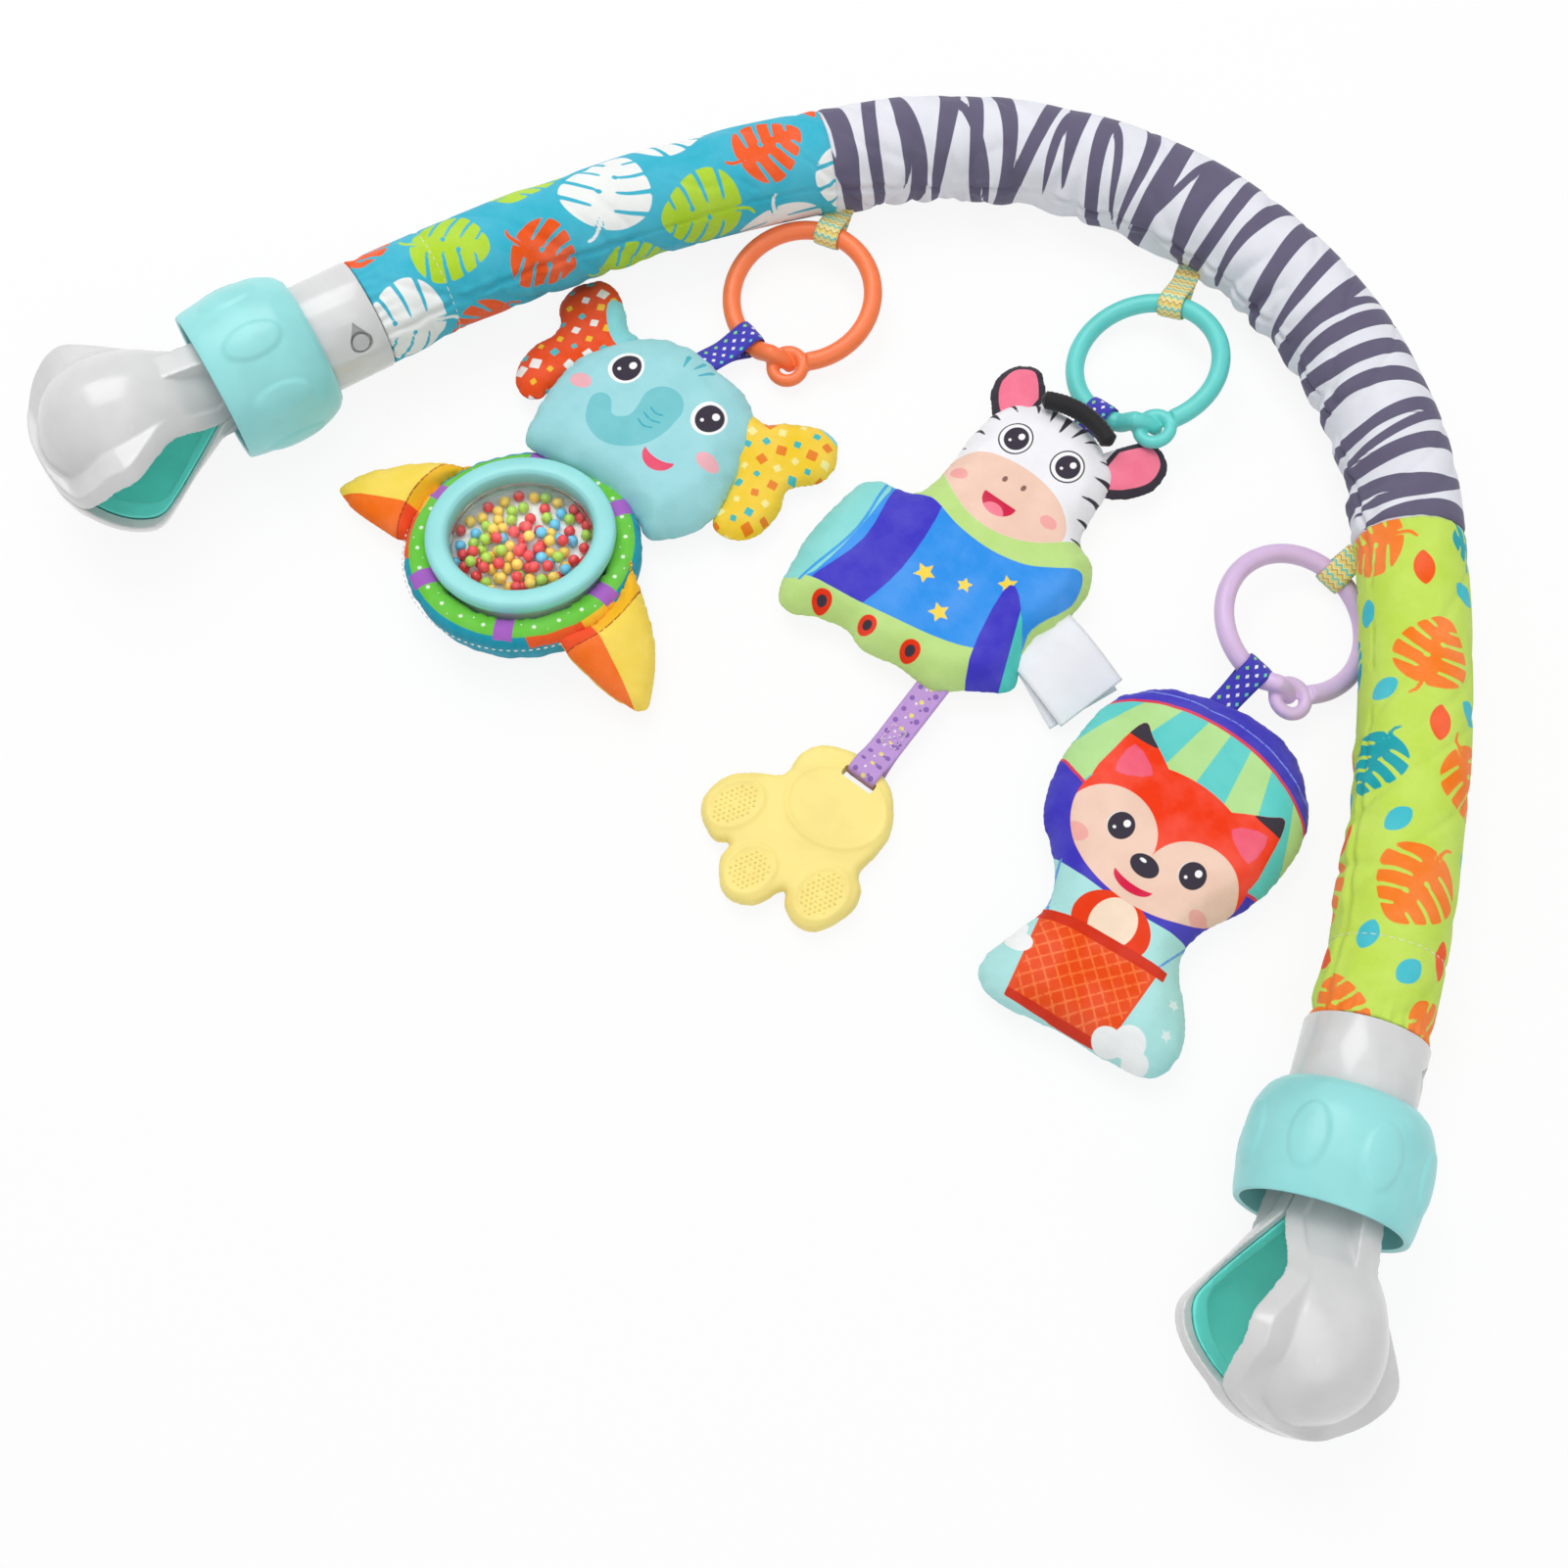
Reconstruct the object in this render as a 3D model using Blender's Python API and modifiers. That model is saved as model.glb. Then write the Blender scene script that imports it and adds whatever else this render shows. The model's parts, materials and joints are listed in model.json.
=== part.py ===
"""Stroller arch toy: a bendable padded arch with a clamp at each foot, three link rings and the toys on them.

Metres, +Z up. The toy lies flat, as it is photographed: the crown of the arch points along +Y, the feet along
-Y. The origin is on the floor, under the middle of the whole toy.
"""

import math

import bmesh
import bpy
from mathutils import Matrix, Vector
from mathutils.geometry import delaunay_2d_cdt

# Fits between pieces
GAP = 0.0003
RUNNING_GAP = 0.0001
OVERRUN = 0.004
WELD = 0.00001

# Arch: a crown arc, a gentler shoulder arc on each side, and straight legs. It is bent a little unevenly.
# A run is a length along the arch from its top, and the leg angles are between a leg and -Y
ARCH_RADIUS = 0.1664
LEFT_ARC_ANGLE = 49.5
RIGHT_ARC_ANGLE = 53.0
SHOULDER_RADIUS = 0.620
LEFT_LEG_ANGLE = 20.9
RIGHT_LEG_ANGLE = 17.6
BEND_RUN = 0.234
LEG_LENGTH = 0.127
SLEEVE_RADIUS = 0.0206
SLEEVE_WALL = 0.0015
SEAM_RUN = 0.165
SLEEVE_SIDES = 16
FOAM_SIDES = 12
ROUTE_STEP = 0.0175
FOAM_STEP = 0.026
END_STUB = 0.002
FOAM_END_GAP = 0.0012

# Bendable core: rods that meet in a ball and a cup where the arch bends
CORE_RADIUS = 0.0045
CORE_BALL_RADIUS = 0.0075
CUP_RADIUS = 0.0105
CUP_DEPTH = 0.011
CUP_LIP = 0.0035
BEND_GAP = 0.0033
CUP_SWING_GAP = 0.0005
CORE_BALL_GAP = 0.0007

# Collar at the end of each leg
COLLAR_RADIUS = 0.0216
COLLAR_LENGTH = 0.027
SPIGOT_LENGTH = 0.020
CORE_SEAT = 0.014
HUB_SEAT = 0.0167
COLLAR_WALL = 0.0054
RECESS_RADIUS = 0.0045
RECESS_PLACE = 0.010
RECESS_DEPTH = 0.0042
SCREW_HEAD_RADIUS = 0.0034
SCREW_HEAD_HEIGHT = 0.002
SCREW_RADIUS = 0.0014
LEFT_RECESS_TURN = -60.0
RIGHT_RECESS_TURN = -80.0

# Clamp hub, which swivels in the collar and carries the jaws
HUB_RADIUS = 0.022
HUB_END = 0.041
FORK_RADIUS = 0.014
FORK_END = 0.0497
SLOT_HALF_WIDTH = 0.0073
PIN_PLACE = 0.0445
PIN_RADIUS = 0.002
PIN_HALF_LENGTH = 0.0132
LEFT_SWIVEL = 5.0
RIGHT_SWIVEL = -36.0

# Lock ring: a barrel that screws along the hub and squeezes the jaws
LOCK_START = 0.025
LOCK_LENGTH = 0.042
LOCK_RADIUS = 0.0316
LOCK_WALL = 0.0034
LOCK_STEP = 0.016

# Jaws: two hollow half pears with a rubber liner each
JAW_START = 0.053
JAW_LENGTH = 0.084
JAW_RADIUS = 0.030
JAW_DOME_STRETCH = 1.08
FLANGE_HEIGHT = 0.0065
JAW_HALF_GAP = 0.0135
CLOSED_HALF_GAP = 0.00015
PAD_INSET = 0.0038
PAD_THICKNESS = 0.0048
PAD_LIP = 0.0006
PAD_LIP_WIDTH = 0.0045
PAD_RECESS = 0.0024
EYE_RADIUS = 0.0052
TONGUE_WIDTH = 0.0067
TONGUE_REACH = 0.011
RIB_HALF_WIDTH = 0.0055
RIB_LENGTH = 0.033
RIB_HEIGHT = 0.0225
RIB_ROOT = 0.008

# Link rings and the ribbon loops that hold them
RING_RADIUS = 0.0289
BAND_RADIUS = 0.0038
EYE_RING_RADIUS = 0.0062
EYE_BAND_RADIUS = 0.0026
EYE_OFFSET = 0.0022
LOOP_CLEARANCE = 0.0008
LOOP_THICKNESS = 0.0008
LOOP_WIDTH = 0.010
LOOP_NARROWING = 0.006
LOOP_SQUARENESS = 0.5
LOOP_ROOT_DROP = 25.0
RIBBON_WIDTH = 0.0105

# Elephant rattle
HEAD_WIDTH = 0.091
HEAD_HEIGHT = 0.077
HEAD_RISE = 0.0105
HEAD_DROP = 0.0105
HEAD_SEAM = 0.011
HEAD_SIDE_OFFSET = 0.0055
EAR_WIDTH = 0.034
EAR_HEIGHT = 0.064
EAR_RISE = 0.0032
EAR_SLOPE = -0.14
EAR_SIDE_OFFSET = 0.0346
EAR_ROOT_RISE = 0.0108
STAR_RADIUS = 0.0465
STAR_DROP = 0.0725
STAR_SIDE_OFFSET = 0.0046
STAR_SHOULDER = 0.0116
STAR_RISE = 0.005
STAR_SEAM = 0.0145
STAR_TILT = 12.0
STAR_TILT_HEADING = 142.3
WING_SPAN = 0.079
WING_RISE = 0.0065
WING_SHOULDER = 0.012
RATTLE_RADIUS = 0.0365
RATTLE_WINDOW = 0.0275
RATTLE_RIM_HEIGHT = 0.0064
RATTLE_RIM_EDGE = 0.0022
TRAY_RADIUS = 0.0332
TRAY_DEPTH = 0.0047
TRAY_WALL = 0.0015
DOME_HEIGHT = 0.012
DOME_WALL = 0.0012
DOME_FLANGE = 0.0038
BEAD_HEAP_HEIGHT = 0.006
BEAD_HEAP_RADIUS = 0.0285

# Zebra cushion, its ears, mane, blank label and teether
ZEBRA_WIDTH = 0.106
ZEBRA_HEIGHT = 0.140
ZEBRA_RISE = 0.0095
ZEBRA_SEAM = 0.010
ZEBRA_SIDE_OFFSET = 0.0095
ZEBRA_CROWN_OFFSET = 0.0064
ZEBRA_EAR_SIZE = 0.040
ZEBRA_EAR_PLACE = 0.0185
ZEBRA_EAR_RISE = 0.0028
MANE_RADIUS = 0.0035
MANE_HALF_LENGTH = 0.016
MANE_LIFT = 0.0112
MANE_OUTSET = -0.0032
MANE_BEND = 0.004
LABEL_INSIDE = 0.030
LABEL_OUTSIDE = 0.025
LABEL_WIDTH = 0.031
LABEL_THICKNESS = 0.0008
LABEL_PLACE = 0.0890
LABEL_TILT = 8.0
LABEL_TURN = -14.0
TEETHER_WIDTH = 0.071
TEETHER_HEIGHT = 0.075
TEETHER_THICKNESS = 0.0075
TEETHER_BAR = 0.0065
TEETHER_DROP = 0.0285
TEETHER_SIDE_OFFSET = 0.026
SLOT_LENGTH = 0.014
SLOT_WIDTH = 0.0046
SLOT_SHIFT = 0.001
SLOT_SIDE_OFFSET = 0.0071
TEETHER_RIBBON_WIDTH = 0.009
TEETHER_RIBBON_THICKNESS = 0.0005

# Fox balloon cushion
FOX_WIDTH = 0.101
FOX_HEIGHT = 0.151
FOX_RISE = 0.0105
FOX_SEAM = 0.011
FOX_SIDE_OFFSET = 0.0108

# Cushions
CUSHION_SHOULDER = 0.017
FLAP_SHOULDER = 0.006
SEAM_BAND = 0.001
CUSHION_GRID = 0.014
FLOOR_GAP = 0.0003
OUTLINE_STEPS = 2

TURN_STEPS = 24
JAW_STEPS = 20

# Where each ring lies: its centre's bearing on the arch, how far in from the crown arc, the run of its ribbon
# loop's root, its lean, the bearing of its high side, and its eye. Bearings are degrees from +Y, clockwise
RINGS = {
    "ring_orange": {"bearing": -69.4, "inset": 0.0446, "loop": -0.162, "lean": 9.6, "high": 7.0, "eye": 154.0},
    "ring_aqua": {"bearing": 8.4, "inset": 0.0637, "loop": 0.0054, "lean": 16.0, "high": 68.0, "eye": 140.0},
    "ring_lilac": {"bearing": 70.9, "inset": 0.0362, "loop": 0.1672, "lean": 13.5, "high": -121.0, "eye": 150.0},
}
# Where each toy hangs: the bearing of its ribbon round the ring, the ribbon's run and its bearing
TOYS = {
    "elephant": {"ring": "ring_orange", "wrap": 193.8, "run": 0.0185, "bearing": 173.0},
    "zebra": {"ring": "ring_aqua", "wrap": 186.6, "run": 0.0078, "bearing": 180.0},
    "fox": {"ring": "ring_lilac", "wrap": 184.0, "run": 0.0115, "bearing": 180.0},
}

# Profiles, in shares of a length and a radius
jaw_profile_shares = (
    (1, 0), (0.98, 0.35), (0.91, 0.70), (0.79, 0.95), (0.62, 1.01), (0.43, 0.88), (0.25, 0.61), (0, 0.45), (0, 0),
)
flange_profile_shares = (
    (1, 0), (0.99, 0.45), (0.94, 0.78), (0.83, 1.04), (0.71, 1.17), (0.56, 1.09), (0.40, 0.85), (0.18, 0.56),
    (0.03, 0.46), (0.03, 0),
)
jaw_hollow_shares = ((0.92, 0), (0.88, 0.55), (0.78, 0.80), (0.62, 0.88), (0.44, 0.74), (0.28, 0.42), (0.24, 0))
gap_curve_shares = ((0.20, 0), (0.30, 0.36), (0.40, 0.78), (0.50, 1), (0.72, 1), (0.83, 0.60), (0.93, 0))
bead_heap_shares = ((0, 1), (0.5, 0.95), (0.8, 0.5), (1, 0.25), (1, 0), (0, 0))
cushion_ring_shares = (0.22, 0.6, 1)
lock_profile_shares = ((1, 0.91), (0.90, 0.955), (0.55, 1), (0.22, 0.965), (0.07, 0.88), (0, 0.79))

# Outlines, in shares of a width and a height about the piece's middle, anticlockwise
head_shares = (
    (0, 0.50), (-0.15, 0.50), (-0.30, 0.42), (-0.45, 0.19), (-0.50, -0.05), (-0.46, -0.32), (-0.37, -0.46),
    (-0.24, -0.44), (0, -0.41), (0.20, -0.42), (0.36, -0.50), (0.50, -0.27), (0.49, -0.05), (0.41, 0.28),
    (0.25, 0.46),
)
ear_shares = (
    (-0.25, 0.25), (-0.25, -0.10), (0.02, -0.10), (0.18, -0.28), (0.26, -0.45), (0.44, -0.50), (0.68, -0.45),
    (0.82, -0.34), (0.85, -0.16), (0.76, 0.02), (0.97, 0.17), (1, 0.33), (0.88, 0.44), (0.76, 0.50), (0.53, 0.50),
    (0.18, 0.39), (0, 0.30),
)
wing_shares = (
    (0.30, 0), (0.34, -0.27), (0.49, -0.33), (0.63, -0.35), (0.81, -0.35), (0.95, -0.32), (1, -0.27),
    (0.97, -0.18), (0.89, -0.05), (0.76, 0.09), (0.59, 0.20), (0.46, 0.24),
)
zebra_shares = (
    (0.02, 0.50), (-0.09, 0.49), (-0.17, 0.45), (-0.22, 0.41), (-0.25, 0.31), (-0.25, 0.10), (-0.29, 0.03),
    (-0.40, 0.01), (-0.46, -0.04), (-0.48, -0.12), (-0.49, -0.24), (-0.47, -0.35), (-0.43, -0.46), (-0.34, -0.49),
    (-0.25, -0.46), (-0.13, -0.44), (-0.04, -0.46), (0.09, -0.44), (0.25, -0.44), (0.36, -0.38), (0.49, -0.31),
    (0.48, -0.24), (0.45, -0.16), (0.49, -0.06), (0.50, 0.06), (0.45, 0.15), (0.36, 0.19), (0.33, 0.29),
    (0.31, 0.40), (0.24, 0.45), (0.14, 0.49),
)
zebra_ear_shares = (
    (0.40, 0.40), (0.30, 0.10), (0.50, -0.12), (0.70, -0.08), (0.92, 0.15), (1, 0.38), (0.92, 0.62), (0.66, 0.70),
)
fox_shares = (
    (-0.36, 0.42), (-0.47, 0.33), (-0.50, 0.22), (-0.50, 0.12), (-0.47, 0.02), (-0.42, -0.05), (-0.32, -0.11),
    (-0.24, -0.17), (-0.22, -0.24), (-0.25, -0.33), (-0.28, -0.42), (-0.24, -0.48), (-0.12, -0.50), (0.12, -0.47),
    (0.38, -0.45), (0.48, -0.41), (0.50, -0.33), (0.46, -0.26), (0.36, -0.18), (0.31, -0.12), (0.33, -0.04),
    (0.40, 0.06), (0.43, 0.16), (0.42, 0.30), (0.34, 0.40), (0.20, 0.48), (0.05, 0.50), (-0.10, 0.49),
    (-0.25, 0.46),
)
teether_shares = (
    (0.04, 0.49), (-0.16, 0.43), (-0.24, 0.32), (-0.24, 0.18), (-0.36, 0.10), (-0.47, 0), (-0.50, -0.15),
    (-0.44, -0.25), (-0.31, -0.31), (-0.23, -0.28), (-0.22, -0.37), (-0.12, -0.48), (-0.02, -0.50), (0.09, -0.44),
    (0.15, -0.31), (0.21, -0.37), (0.32, -0.41), (0.43, -0.36), (0.50, -0.20), (0.48, -0.08), (0.41, -0.01),
    (0.42, 0.12), (0.40, 0.27), (0.26, 0.44),
)


def clear_scene():
    for obj in list(bpy.data.objects):
        bpy.data.objects.remove(obj, do_unlink=True)


def principled(name, colour, roughness, transmission=0.0):
    material = bpy.data.materials.new(name)
    material.use_nodes = True
    shader = material.node_tree.nodes["Principled BSDF"]
    shader.inputs["Base Color"].default_value = (*colour, 1.0)
    shader.inputs["Roughness"].default_value = roughness
    shader.inputs["Transmission Weight"].default_value = transmission
    return material


def add_part(name, mesh, material, frame):
    """One named sub-part with its own material, held by the frame that carries it."""
    obj = bpy.data.objects.new(name, mesh.copy())
    obj.data.name = name
    obj.data.materials.clear()
    obj.data.materials.append(material)
    obj.data.shade_smooth()
    obj.data.set_sharp_from_angle(angle=math.radians(35))
    obj.parent = frame
    PARTS.objects.link(obj)
    return obj


def add_frame(name, matrix, parent=None):
    """An empty that carries parts; a moving piece's is on its joint's axis."""
    empty = bpy.data.objects.new(name, None)
    empty.parent = parent
    empty.matrix_local = matrix
    PARTS.objects.link(empty)
    return empty


def frame_at(place, z_axis, x_axis):
    """A frame with its Z along z_axis and its X as near x_axis as that allows."""
    z_axis = Vector(z_axis).normalized()
    y_axis = z_axis.cross(Vector(x_axis)).normalized()
    x_axis = y_axis.cross(z_axis)
    turn = Matrix((x_axis, y_axis, z_axis)).transposed().to_4x4()
    return Matrix.Translation(place) @ turn


def turn_about(axis, degrees):
    return Matrix.Rotation(math.radians(degrees), 4, axis)


def shift(x=0, y=0, z=0):
    return Matrix.Translation((x, y, z))


def bearing(degrees):
    """The level direction at this many degrees from +Y, clockwise seen from above."""
    return Vector((math.sin(math.radians(degrees)), math.cos(math.radians(degrees)), 0))


def mesh_of(obj):
    """The object's evaluated mesh, with loose caps welded; the object is removed."""
    bpy.context.scene.collection.objects.link(obj)
    bpy.context.view_layer.update()
    graph = bpy.context.evaluated_depsgraph_get()
    mesh = bpy.data.meshes.new_from_object(obj.evaluated_get(graph))
    bpy.data.objects.remove(obj, do_unlink=True)
    shape = bmesh.new()
    shape.from_mesh(mesh)
    bmesh.ops.remove_doubles(shape, verts=shape.verts, dist=WELD)
    shape.to_mesh(mesh)
    shape.free()
    return mesh


def moved(mesh, matrix):
    copy = mesh.copy()
    copy.transform(matrix)
    return copy


def combined(mesh, operation, tool):
    base = bpy.data.objects.new("base", mesh)
    other = bpy.data.objects.new("tool", tool)
    bpy.context.scene.collection.objects.link(other)
    modifier = base.modifiers.new("combine", "BOOLEAN")
    modifier.operation = operation
    modifier.solver = "EXACT"
    modifier.object = other
    result = mesh_of(base)
    bpy.data.objects.remove(other, do_unlink=True)
    return result


def joined(mesh, tool):
    return combined(mesh, "UNION", tool)


def cut(mesh, tool):
    return combined(mesh, "DIFFERENCE", tool)


def common(mesh, tool):
    return combined(mesh, "INTERSECT", tool)


def turned(profile, steps=TURN_STEPS):
    """A shape turned about Z from (radius, height) points that run down its outer side."""
    mesh = bpy.data.meshes.new("profile")
    edges = [(i, i + 1) for i in range(len(profile) - 1)]
    if profile[0][0] > 0:
        edges.append((len(profile) - 1, 0))
    mesh.from_pydata([(radius, 0, height) for radius, height in profile], edges, [])
    obj = bpy.data.objects.new("turned", mesh)
    screw = obj.modifiers.new("turn", "SCREW")
    screw.axis = "Z"
    screw.steps = steps
    screw.render_steps = steps
    screw.use_merge_vertices = True
    screw.merge_threshold = WELD
    return mesh_of(obj)


def ball(radius, segments=16, rings=10):
    mesh = bpy.data.meshes.new("ball")
    shape = bmesh.new()
    bmesh.ops.create_uvsphere(shape, u_segments=segments, v_segments=rings, radius=radius)
    shape.to_mesh(mesh)
    shape.free()
    return mesh


def block(low, high):
    mesh = bpy.data.meshes.new("block")
    shape = bmesh.new()
    bmesh.ops.create_cube(shape, size=1)
    low = Vector(low)
    high = Vector(high)
    sides = high - low
    bmesh.ops.scale(shape, vec=sides, verts=shape.verts)
    bmesh.ops.translate(shape, vec=(low + high) / 2, verts=shape.verts)
    shape.to_mesh(mesh)
    shape.free()
    return mesh


def rod(radius, start, end, segments=16):
    """A round bar along Z from one height to another."""
    mesh = bpy.data.meshes.new("rod")
    shape = bmesh.new()
    bmesh.ops.create_cone(
        shape, cap_ends=True, segments=segments, radius1=radius, radius2=radius, depth=end - start
    )
    bmesh.ops.translate(shape, vec=(0, 0, (start + end) / 2), verts=shape.verts)
    shape.to_mesh(mesh)
    shape.free()
    return mesh


def tube(route, radius, sides, caps=True, wall=0):
    """A tube along a route of points: solid with caps, or a shell with a wall inside its radius."""
    curve = bpy.data.curves.new("route", "CURVE")
    curve.dimensions = "3D"
    curve.bevel_depth = radius
    curve.bevel_resolution = (sides - 4) // 2
    curve.use_fill_caps = caps
    spline = curve.splines.new("POLY")
    spline.points.add(len(route) - 1)
    for point, place in zip(spline.points, route):
        point.co = (*place, 1)
    mesh = mesh_of(bpy.data.objects.new("tube", curve))
    if not wall:
        return mesh
    obj = bpy.data.objects.new("shell", mesh)
    solidify = obj.modifiers.new("wall", "SOLIDIFY")
    solidify.thickness = wall
    solidify.offset = -1
    return mesh_of(obj)


def flat(outlines, half_depth):
    """A plate from closed outlines in X and Y, the later ones being holes in the first."""
    curve = bpy.data.curves.new("outline", "CURVE")
    curve.dimensions = "2D"
    curve.fill_mode = "BOTH"
    curve.extrude = half_depth
    for outline in outlines:
        spline = curve.splines.new("POLY")
        spline.points.add(len(outline) - 1)
        spline.use_cyclic_u = True
        for point, (x, y) in zip(spline.points, outline):
            point.co = (x, y, 0, 1)
    return mesh_of(bpy.data.objects.new("flat", curve))


def sized(shares, width, height, middle=(0, 0), mirror=False):
    side = -1 if mirror else 1
    points = [(middle[0] + side * u * width, middle[1] + v * height) for u, v in shares]
    return points[::-1] if mirror else points


def smoothed(points, steps=OUTLINE_STEPS):
    """A closed curve through the points."""
    result = []
    count = len(points)
    for i in range(count):
        before, start, end, after = (Vector(points[(i + k) % count]) for k in (-1, 0, 1, 2))
        for step in range(steps):
            t = step / steps
            ahead = (end - before) / 2
            behind = (after - start) / 2
            place = (
                start * (2 * t**3 - 3 * t**2 + 1)
                + ahead * (t**3 - 2 * t**2 + t)
                + end * (3 * t**2 - 2 * t**3)
                + behind * (t**3 - t**2)
            )
            result.append((place.x, place.y))
    return result


def grown(outline, distance):
    """The outline moved outward by a distance, or inward where it is negative."""
    result = []
    count = len(outline)
    for i, place in enumerate(outline):
        along = Vector(outline[(i + 1) % count]) - Vector(outline[i - 1])
        outward = Vector((along.y, -along.x)).normalized()
        result.append((place[0] + outward.x * distance, place[1] + outward.y * distance))
    return result


def edge_distance(place, outline):
    """How far a point is inside the outline, negative when it is outside."""
    nearest = math.inf
    inside = False
    spot = Vector(place)
    for i, end in enumerate(outline):
        start = Vector(outline[i - 1])
        end = Vector(end)
        along = end - start
        share = max(0, min(1, (spot - start).dot(along) / along.length_squared))
        nearest = min(nearest, (spot - start - along * share).length)
        if (start.y > spot.y) != (end.y > spot.y):
            crossing = start.x + (spot.y - start.y) * along.x / along.y
            inside ^= crossing > spot.x
    return nearest if inside else -nearest


def lowest_crossing(outline, x):
    """The lowest Y at which an outline crosses an X."""
    heights = []
    for i, end in enumerate(outline):
        start = outline[i - 1]
        if (start[0] > x) != (end[0] > x):
            heights.append(start[1] + (x - start[0]) * (end[1] - start[1]) / (end[0] - start[0]))
    return min(heights)


def cushion(edge, rise, drop, shoulder, seam_height, grid=CUSHION_GRID):
    """A padded form: a crown above and below a seam band round the edge, flat where it meets the floor.

    seam_height gives the seam's height over the floor at a point, so that the form can lean."""
    points = list(edge)
    for share in cushion_ring_shares:
        inset = share * shoulder
        points += [p for p in grown(edge, -inset)[::2] if edge_distance(p, edge) > inset - SEAM_BAND]
    low_x, high_x = min(p[0] for p in edge), max(p[0] for p in edge)
    low_y, high_y = min(p[1] for p in edge), max(p[1] for p in edge)
    for i in range(int((high_x - low_x) / grid) + 1):
        for j in range(int((high_y - low_y) / grid) + 1):
            spot = (low_x + i * grid, low_y + j * grid)
            if edge_distance(spot, edge) > shoulder + grid / 2:
                points.append(spot)
    border = [list(range(len(edge)))]
    spots, _, triangles, _, _, _ = delaunay_2d_cdt([Vector(p) for p in points], [], border, 1, WELD)
    top = []
    bottom = []
    for spot in spots:
        depth = max(0, edge_distance(spot, edge)) / shoulder
        swell = math.sqrt(1 - (1 - min(depth, 1)) ** 2)
        seam = seam_height(spot)
        top.append((*spot, seam + SEAM_BAND / 2 + (rise - SEAM_BAND / 2) * swell))
        low = seam - SEAM_BAND / 2 - (drop - SEAM_BAND / 2) * swell
        bottom.append((*spot, max(low, FLOOR_GAP)))
    count = len(spots)
    faces = [tuple(t) for t in triangles]
    sides = {(t[i - 1], t[i]) for t in triangles for i in range(3)}
    faces += [tuple(count + i for i in reversed(t)) for t in triangles]
    faces += [(count + a, count + b, b, a) for a, b in sides if (b, a) not in sides]
    mesh = bpy.data.meshes.new("cushion")
    mesh.from_pydata(top + bottom, [], faces)
    return mesh


def trimmed(mesh, edge):
    """The mesh kept a gap clear of the upright prism over a neighbour's outline."""
    return cut(mesh, flat([grown(edge, GAP)], JAW_LENGTH))


def flat_seam(height):
    return lambda spot: height


def ribbon_loop(reach, width, half_length, half_height, thickness, squareness=1):
    """A ribbon folded round a bar at the origin, its two layers meeting along +X. Its width is along Z."""
    join = min(half_length + LOOP_CLEARANCE + LOOP_NARROWING, reach - LOOP_CLEARANCE)
    bends = [math.radians(a) for a in range(60, 301, 20)]
    turns = [(math.copysign(abs(math.cos(a)) ** squareness, math.cos(a)), math.sin(a)) for a in bends]
    turns = [(u, math.copysign(abs(v) ** squareness, v)) for u, v in turns]
    inner = [(half_length * u, half_height * v) for u, v in turns]
    inner.append((join, 0))
    outer = [((half_length + thickness) * u, (half_height + thickness) * v) for u, v in turns]
    outer += [(join, -thickness), (reach, -thickness), (reach, thickness), (join, thickness)]
    return flat([outer, inner], width / 2)


def arch_point(run, inset=0):
    """The arch's centreline at a run, and the bearing it heads on, in the arch's plane."""
    side = -1 if run < 0 else 1
    left = abs(run)
    arc = math.radians(LEFT_ARC_ANGLE if run < 0 else RIGHT_ARC_ANGLE)
    leg = math.radians(90 - (LEFT_LEG_ANGLE if run < 0 else RIGHT_LEG_ANGLE))
    place = Vector((0, ARCH_RADIUS, 0))
    heading = math.radians(90)
    for radius, turn in ((ARCH_RADIUS, arc), (SHOULDER_RADIUS, leg - arc)):
        swept = min(left / radius, turn)
        for angle, sign in ((heading - math.radians(90), -1), (heading + swept - math.radians(90), 1)):
            place += sign * radius * Vector((math.sin(angle), math.cos(angle), 0))
        heading += swept
        left -= swept * radius
    place += left * Vector((math.sin(heading), math.cos(heading), 0))
    inward = -bearing(math.degrees(heading) - 90)
    place += inset * inward
    return Vector((side * place.x, place.y, 0)), side * math.degrees(heading)


def arch_route(start, end, step=ROUTE_STEP):
    """Points along the arch, with a short straight stub at each end that squares the end off."""
    steps = max(2, round((end - start) / step))
    runs = [start, start + END_STUB] + [start + (end - start) * i / steps for i in range(1, steps)]
    return [arch_point(run)[0] for run in runs + [end - END_STUB, end]]


def arch_frame_at(run):
    """A frame on the centreline with its Z away from the crown and its X up."""
    place, heading = arch_point(run)
    return frame_at(place, bearing(heading), (0, 0, 1))


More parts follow.
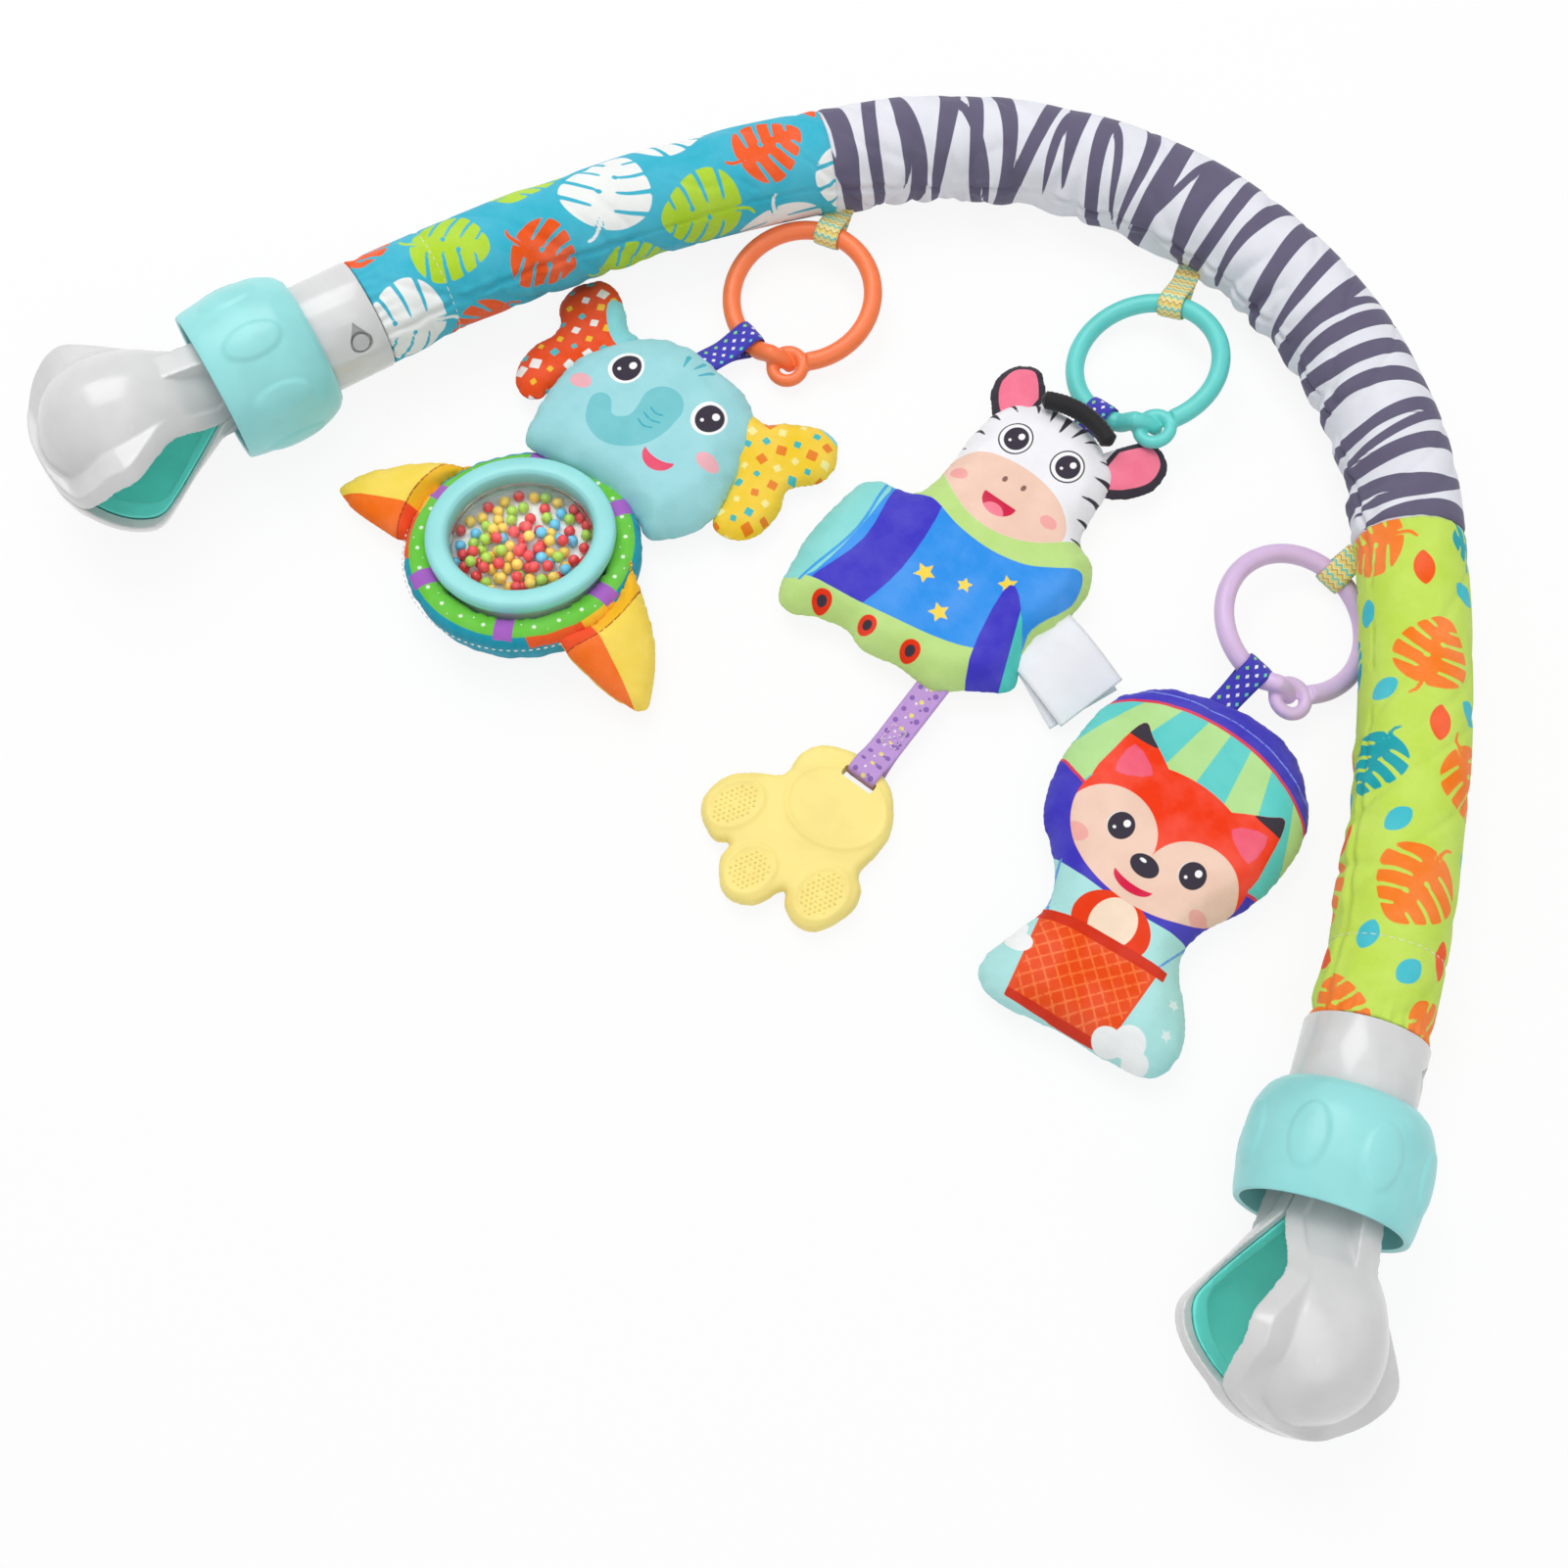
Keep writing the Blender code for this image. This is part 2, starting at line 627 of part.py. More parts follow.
def build_crown(arch):
    """The crown of the arch: three printed sleeve lengths over foam, over the bendable core."""
    bend = BEND_RUN - BEND_GAP
    lengths = (
        ("sleeve_teal_top", -bend, -SEAM_RUN - GAP, TEAL_FABRIC),
        ("sleeve_zebra", -SEAM_RUN, SEAM_RUN, ZEBRA_FABRIC),
        ("sleeve_lime_top", SEAM_RUN + GAP, bend, LIME_FABRIC),
    )
    for name, start, end, material in lengths:
        mesh = tube(arch_route(start, end), SLEEVE_RADIUS, SLEEVE_SIDES, caps=False, wall=SLEEVE_WALL)
        add_part(name, mesh, material, arch)
    bore = CORE_RADIUS + GAP
    foam_route = arch_route(-bend, bend, FOAM_STEP)
    foam = tube(foam_route, FOAM_RADIUS, FOAM_SIDES, caps=False, wall=FOAM_RADIUS - bore)
    swing = math.hypot(CUP_RADIUS, CUP_LIP) + CUP_SWING_GAP
    core = tube(arch_route(-BEND_RUN, BEND_RUN, FOAM_STEP), CORE_RADIUS - GAP, 8)
    for side in (-1, 1):
        bend_middle = Matrix.Translation(arch_point(side * BEND_RUN)[0])
        foam = cut(foam, moved(ball(swing), bend_middle))
        core = joined(core, moved(ball(CORE_BALL_RADIUS, 12, 8), bend_middle))
    add_part("foam_middle", foam, FOAM, arch)
    add_part("core_middle", core, CORE_PLASTIC, arch)


def leg_meshes(side):
    """Sleeve, foam and core of one leg, in the frame of its bend."""
    to_bend = arch_frame_at(side * BEND_RUN).inverted()
    foot = BEND_RUN + LEG_LENGTH

    def leg_tube(start, end, radius, sides, step=ROUTE_STEP, wall=0):
        route = arch_route(start, end, step) if side > 0 else arch_route(-end, -start, step)
        return moved(tube(route, radius, sides, caps=not wall, wall=wall), to_bend)

    sleeve = leg_tube(BEND_RUN + BEND_GAP, foot - GAP, SLEEVE_RADIUS, SLEEVE_SIDES, wall=SLEEVE_WALL)
    bore = CORE_RADIUS + GAP
    foam_end = foot - SPIGOT_LENGTH - FOAM_END_GAP
    foam = leg_tube(BEND_RUN + BEND_GAP, foam_end, FOAM_RADIUS, FOAM_SIDES, FOAM_STEP, FOAM_RADIUS - bore)
    foam = cut(foam, rod(CUP_RADIUS + GAP, 0, CUP_DEPTH + GAP))
    hollow = CORE_BALL_RADIUS + CORE_BALL_GAP
    lip_angle = -math.asin(CUP_LIP / hollow)
    turns = 6
    bowl = [lip_angle + (math.pi / 2 - lip_angle) * i / turns for i in range(turns)]
    cup = turned(
        [(0, CUP_DEPTH), (CUP_RADIUS, CUP_DEPTH), (CUP_RADIUS, -CUP_LIP)]
        + [(hollow * math.cos(a), hollow * math.sin(a)) for a in bowl]
        + [(0, hollow)],
        12,
    )
    rod_start = BEND_RUN + (hollow + CUP_DEPTH) / 2
    core = leg_tube(rod_start, foot + CORE_SEAT - GAP, CORE_RADIUS - GAP, 8, FOAM_STEP)
    return sleeve, foam, joined(core, cup)


def collar_mesh():
    bore = CORE_RADIUS + GAP
    spigot = FOAM_RADIUS
    hub_room = COLLAR_RADIUS - COLLAR_WALL
    collar = turned(
        (
            (COLLAR_RADIUS, COLLAR_LENGTH), (COLLAR_RADIUS, 0), (spigot, 0), (spigot, -SPIGOT_LENGTH),
            (bore, -SPIGOT_LENGTH), (bore, CORE_SEAT), (bore, HUB_SEAT - GAP), (hub_room, HUB_SEAT - GAP),
            (hub_room, COLLAR_LENGTH),
        )
    )
    across = turn_about("Y", 90)
    recess = moved(rod(RECESS_RADIUS, COLLAR_RADIUS - RECESS_DEPTH, COLLAR_RADIUS + OVERRUN), across)
    hole = moved(rod(SCREW_RADIUS + GAP, 0, COLLAR_RADIUS, 8), across)
    for tool in (recess, hole):
        collar = cut(collar, moved(tool, shift(z=RECESS_PLACE)))
    return collar


def screw_mesh():
    floor = COLLAR_RADIUS - RECESS_DEPTH + GAP
    head = rod(SCREW_HEAD_RADIUS, floor, floor + SCREW_HEAD_HEIGHT, 12)
    shank = rod(SCREW_RADIUS, CORE_RADIUS + GAP, floor + SCREW_HEAD_HEIGHT / 2, 8)
    return moved(joined(head, shank), shift(z=RECESS_PLACE) @ turn_about("Y", 90))


def across_pins(mesh):
    """Turned from along Z to along Y, at the jaw pin's place."""
    return moved(mesh, shift(z=PIN_PLACE) @ turn_about("X", 90))


def hub_mesh():
    spigot = COLLAR_RADIUS - COLLAR_WALL - GAP
    shoulder = COLLAR_LENGTH + GAP
    hub = turned(
        (
            (0, FORK_END), (FORK_RADIUS, FORK_END), (FORK_RADIUS, HUB_END), (HUB_RADIUS, HUB_END),
            (HUB_RADIUS, shoulder), (spigot, shoulder), (spigot, HUB_SEAT), (0, HUB_SEAT),
        )
    )
    slot_floor = PIN_PLACE - EYE_RADIUS - GAP - RUNNING_GAP
    slot_end = (2 * HUB_RADIUS, SLOT_HALF_WIDTH, FORK_END + OVERRUN)
    slot = block((-2 * HUB_RADIUS, -SLOT_HALF_WIDTH, slot_floor), slot_end)
    hole = across_pins(rod(PIN_RADIUS + RUNNING_GAP, -HUB_RADIUS - OVERRUN, HUB_RADIUS + OVERRUN))
    return cut(cut(hub, slot), hole)


def lock_ring_mesh():
    """A barrel: a neck that rides on the hub, and a wide mouth over the jaws' necks."""
    outer = [(LOCK_RADIUS * v, LOCK_START + LOCK_LENGTH * u) for u, v in lock_profile_shares]
    neck = HUB_RADIUS + GAP
    mouth = lock_profile_shares[0][1] * LOCK_RADIUS - LOCK_WALL / 2
    step = LOCK_START + LOCK_STEP
    inner = [
        (neck, LOCK_START), (neck, step), (mouth - LOCK_WALL / 2, step),
        (mouth, LOCK_START + LOCK_LENGTH - LOCK_WALL), (mouth, LOCK_START + LOCK_LENGTH),
    ]
    return turned(outer + inner, 32)


def plate_along_axis(outline, half_width):
    """A plate in the plane of a clamp's axis, from (height along the axis, distance from it) points."""
    to_clamp = Matrix(((0, 1, 0, 0), (0, 0, 1, 0), (1, 0, 0, 0), (0, 0, 0, 1)))
    return moved(flat([outline], half_width), to_clamp)


def jaw_profile(shares, radius_change=0):
    return [
        (max(0, v * JAW_RADIUS + (radius_change if v else 0)), JAW_START + u * JAW_LENGTH) for u, v in shares
    ]


def gap_curve(lift=0):
    """The jaw's parting line, lifted away from the other jaw: (height along the axis, distance from it)."""
    side = JAW_HALF_GAP - CLOSED_HALF_GAP
    return [(JAW_START + u * JAW_LENGTH, CLOSED_HALF_GAP + v * side + lift) for u, v in gap_curve_shares]


def slab_over(line, start, end, ceiling=None):
    """A thick plate over a line in the plane of the axis, up to a ceiling or to a second line."""
    far = ceiling or [(start, 2 * JAW_RADIUS), (end, 2 * JAW_RADIUS)]
    floor = [(start, line[0][1])] + line + [(end, line[-1][1])]
    roof = [(start, far[0][1])] + far + [(end, far[-1][1])]
    return plate_along_axis(floor + roof[::-1], 2 * JAW_RADIUS)


def jaw_sheet(low, high):
    """A plate that follows the parting line, between two heights over it."""
    start = JAW_START - OVERRUN
    end = JAW_START + JAW_LENGTH + OVERRUN
    return slab_over(gap_curve(low), start, end, gap_curve(high))


def pad_outline(inset):
    return turned(jaw_profile(flange_profile_shares, -inset), JAW_STEPS)


def jaw_mesh():
    """The upper jaw: a half pear with a flange along its edge and a ramped rib on its neck."""
    start = JAW_START - OVERRUN
    end = JAW_START + JAW_LENGTH + OVERRUN
    flange = common(pad_outline(0), jaw_sheet(-OVERRUN, FLANGE_HEIGHT))
    rib_end = JAW_START + RIB_LENGTH
    rib_outline = [
        (JAW_START, RIB_ROOT), (rib_end, RIB_ROOT), (rib_end, RIB_HEIGHT), (JAW_START, RIB_HEIGHT - PIN_RADIUS)
    ]
    rib = plate_along_axis(rib_outline, RIB_HALF_WIDTH)
    stretch = Matrix.Diagonal((JAW_DOME_STRETCH, 1, 1, 1))
    pear = moved(turned(jaw_profile(jaw_profile_shares), JAW_STEPS), stretch)
    jaw = common(joined(joined(pear, flange), rib), slab_over(gap_curve(), start, end))
    jaw = cut(jaw, turned(jaw_profile(jaw_hollow_shares), JAW_STEPS))
    jaw = cut(jaw, common(pad_outline(PAD_INSET - GAP), jaw_sheet(-OVERRUN, PAD_THICKNESS + GAP)))
    eye = across_pins(rod(EYE_RADIUS, -GAP - TONGUE_WIDTH, -GAP))
    tongue = block(
        (CLOSED_HALF_GAP, GAP, PIN_PLACE), (EYE_RADIUS, GAP + TONGUE_WIDTH, PIN_PLACE + TONGUE_REACH)
    )
    jaw = joined(jaw, joined(eye, tongue))
    return cut(jaw, across_pins(rod(PIN_RADIUS + RUNNING_GAP, -HUB_RADIUS, HUB_RADIUS)))


def jaw_pad_mesh():
    """The rubber liner along the parting line, with a lip round a shallow recess that takes the bar."""
    limit = slab_over([(JAW_START, 2 * CLOSED_HALF_GAP)], JAW_START - OVERRUN, JAW_START + JAW_LENGTH + OVERRUN)
    pad = common(common(pad_outline(PAD_INSET), jaw_sheet(-PAD_LIP, PAD_THICKNESS)), limit)
    recess = common(pad_outline(PAD_INSET + PAD_LIP_WIDTH), jaw_sheet(-OVERRUN, PAD_RECESS))
    return cut(pad, recess)


def build_arms(arch):
    collar, screw, hub, lock = collar_mesh(), screw_mesh(), hub_mesh(), lock_ring_mesh()
    jaw, pad = jaw_mesh(), jaw_pad_mesh()
    pin = across_pins(rod(PIN_RADIUS, -PIN_HALF_LENGTH, PIN_HALF_LENGTH))
    sides = (
        ("left", -1, "sleeve_teal", TEAL_FABRIC, LEFT_RECESS_TURN, LEFT_SWIVEL),
        ("right", 1, "sleeve_lime", LIME_FABRIC, RIGHT_RECESS_TURN, RIGHT_SWIVEL),
    )
    for name, side, sleeve_name, fabric, recess_turn, swivel in sides:
        bend = arch_frame_at(side * BEND_RUN)
        arm = add_frame(f"{name}_arm_frame", bend, arch)
        sleeve, foam, core = leg_meshes(side)
        add_part(sleeve_name, sleeve, fabric, arm)
        add_part(f"foam_{name}", foam, FOAM, arm)
        add_part(f"core_{name}", core, CORE_PLASTIC, arm)
        foot = bend.inverted() @ arch_frame_at(side * (BEND_RUN + LEG_LENGTH))
        end = add_frame(f"{name}_collar_frame", foot @ turn_about("Z", recess_turn), arm)
        add_part(f"collar_{name}", collar, GREY_PLASTIC, end)
        add_part(f"collar_screw_{name}", screw, STEEL, end)
        clamp = add_frame(f"{name}_clamp_frame", foot @ turn_about("Z", swivel), arm)
        add_part(f"clamp_hub_{name}", hub, GREY_PLASTIC, clamp)
        add_part(f"jaw_pin_{name}", pin, STEEL, clamp)
        add_part(f"lock_ring_{name}", lock, AQUA_PLASTIC, clamp)
        for level, turn in (("upper", 0), ("lower", 180)):
            hinge = add_frame(f"{name}_jaw_{level}_frame", shift(z=PIN_PLACE) @ turn_about("Z", turn), clamp)
            add_part(f"jaw_{level}_{name}", moved(jaw, shift(z=-PIN_PLACE)), GREY_PLASTIC, hinge)
            add_part(f"jaw_pad_{level}_{name}", moved(pad, shift(z=-PIN_PLACE)), TEAL_RUBBER, hinge)


def ring_mesh():
    """A round link ring with its closing eye on the +X side."""

    def hoop(radius, band, steps, sides):
        turns = [2 * math.pi * (0.5 - i) / sides for i in range(sides)]
        return turned([(radius + band * math.cos(a), band * math.sin(a)) for a in turns], steps)

    eye = moved(hoop(EYE_RING_RADIUS, EYE_BAND_RADIUS, 16, 8), shift(x=RING_RADIUS + EYE_OFFSET))
    return joined(hoop(RING_RADIUS, BAND_RADIUS, 32, 8), eye)


def loop_root(name):
    """Where the ring's ribbon loop is sewn into the inner side of the sleeve."""
    drop = math.radians(LOOP_ROOT_DROP)
    root, _ = arch_point(RINGS[name]["loop"], SLEEVE_RADIUS * math.cos(drop))
    return ARCH_MATRIX @ (root - Vector((0, 0, SLEEVE_RADIUS * math.sin(drop))))


def bearing_to(start, end):
    return math.degrees(math.atan2(end.x - start.x, end.y - start.y))


def ring_frame(name):
    """The ring's middle, its Z square to the ring. It rests on its ribbons, so it leans and clears the floor."""
    place = RINGS[name]
    high = bearing(place["high"])
    middle = ARCH_MIDDLE + bearing(place["bearing"]) * (ARCH_RADIUS - place["inset"])
    lean = math.radians(place["lean"])
    rise = RING_RADIUS * math.sin(lean)
    wrapped = BAND_RADIUS + LOOP_CLEARANCE + LOOP_THICKNESS + FLOOR_GAP
    wraps = [bearing_to(middle, loop_root(name))] + [toy["wrap"] for toy in TOYS.values() if toy["ring"] == name]
    needs = [wrapped - rise * math.cos(math.radians(wrap - place["high"])) for wrap in wraps]
    middle.z = max(needs + [BAND_RADIUS + FLOOR_GAP + rise])
    square = Vector((0, 0, math.cos(lean))) - high * math.sin(lean)
    return frame_at(middle, square, bearing(place["eye"]))


def on_ring(frame, towards):
    """The point of the ring's band nearest a level direction, and the band's own direction there."""
    square = frame.col[2].to_3d()
    across = (towards - square * towards.dot(square)).normalized()
    return frame.translation + across * RING_RADIUS, square.cross(across)


def loop_frame(bar, along_bar, target):
    """A ribbon loop's frame: round a bar, its tail toward a target."""
    tail = target - bar
    return frame_at(bar, along_bar, tail)


def build_rings(arch):
    """Each ring hangs in a zigzag ribbon loop that is sewn into the sleeve."""
    colours = {"ring_orange": ORANGE_PLASTIC, "ring_aqua": AQUA_PLASTIC, "ring_lilac": LILAC_PLASTIC}
    loops = {"ring_orange": "hang_loop_left", "ring_aqua": "hang_loop_middle", "ring_lilac": "hang_loop_right"}
    clearance = tube(arch_route(-BEND_RUN, BEND_RUN), SLEEVE_RADIUS + GAP, SLEEVE_SIDES)
    clearance.transform(ARCH_MATRIX)
    mesh = ring_mesh()
    for name, colour in colours.items():
        frame = ring_frame(name)
        sewn = loop_root(name)
        bar, along_bar = on_ring(frame, bearing(bearing_to(frame.translation, sewn)))
        opening = BAND_RADIUS + LOOP_CLEARANCE
        reach = (sewn - bar).length + OVERRUN
        loop = ribbon_loop(reach, LOOP_WIDTH, opening, opening, LOOP_THICKNESS)
        loop.transform(loop_frame(bar, along_bar, sewn))
        add_part(loops[name], cut(loop, clearance), ZIGZAG_RIBBON, None)
        hinge = add_frame(f"{name}_frame", Matrix.Translation(bar))
        add_part(name, moved(mesh, shift(*-bar) @ frame), colour, hinge)


def toy_frame(name, seam):
    """The toy's top, where its ribbon is sewn in, at the height of its seam."""
    toy = TOYS[name]
    bar, _ = on_ring(ring_frame(toy["ring"]), bearing(toy["wrap"]))
    top = bar + bearing(toy["bearing"]) * toy["run"]
    top.z = seam
    return bar, top


def toy_ribbon(name, top, edge, frame):
    """The blue ribbon round the ring's band, sewn into the top of the toy."""
    bar, along_bar = on_ring(ring_frame(TOYS[name]["ring"]), bearing(TOYS[name]["wrap"]))
    opening = BAND_RADIUS + LOOP_CLEARANCE
    inside = top + bearing(TOYS[name]["bearing"]) * CUSHION_SHOULDER / 2
    loop = ribbon_loop((inside - bar).length, RIBBON_WIDTH, opening, opening, LOOP_THICKNESS)
    loop.transform(loop_frame(bar, along_bar, inside))
    add_part(f"{name}_ribbon", moved(trimmed(loop, edge), shift(*-bar)), BLUE_RIBBON, frame)


def leaning_seam(middle, height, slope, heading):
    """A seam that rises by a slope toward a bearing."""
    rise = bearing(heading) * slope
    return lambda spot: height + (spot[0] - middle.x) * rise.x + (spot[1] - middle.y) * rise.y


def build_elephant():
    bar, top = toy_frame("elephant", HEAD_SEAM)
    hinge = add_frame("elephant_frame", Matrix.Translation(bar))

    def add(name, mesh, material):
        add_part(name, moved(mesh, shift(*-bar)), material, hinge)

    middle = top + Vector((-HEAD_SIDE_OFFSET, -HEAD_HEIGHT / 2, 0))
    star = middle + Vector((-STAR_SIDE_OFFSET, -STAR_DROP, 0))
    star.z = STAR_SEAM
    star_edge = [tuple((star + bearing(-a) * STAR_RADIUS).xy) for a in range(0, 360, 12)]
    star_seam = leaning_seam(star, STAR_SEAM, math.tan(math.radians(STAR_TILT)), STAR_TILT_HEADING)
    head_edge = smoothed(sized(head_shares, HEAD_WIDTH, HEAD_HEIGHT, middle))
    head = cushion(head_edge, HEAD_RISE, HEAD_DROP, CUSHION_SHOULDER, flat_seam(HEAD_SEAM))
    add("elephant_head", trimmed(head, star_edge), ELEPHANT_FABRIC)
    toy_ribbon("elephant", top, head_edge, hinge)
    for side, mirror in (("left", True), ("right", False)):
        sign = -1 if mirror else 1
        root = middle + Vector((sign * EAR_SIDE_OFFSET, EAR_ROOT_RISE, 0))
        ear_edge = smoothed(sized(ear_shares, EAR_WIDTH, EAR_HEIGHT, root, mirror))
        ear_seam = leaning_seam(root, HEAD_SEAM, EAR_SLOPE, sign * 90)
        ear = cushion(ear_edge, EAR_RISE, EAR_RISE, FLAP_SHOULDER, ear_seam)
        add(f"elephant_ear_{side}", trimmed(ear, head_edge), EAR_FABRIC)
        wing_edge = smoothed(sized(wing_shares, WING_SPAN, WING_SPAN, star, mirror))
        wing_root = star + Vector((sign * STAR_RADIUS, 0, 0))
        at_root = star_seam(wing_root)
        fall = (at_root - WING_RISE) / (WING_SPAN - STAR_RADIUS)
        wing_seam = leaning_seam(wing_root, at_root, -fall, sign * 90)
        wing = cushion(wing_edge, WING_RISE, at_root, WING_SHOULDER, wing_seam)
        add(f"star_wing_{side}", trimmed(trimmed(wing, star_edge), head_edge), WING_FABRIC)

    body = cushion(star_edge, STAR_RISE, 2 * STAR_SEAM, STAR_SHOULDER, star_seam)
    lean = turn_about(bearing(STAR_TILT_HEADING - 90), -STAR_TILT)
    seat = Matrix.Translation(star) @ lean
    pocket = moved(rod(TRAY_RADIUS + GAP, -TRAY_DEPTH - GAP, STAR_SEAM, TURN_STEPS), seat)
    add("star_body", cut(body, pocket), STAR_FABRIC)
    for name, mesh, material in rattle_meshes():
        add(name, moved(mesh, seat), material)


def rattle_meshes():
    """The rattle, about its own axis: a tray in the pocket, a clear dome, a rim over its flange, and the beads."""
    flange_top = STAR_RISE + GAP
    flange = flange_top - DOME_WALL
    base = RATTLE_WINDOW - GAP
    dome_sphere = (base**2 + DOME_HEIGHT**2) / (2 * DOME_HEIGHT)
    sweep = math.asin(base / dome_sphere)
    turns = 6
    crown = flange_top + DOME_HEIGHT

    def cap(thinner):
        radius = dome_sphere - thinner
        return [
            (radius * math.sin(sweep * i / turns), crown - dome_sphere + radius * math.cos(sweep * i / turns))
            for i in range(turns + 1)
        ]

    lip = base + DOME_FLANGE
    inner = cap(DOME_WALL)[::-1]
    dome = turned(cap(0) + [(lip, flange_top), (lip, flange), (inner[0][0], flange)] + inner[1:], 24)
    rim_low = flange_top + GAP
    rim_high = rim_low + RATTLE_RIM_HEIGHT
    edge = RATTLE_RIM_EDGE
    rim = turned(
        (
            (RATTLE_RADIUS - edge, rim_high), (RATTLE_RADIUS - edge / 4, rim_high - edge / 2),
            (RATTLE_RADIUS, rim_low + edge), (RATTLE_RADIUS - edge, rim_low), (RATTLE_WINDOW, rim_low),
            (RATTLE_WINDOW, rim_high - edge), (RATTLE_WINDOW + edge, rim_high),
        ),
        36,
    )
    inside = TRAY_RADIUS - TRAY_WALL
    floor = TRAY_WALL - TRAY_DEPTH
    tray = turned(
        (
            (0, floor), (inside, floor), (inside, flange_top), (TRAY_RADIUS, flange_top),
            (TRAY_RADIUS, -TRAY_DEPTH), (0, -TRAY_DEPTH),
        )
    )
    heap = [(BEAD_HEAP_RADIUS * u, floor + GAP + BEAD_HEAP_HEIGHT * v) for u, v in bead_heap_shares]
    beads = turned(heap, 20)
    return (
        ("rattle_tray", tray, WHITE_PLASTIC),
        ("rattle_beads", beads, BEAD_PLASTIC),
        ("rattle_dome", dome, CLEAR_PLASTIC),
        ("rattle_rim", rim, AQUA_PLASTIC),
    )


def build_zebra():
    bar, top = toy_frame("zebra", ZEBRA_SEAM)
    hinge = add_frame("zebra_frame", Matrix.Translation(bar))

    def add(name, mesh, material):
        add_part(name, moved(mesh, shift(*-bar)), material, hinge)

    middle = top + Vector((-ZEBRA_SIDE_OFFSET, -ZEBRA_HEIGHT / 2, 0))
    edge = smoothed(sized(zebra_shares, ZEBRA_WIDTH, ZEBRA_HEIGHT, middle))
    drop = ZEBRA_SEAM - FLOOR_GAP
    add("zebra_cushion", cushion(edge, ZEBRA_RISE, drop, CUSHION_SHOULDER, flat_seam(ZEBRA_SEAM)), ZEBRA_PRINT)
    toy_ribbon("zebra", top, edge, hinge)
    crown = middle + Vector((ZEBRA_CROWN_OFFSET, ZEBRA_HEIGHT / 2 - ZEBRA_EAR_PLACE, 0))
    for side, mirror in (("left", True), ("right", False)):
        sign = -1 if mirror else 1
        ear_edge = smoothed(sized(zebra_ear_shares, ZEBRA_EAR_SIZE, ZEBRA_EAR_SIZE, crown, mirror))
        root = crown + Vector((sign * ZEBRA_EAR_SIZE / 2, 0, 0))
        seam = leaning_seam(root, ZEBRA_SEAM, EAR_SLOPE, sign * 90)
        ear = cushion(ear_edge, ZEBRA_EAR_RISE, ZEBRA_EAR_RISE, FLAP_SHOULDER, seam)
        add(f"zebra_ear_{side}", trimmed(ear, edge), ZEBRA_EAR_FABRIC)

    strip_y = middle.y + ZEBRA_HEIGHT / 2 + MANE_OUTSET
    steps = 8
    strip = [
        (
            crown.x + MANE_HALF_LENGTH * (2 * i / steps - 1),
            strip_y - MANE_BEND * (2 * i / steps - 1) ** 2,
            ZEBRA_SEAM + MANE_LIFT,
        )
        for i in range(steps + 1)
    ]
    add("zebra_mane", tube(strip, MANE_RADIUS, 8), BLACK_FABRIC)

    half_label = LABEL_THICKNESS / 2
    label = block((-LABEL_INSIDE, -LABEL_WIDTH / 2, -half_label), (LABEL_OUTSIDE, LABEL_WIDTH / 2, half_label))
    label_middle = Vector((middle.x + ZEBRA_WIDTH / 2, top.y - LABEL_PLACE, ZEBRA_SEAM))
    label.transform(Matrix.Translation(label_middle) @ turn_about("Z", LABEL_TURN) @ turn_about("Y", LABEL_TILT))
    add("care_label", trimmed(label, edge), LABEL_FABRIC)

    teether_top = middle + Vector((TEETHER_SIDE_OFFSET, -ZEBRA_HEIGHT / 2, 0))
    half_height = TEETHER_THICKNESS / 2 + LOOP_CLEARANCE
    rest = half_height + TEETHER_RIBBON_THICKNESS + FLOOR_GAP
    teether_bar = teether_top + Vector((0, -TEETHER_DROP, 0))
    teether_bar.z = rest
    into = teether_top + Vector((0, CUSHION_SHOULDER, 0))
    loop = ribbon_loop(
        (into - teether_bar).length, TEETHER_RIBBON_WIDTH, TEETHER_BAR / 2 + LOOP_CLEARANCE,
        half_height, TEETHER_RIBBON_THICKNESS, LOOP_SQUARENESS,
    )
    loop.transform(loop_frame(teether_bar, Vector((1, 0, 0)), into))
    hem_y = lowest_crossing(edge, teether_bar.x) - GAP
    hem = teether_bar.lerp(into, (hem_y - teether_bar.y) / (into.y - teether_bar.y))
    swing = add_frame("teether_frame", Matrix.Translation(hem - bar), hinge)
    add_part("teether_ribbon", moved(trimmed(loop, edge), shift(*-hem)), PURPLE_RIBBON, swing)
    build_teether(teether_bar - hem, swing)


def build_teether(bar, swing):
    """The paw-shaped teether hangs by the bar between its slot and its rounded top."""
    middle = Vector((-SLOT_SIDE_OFFSET, TEETHER_BAR / 2 - TEETHER_HEIGHT / 2 + SLOT_SHIFT, 0))
    edge = smoothed(sized(teether_shares, TEETHER_WIDTH, TEETHER_HEIGHT, middle))
    half = TEETHER_THICKNESS / 2
    lift = half + FLOOR_GAP
    teether = cushion(edge, half, half, half, flat_seam(lift))
    teether.transform(shift(z=-lift))
    slot_top = -TEETHER_BAR / 2
    half_slot = SLOT_LENGTH / 2
    slot = block((-half_slot, slot_top - SLOT_WIDTH, -OVERRUN - half), (half_slot, slot_top, OVERRUN + half))
    add_part("teether", moved(cut(teether, slot), shift(*bar)), TEETHER_RUBBER, swing)


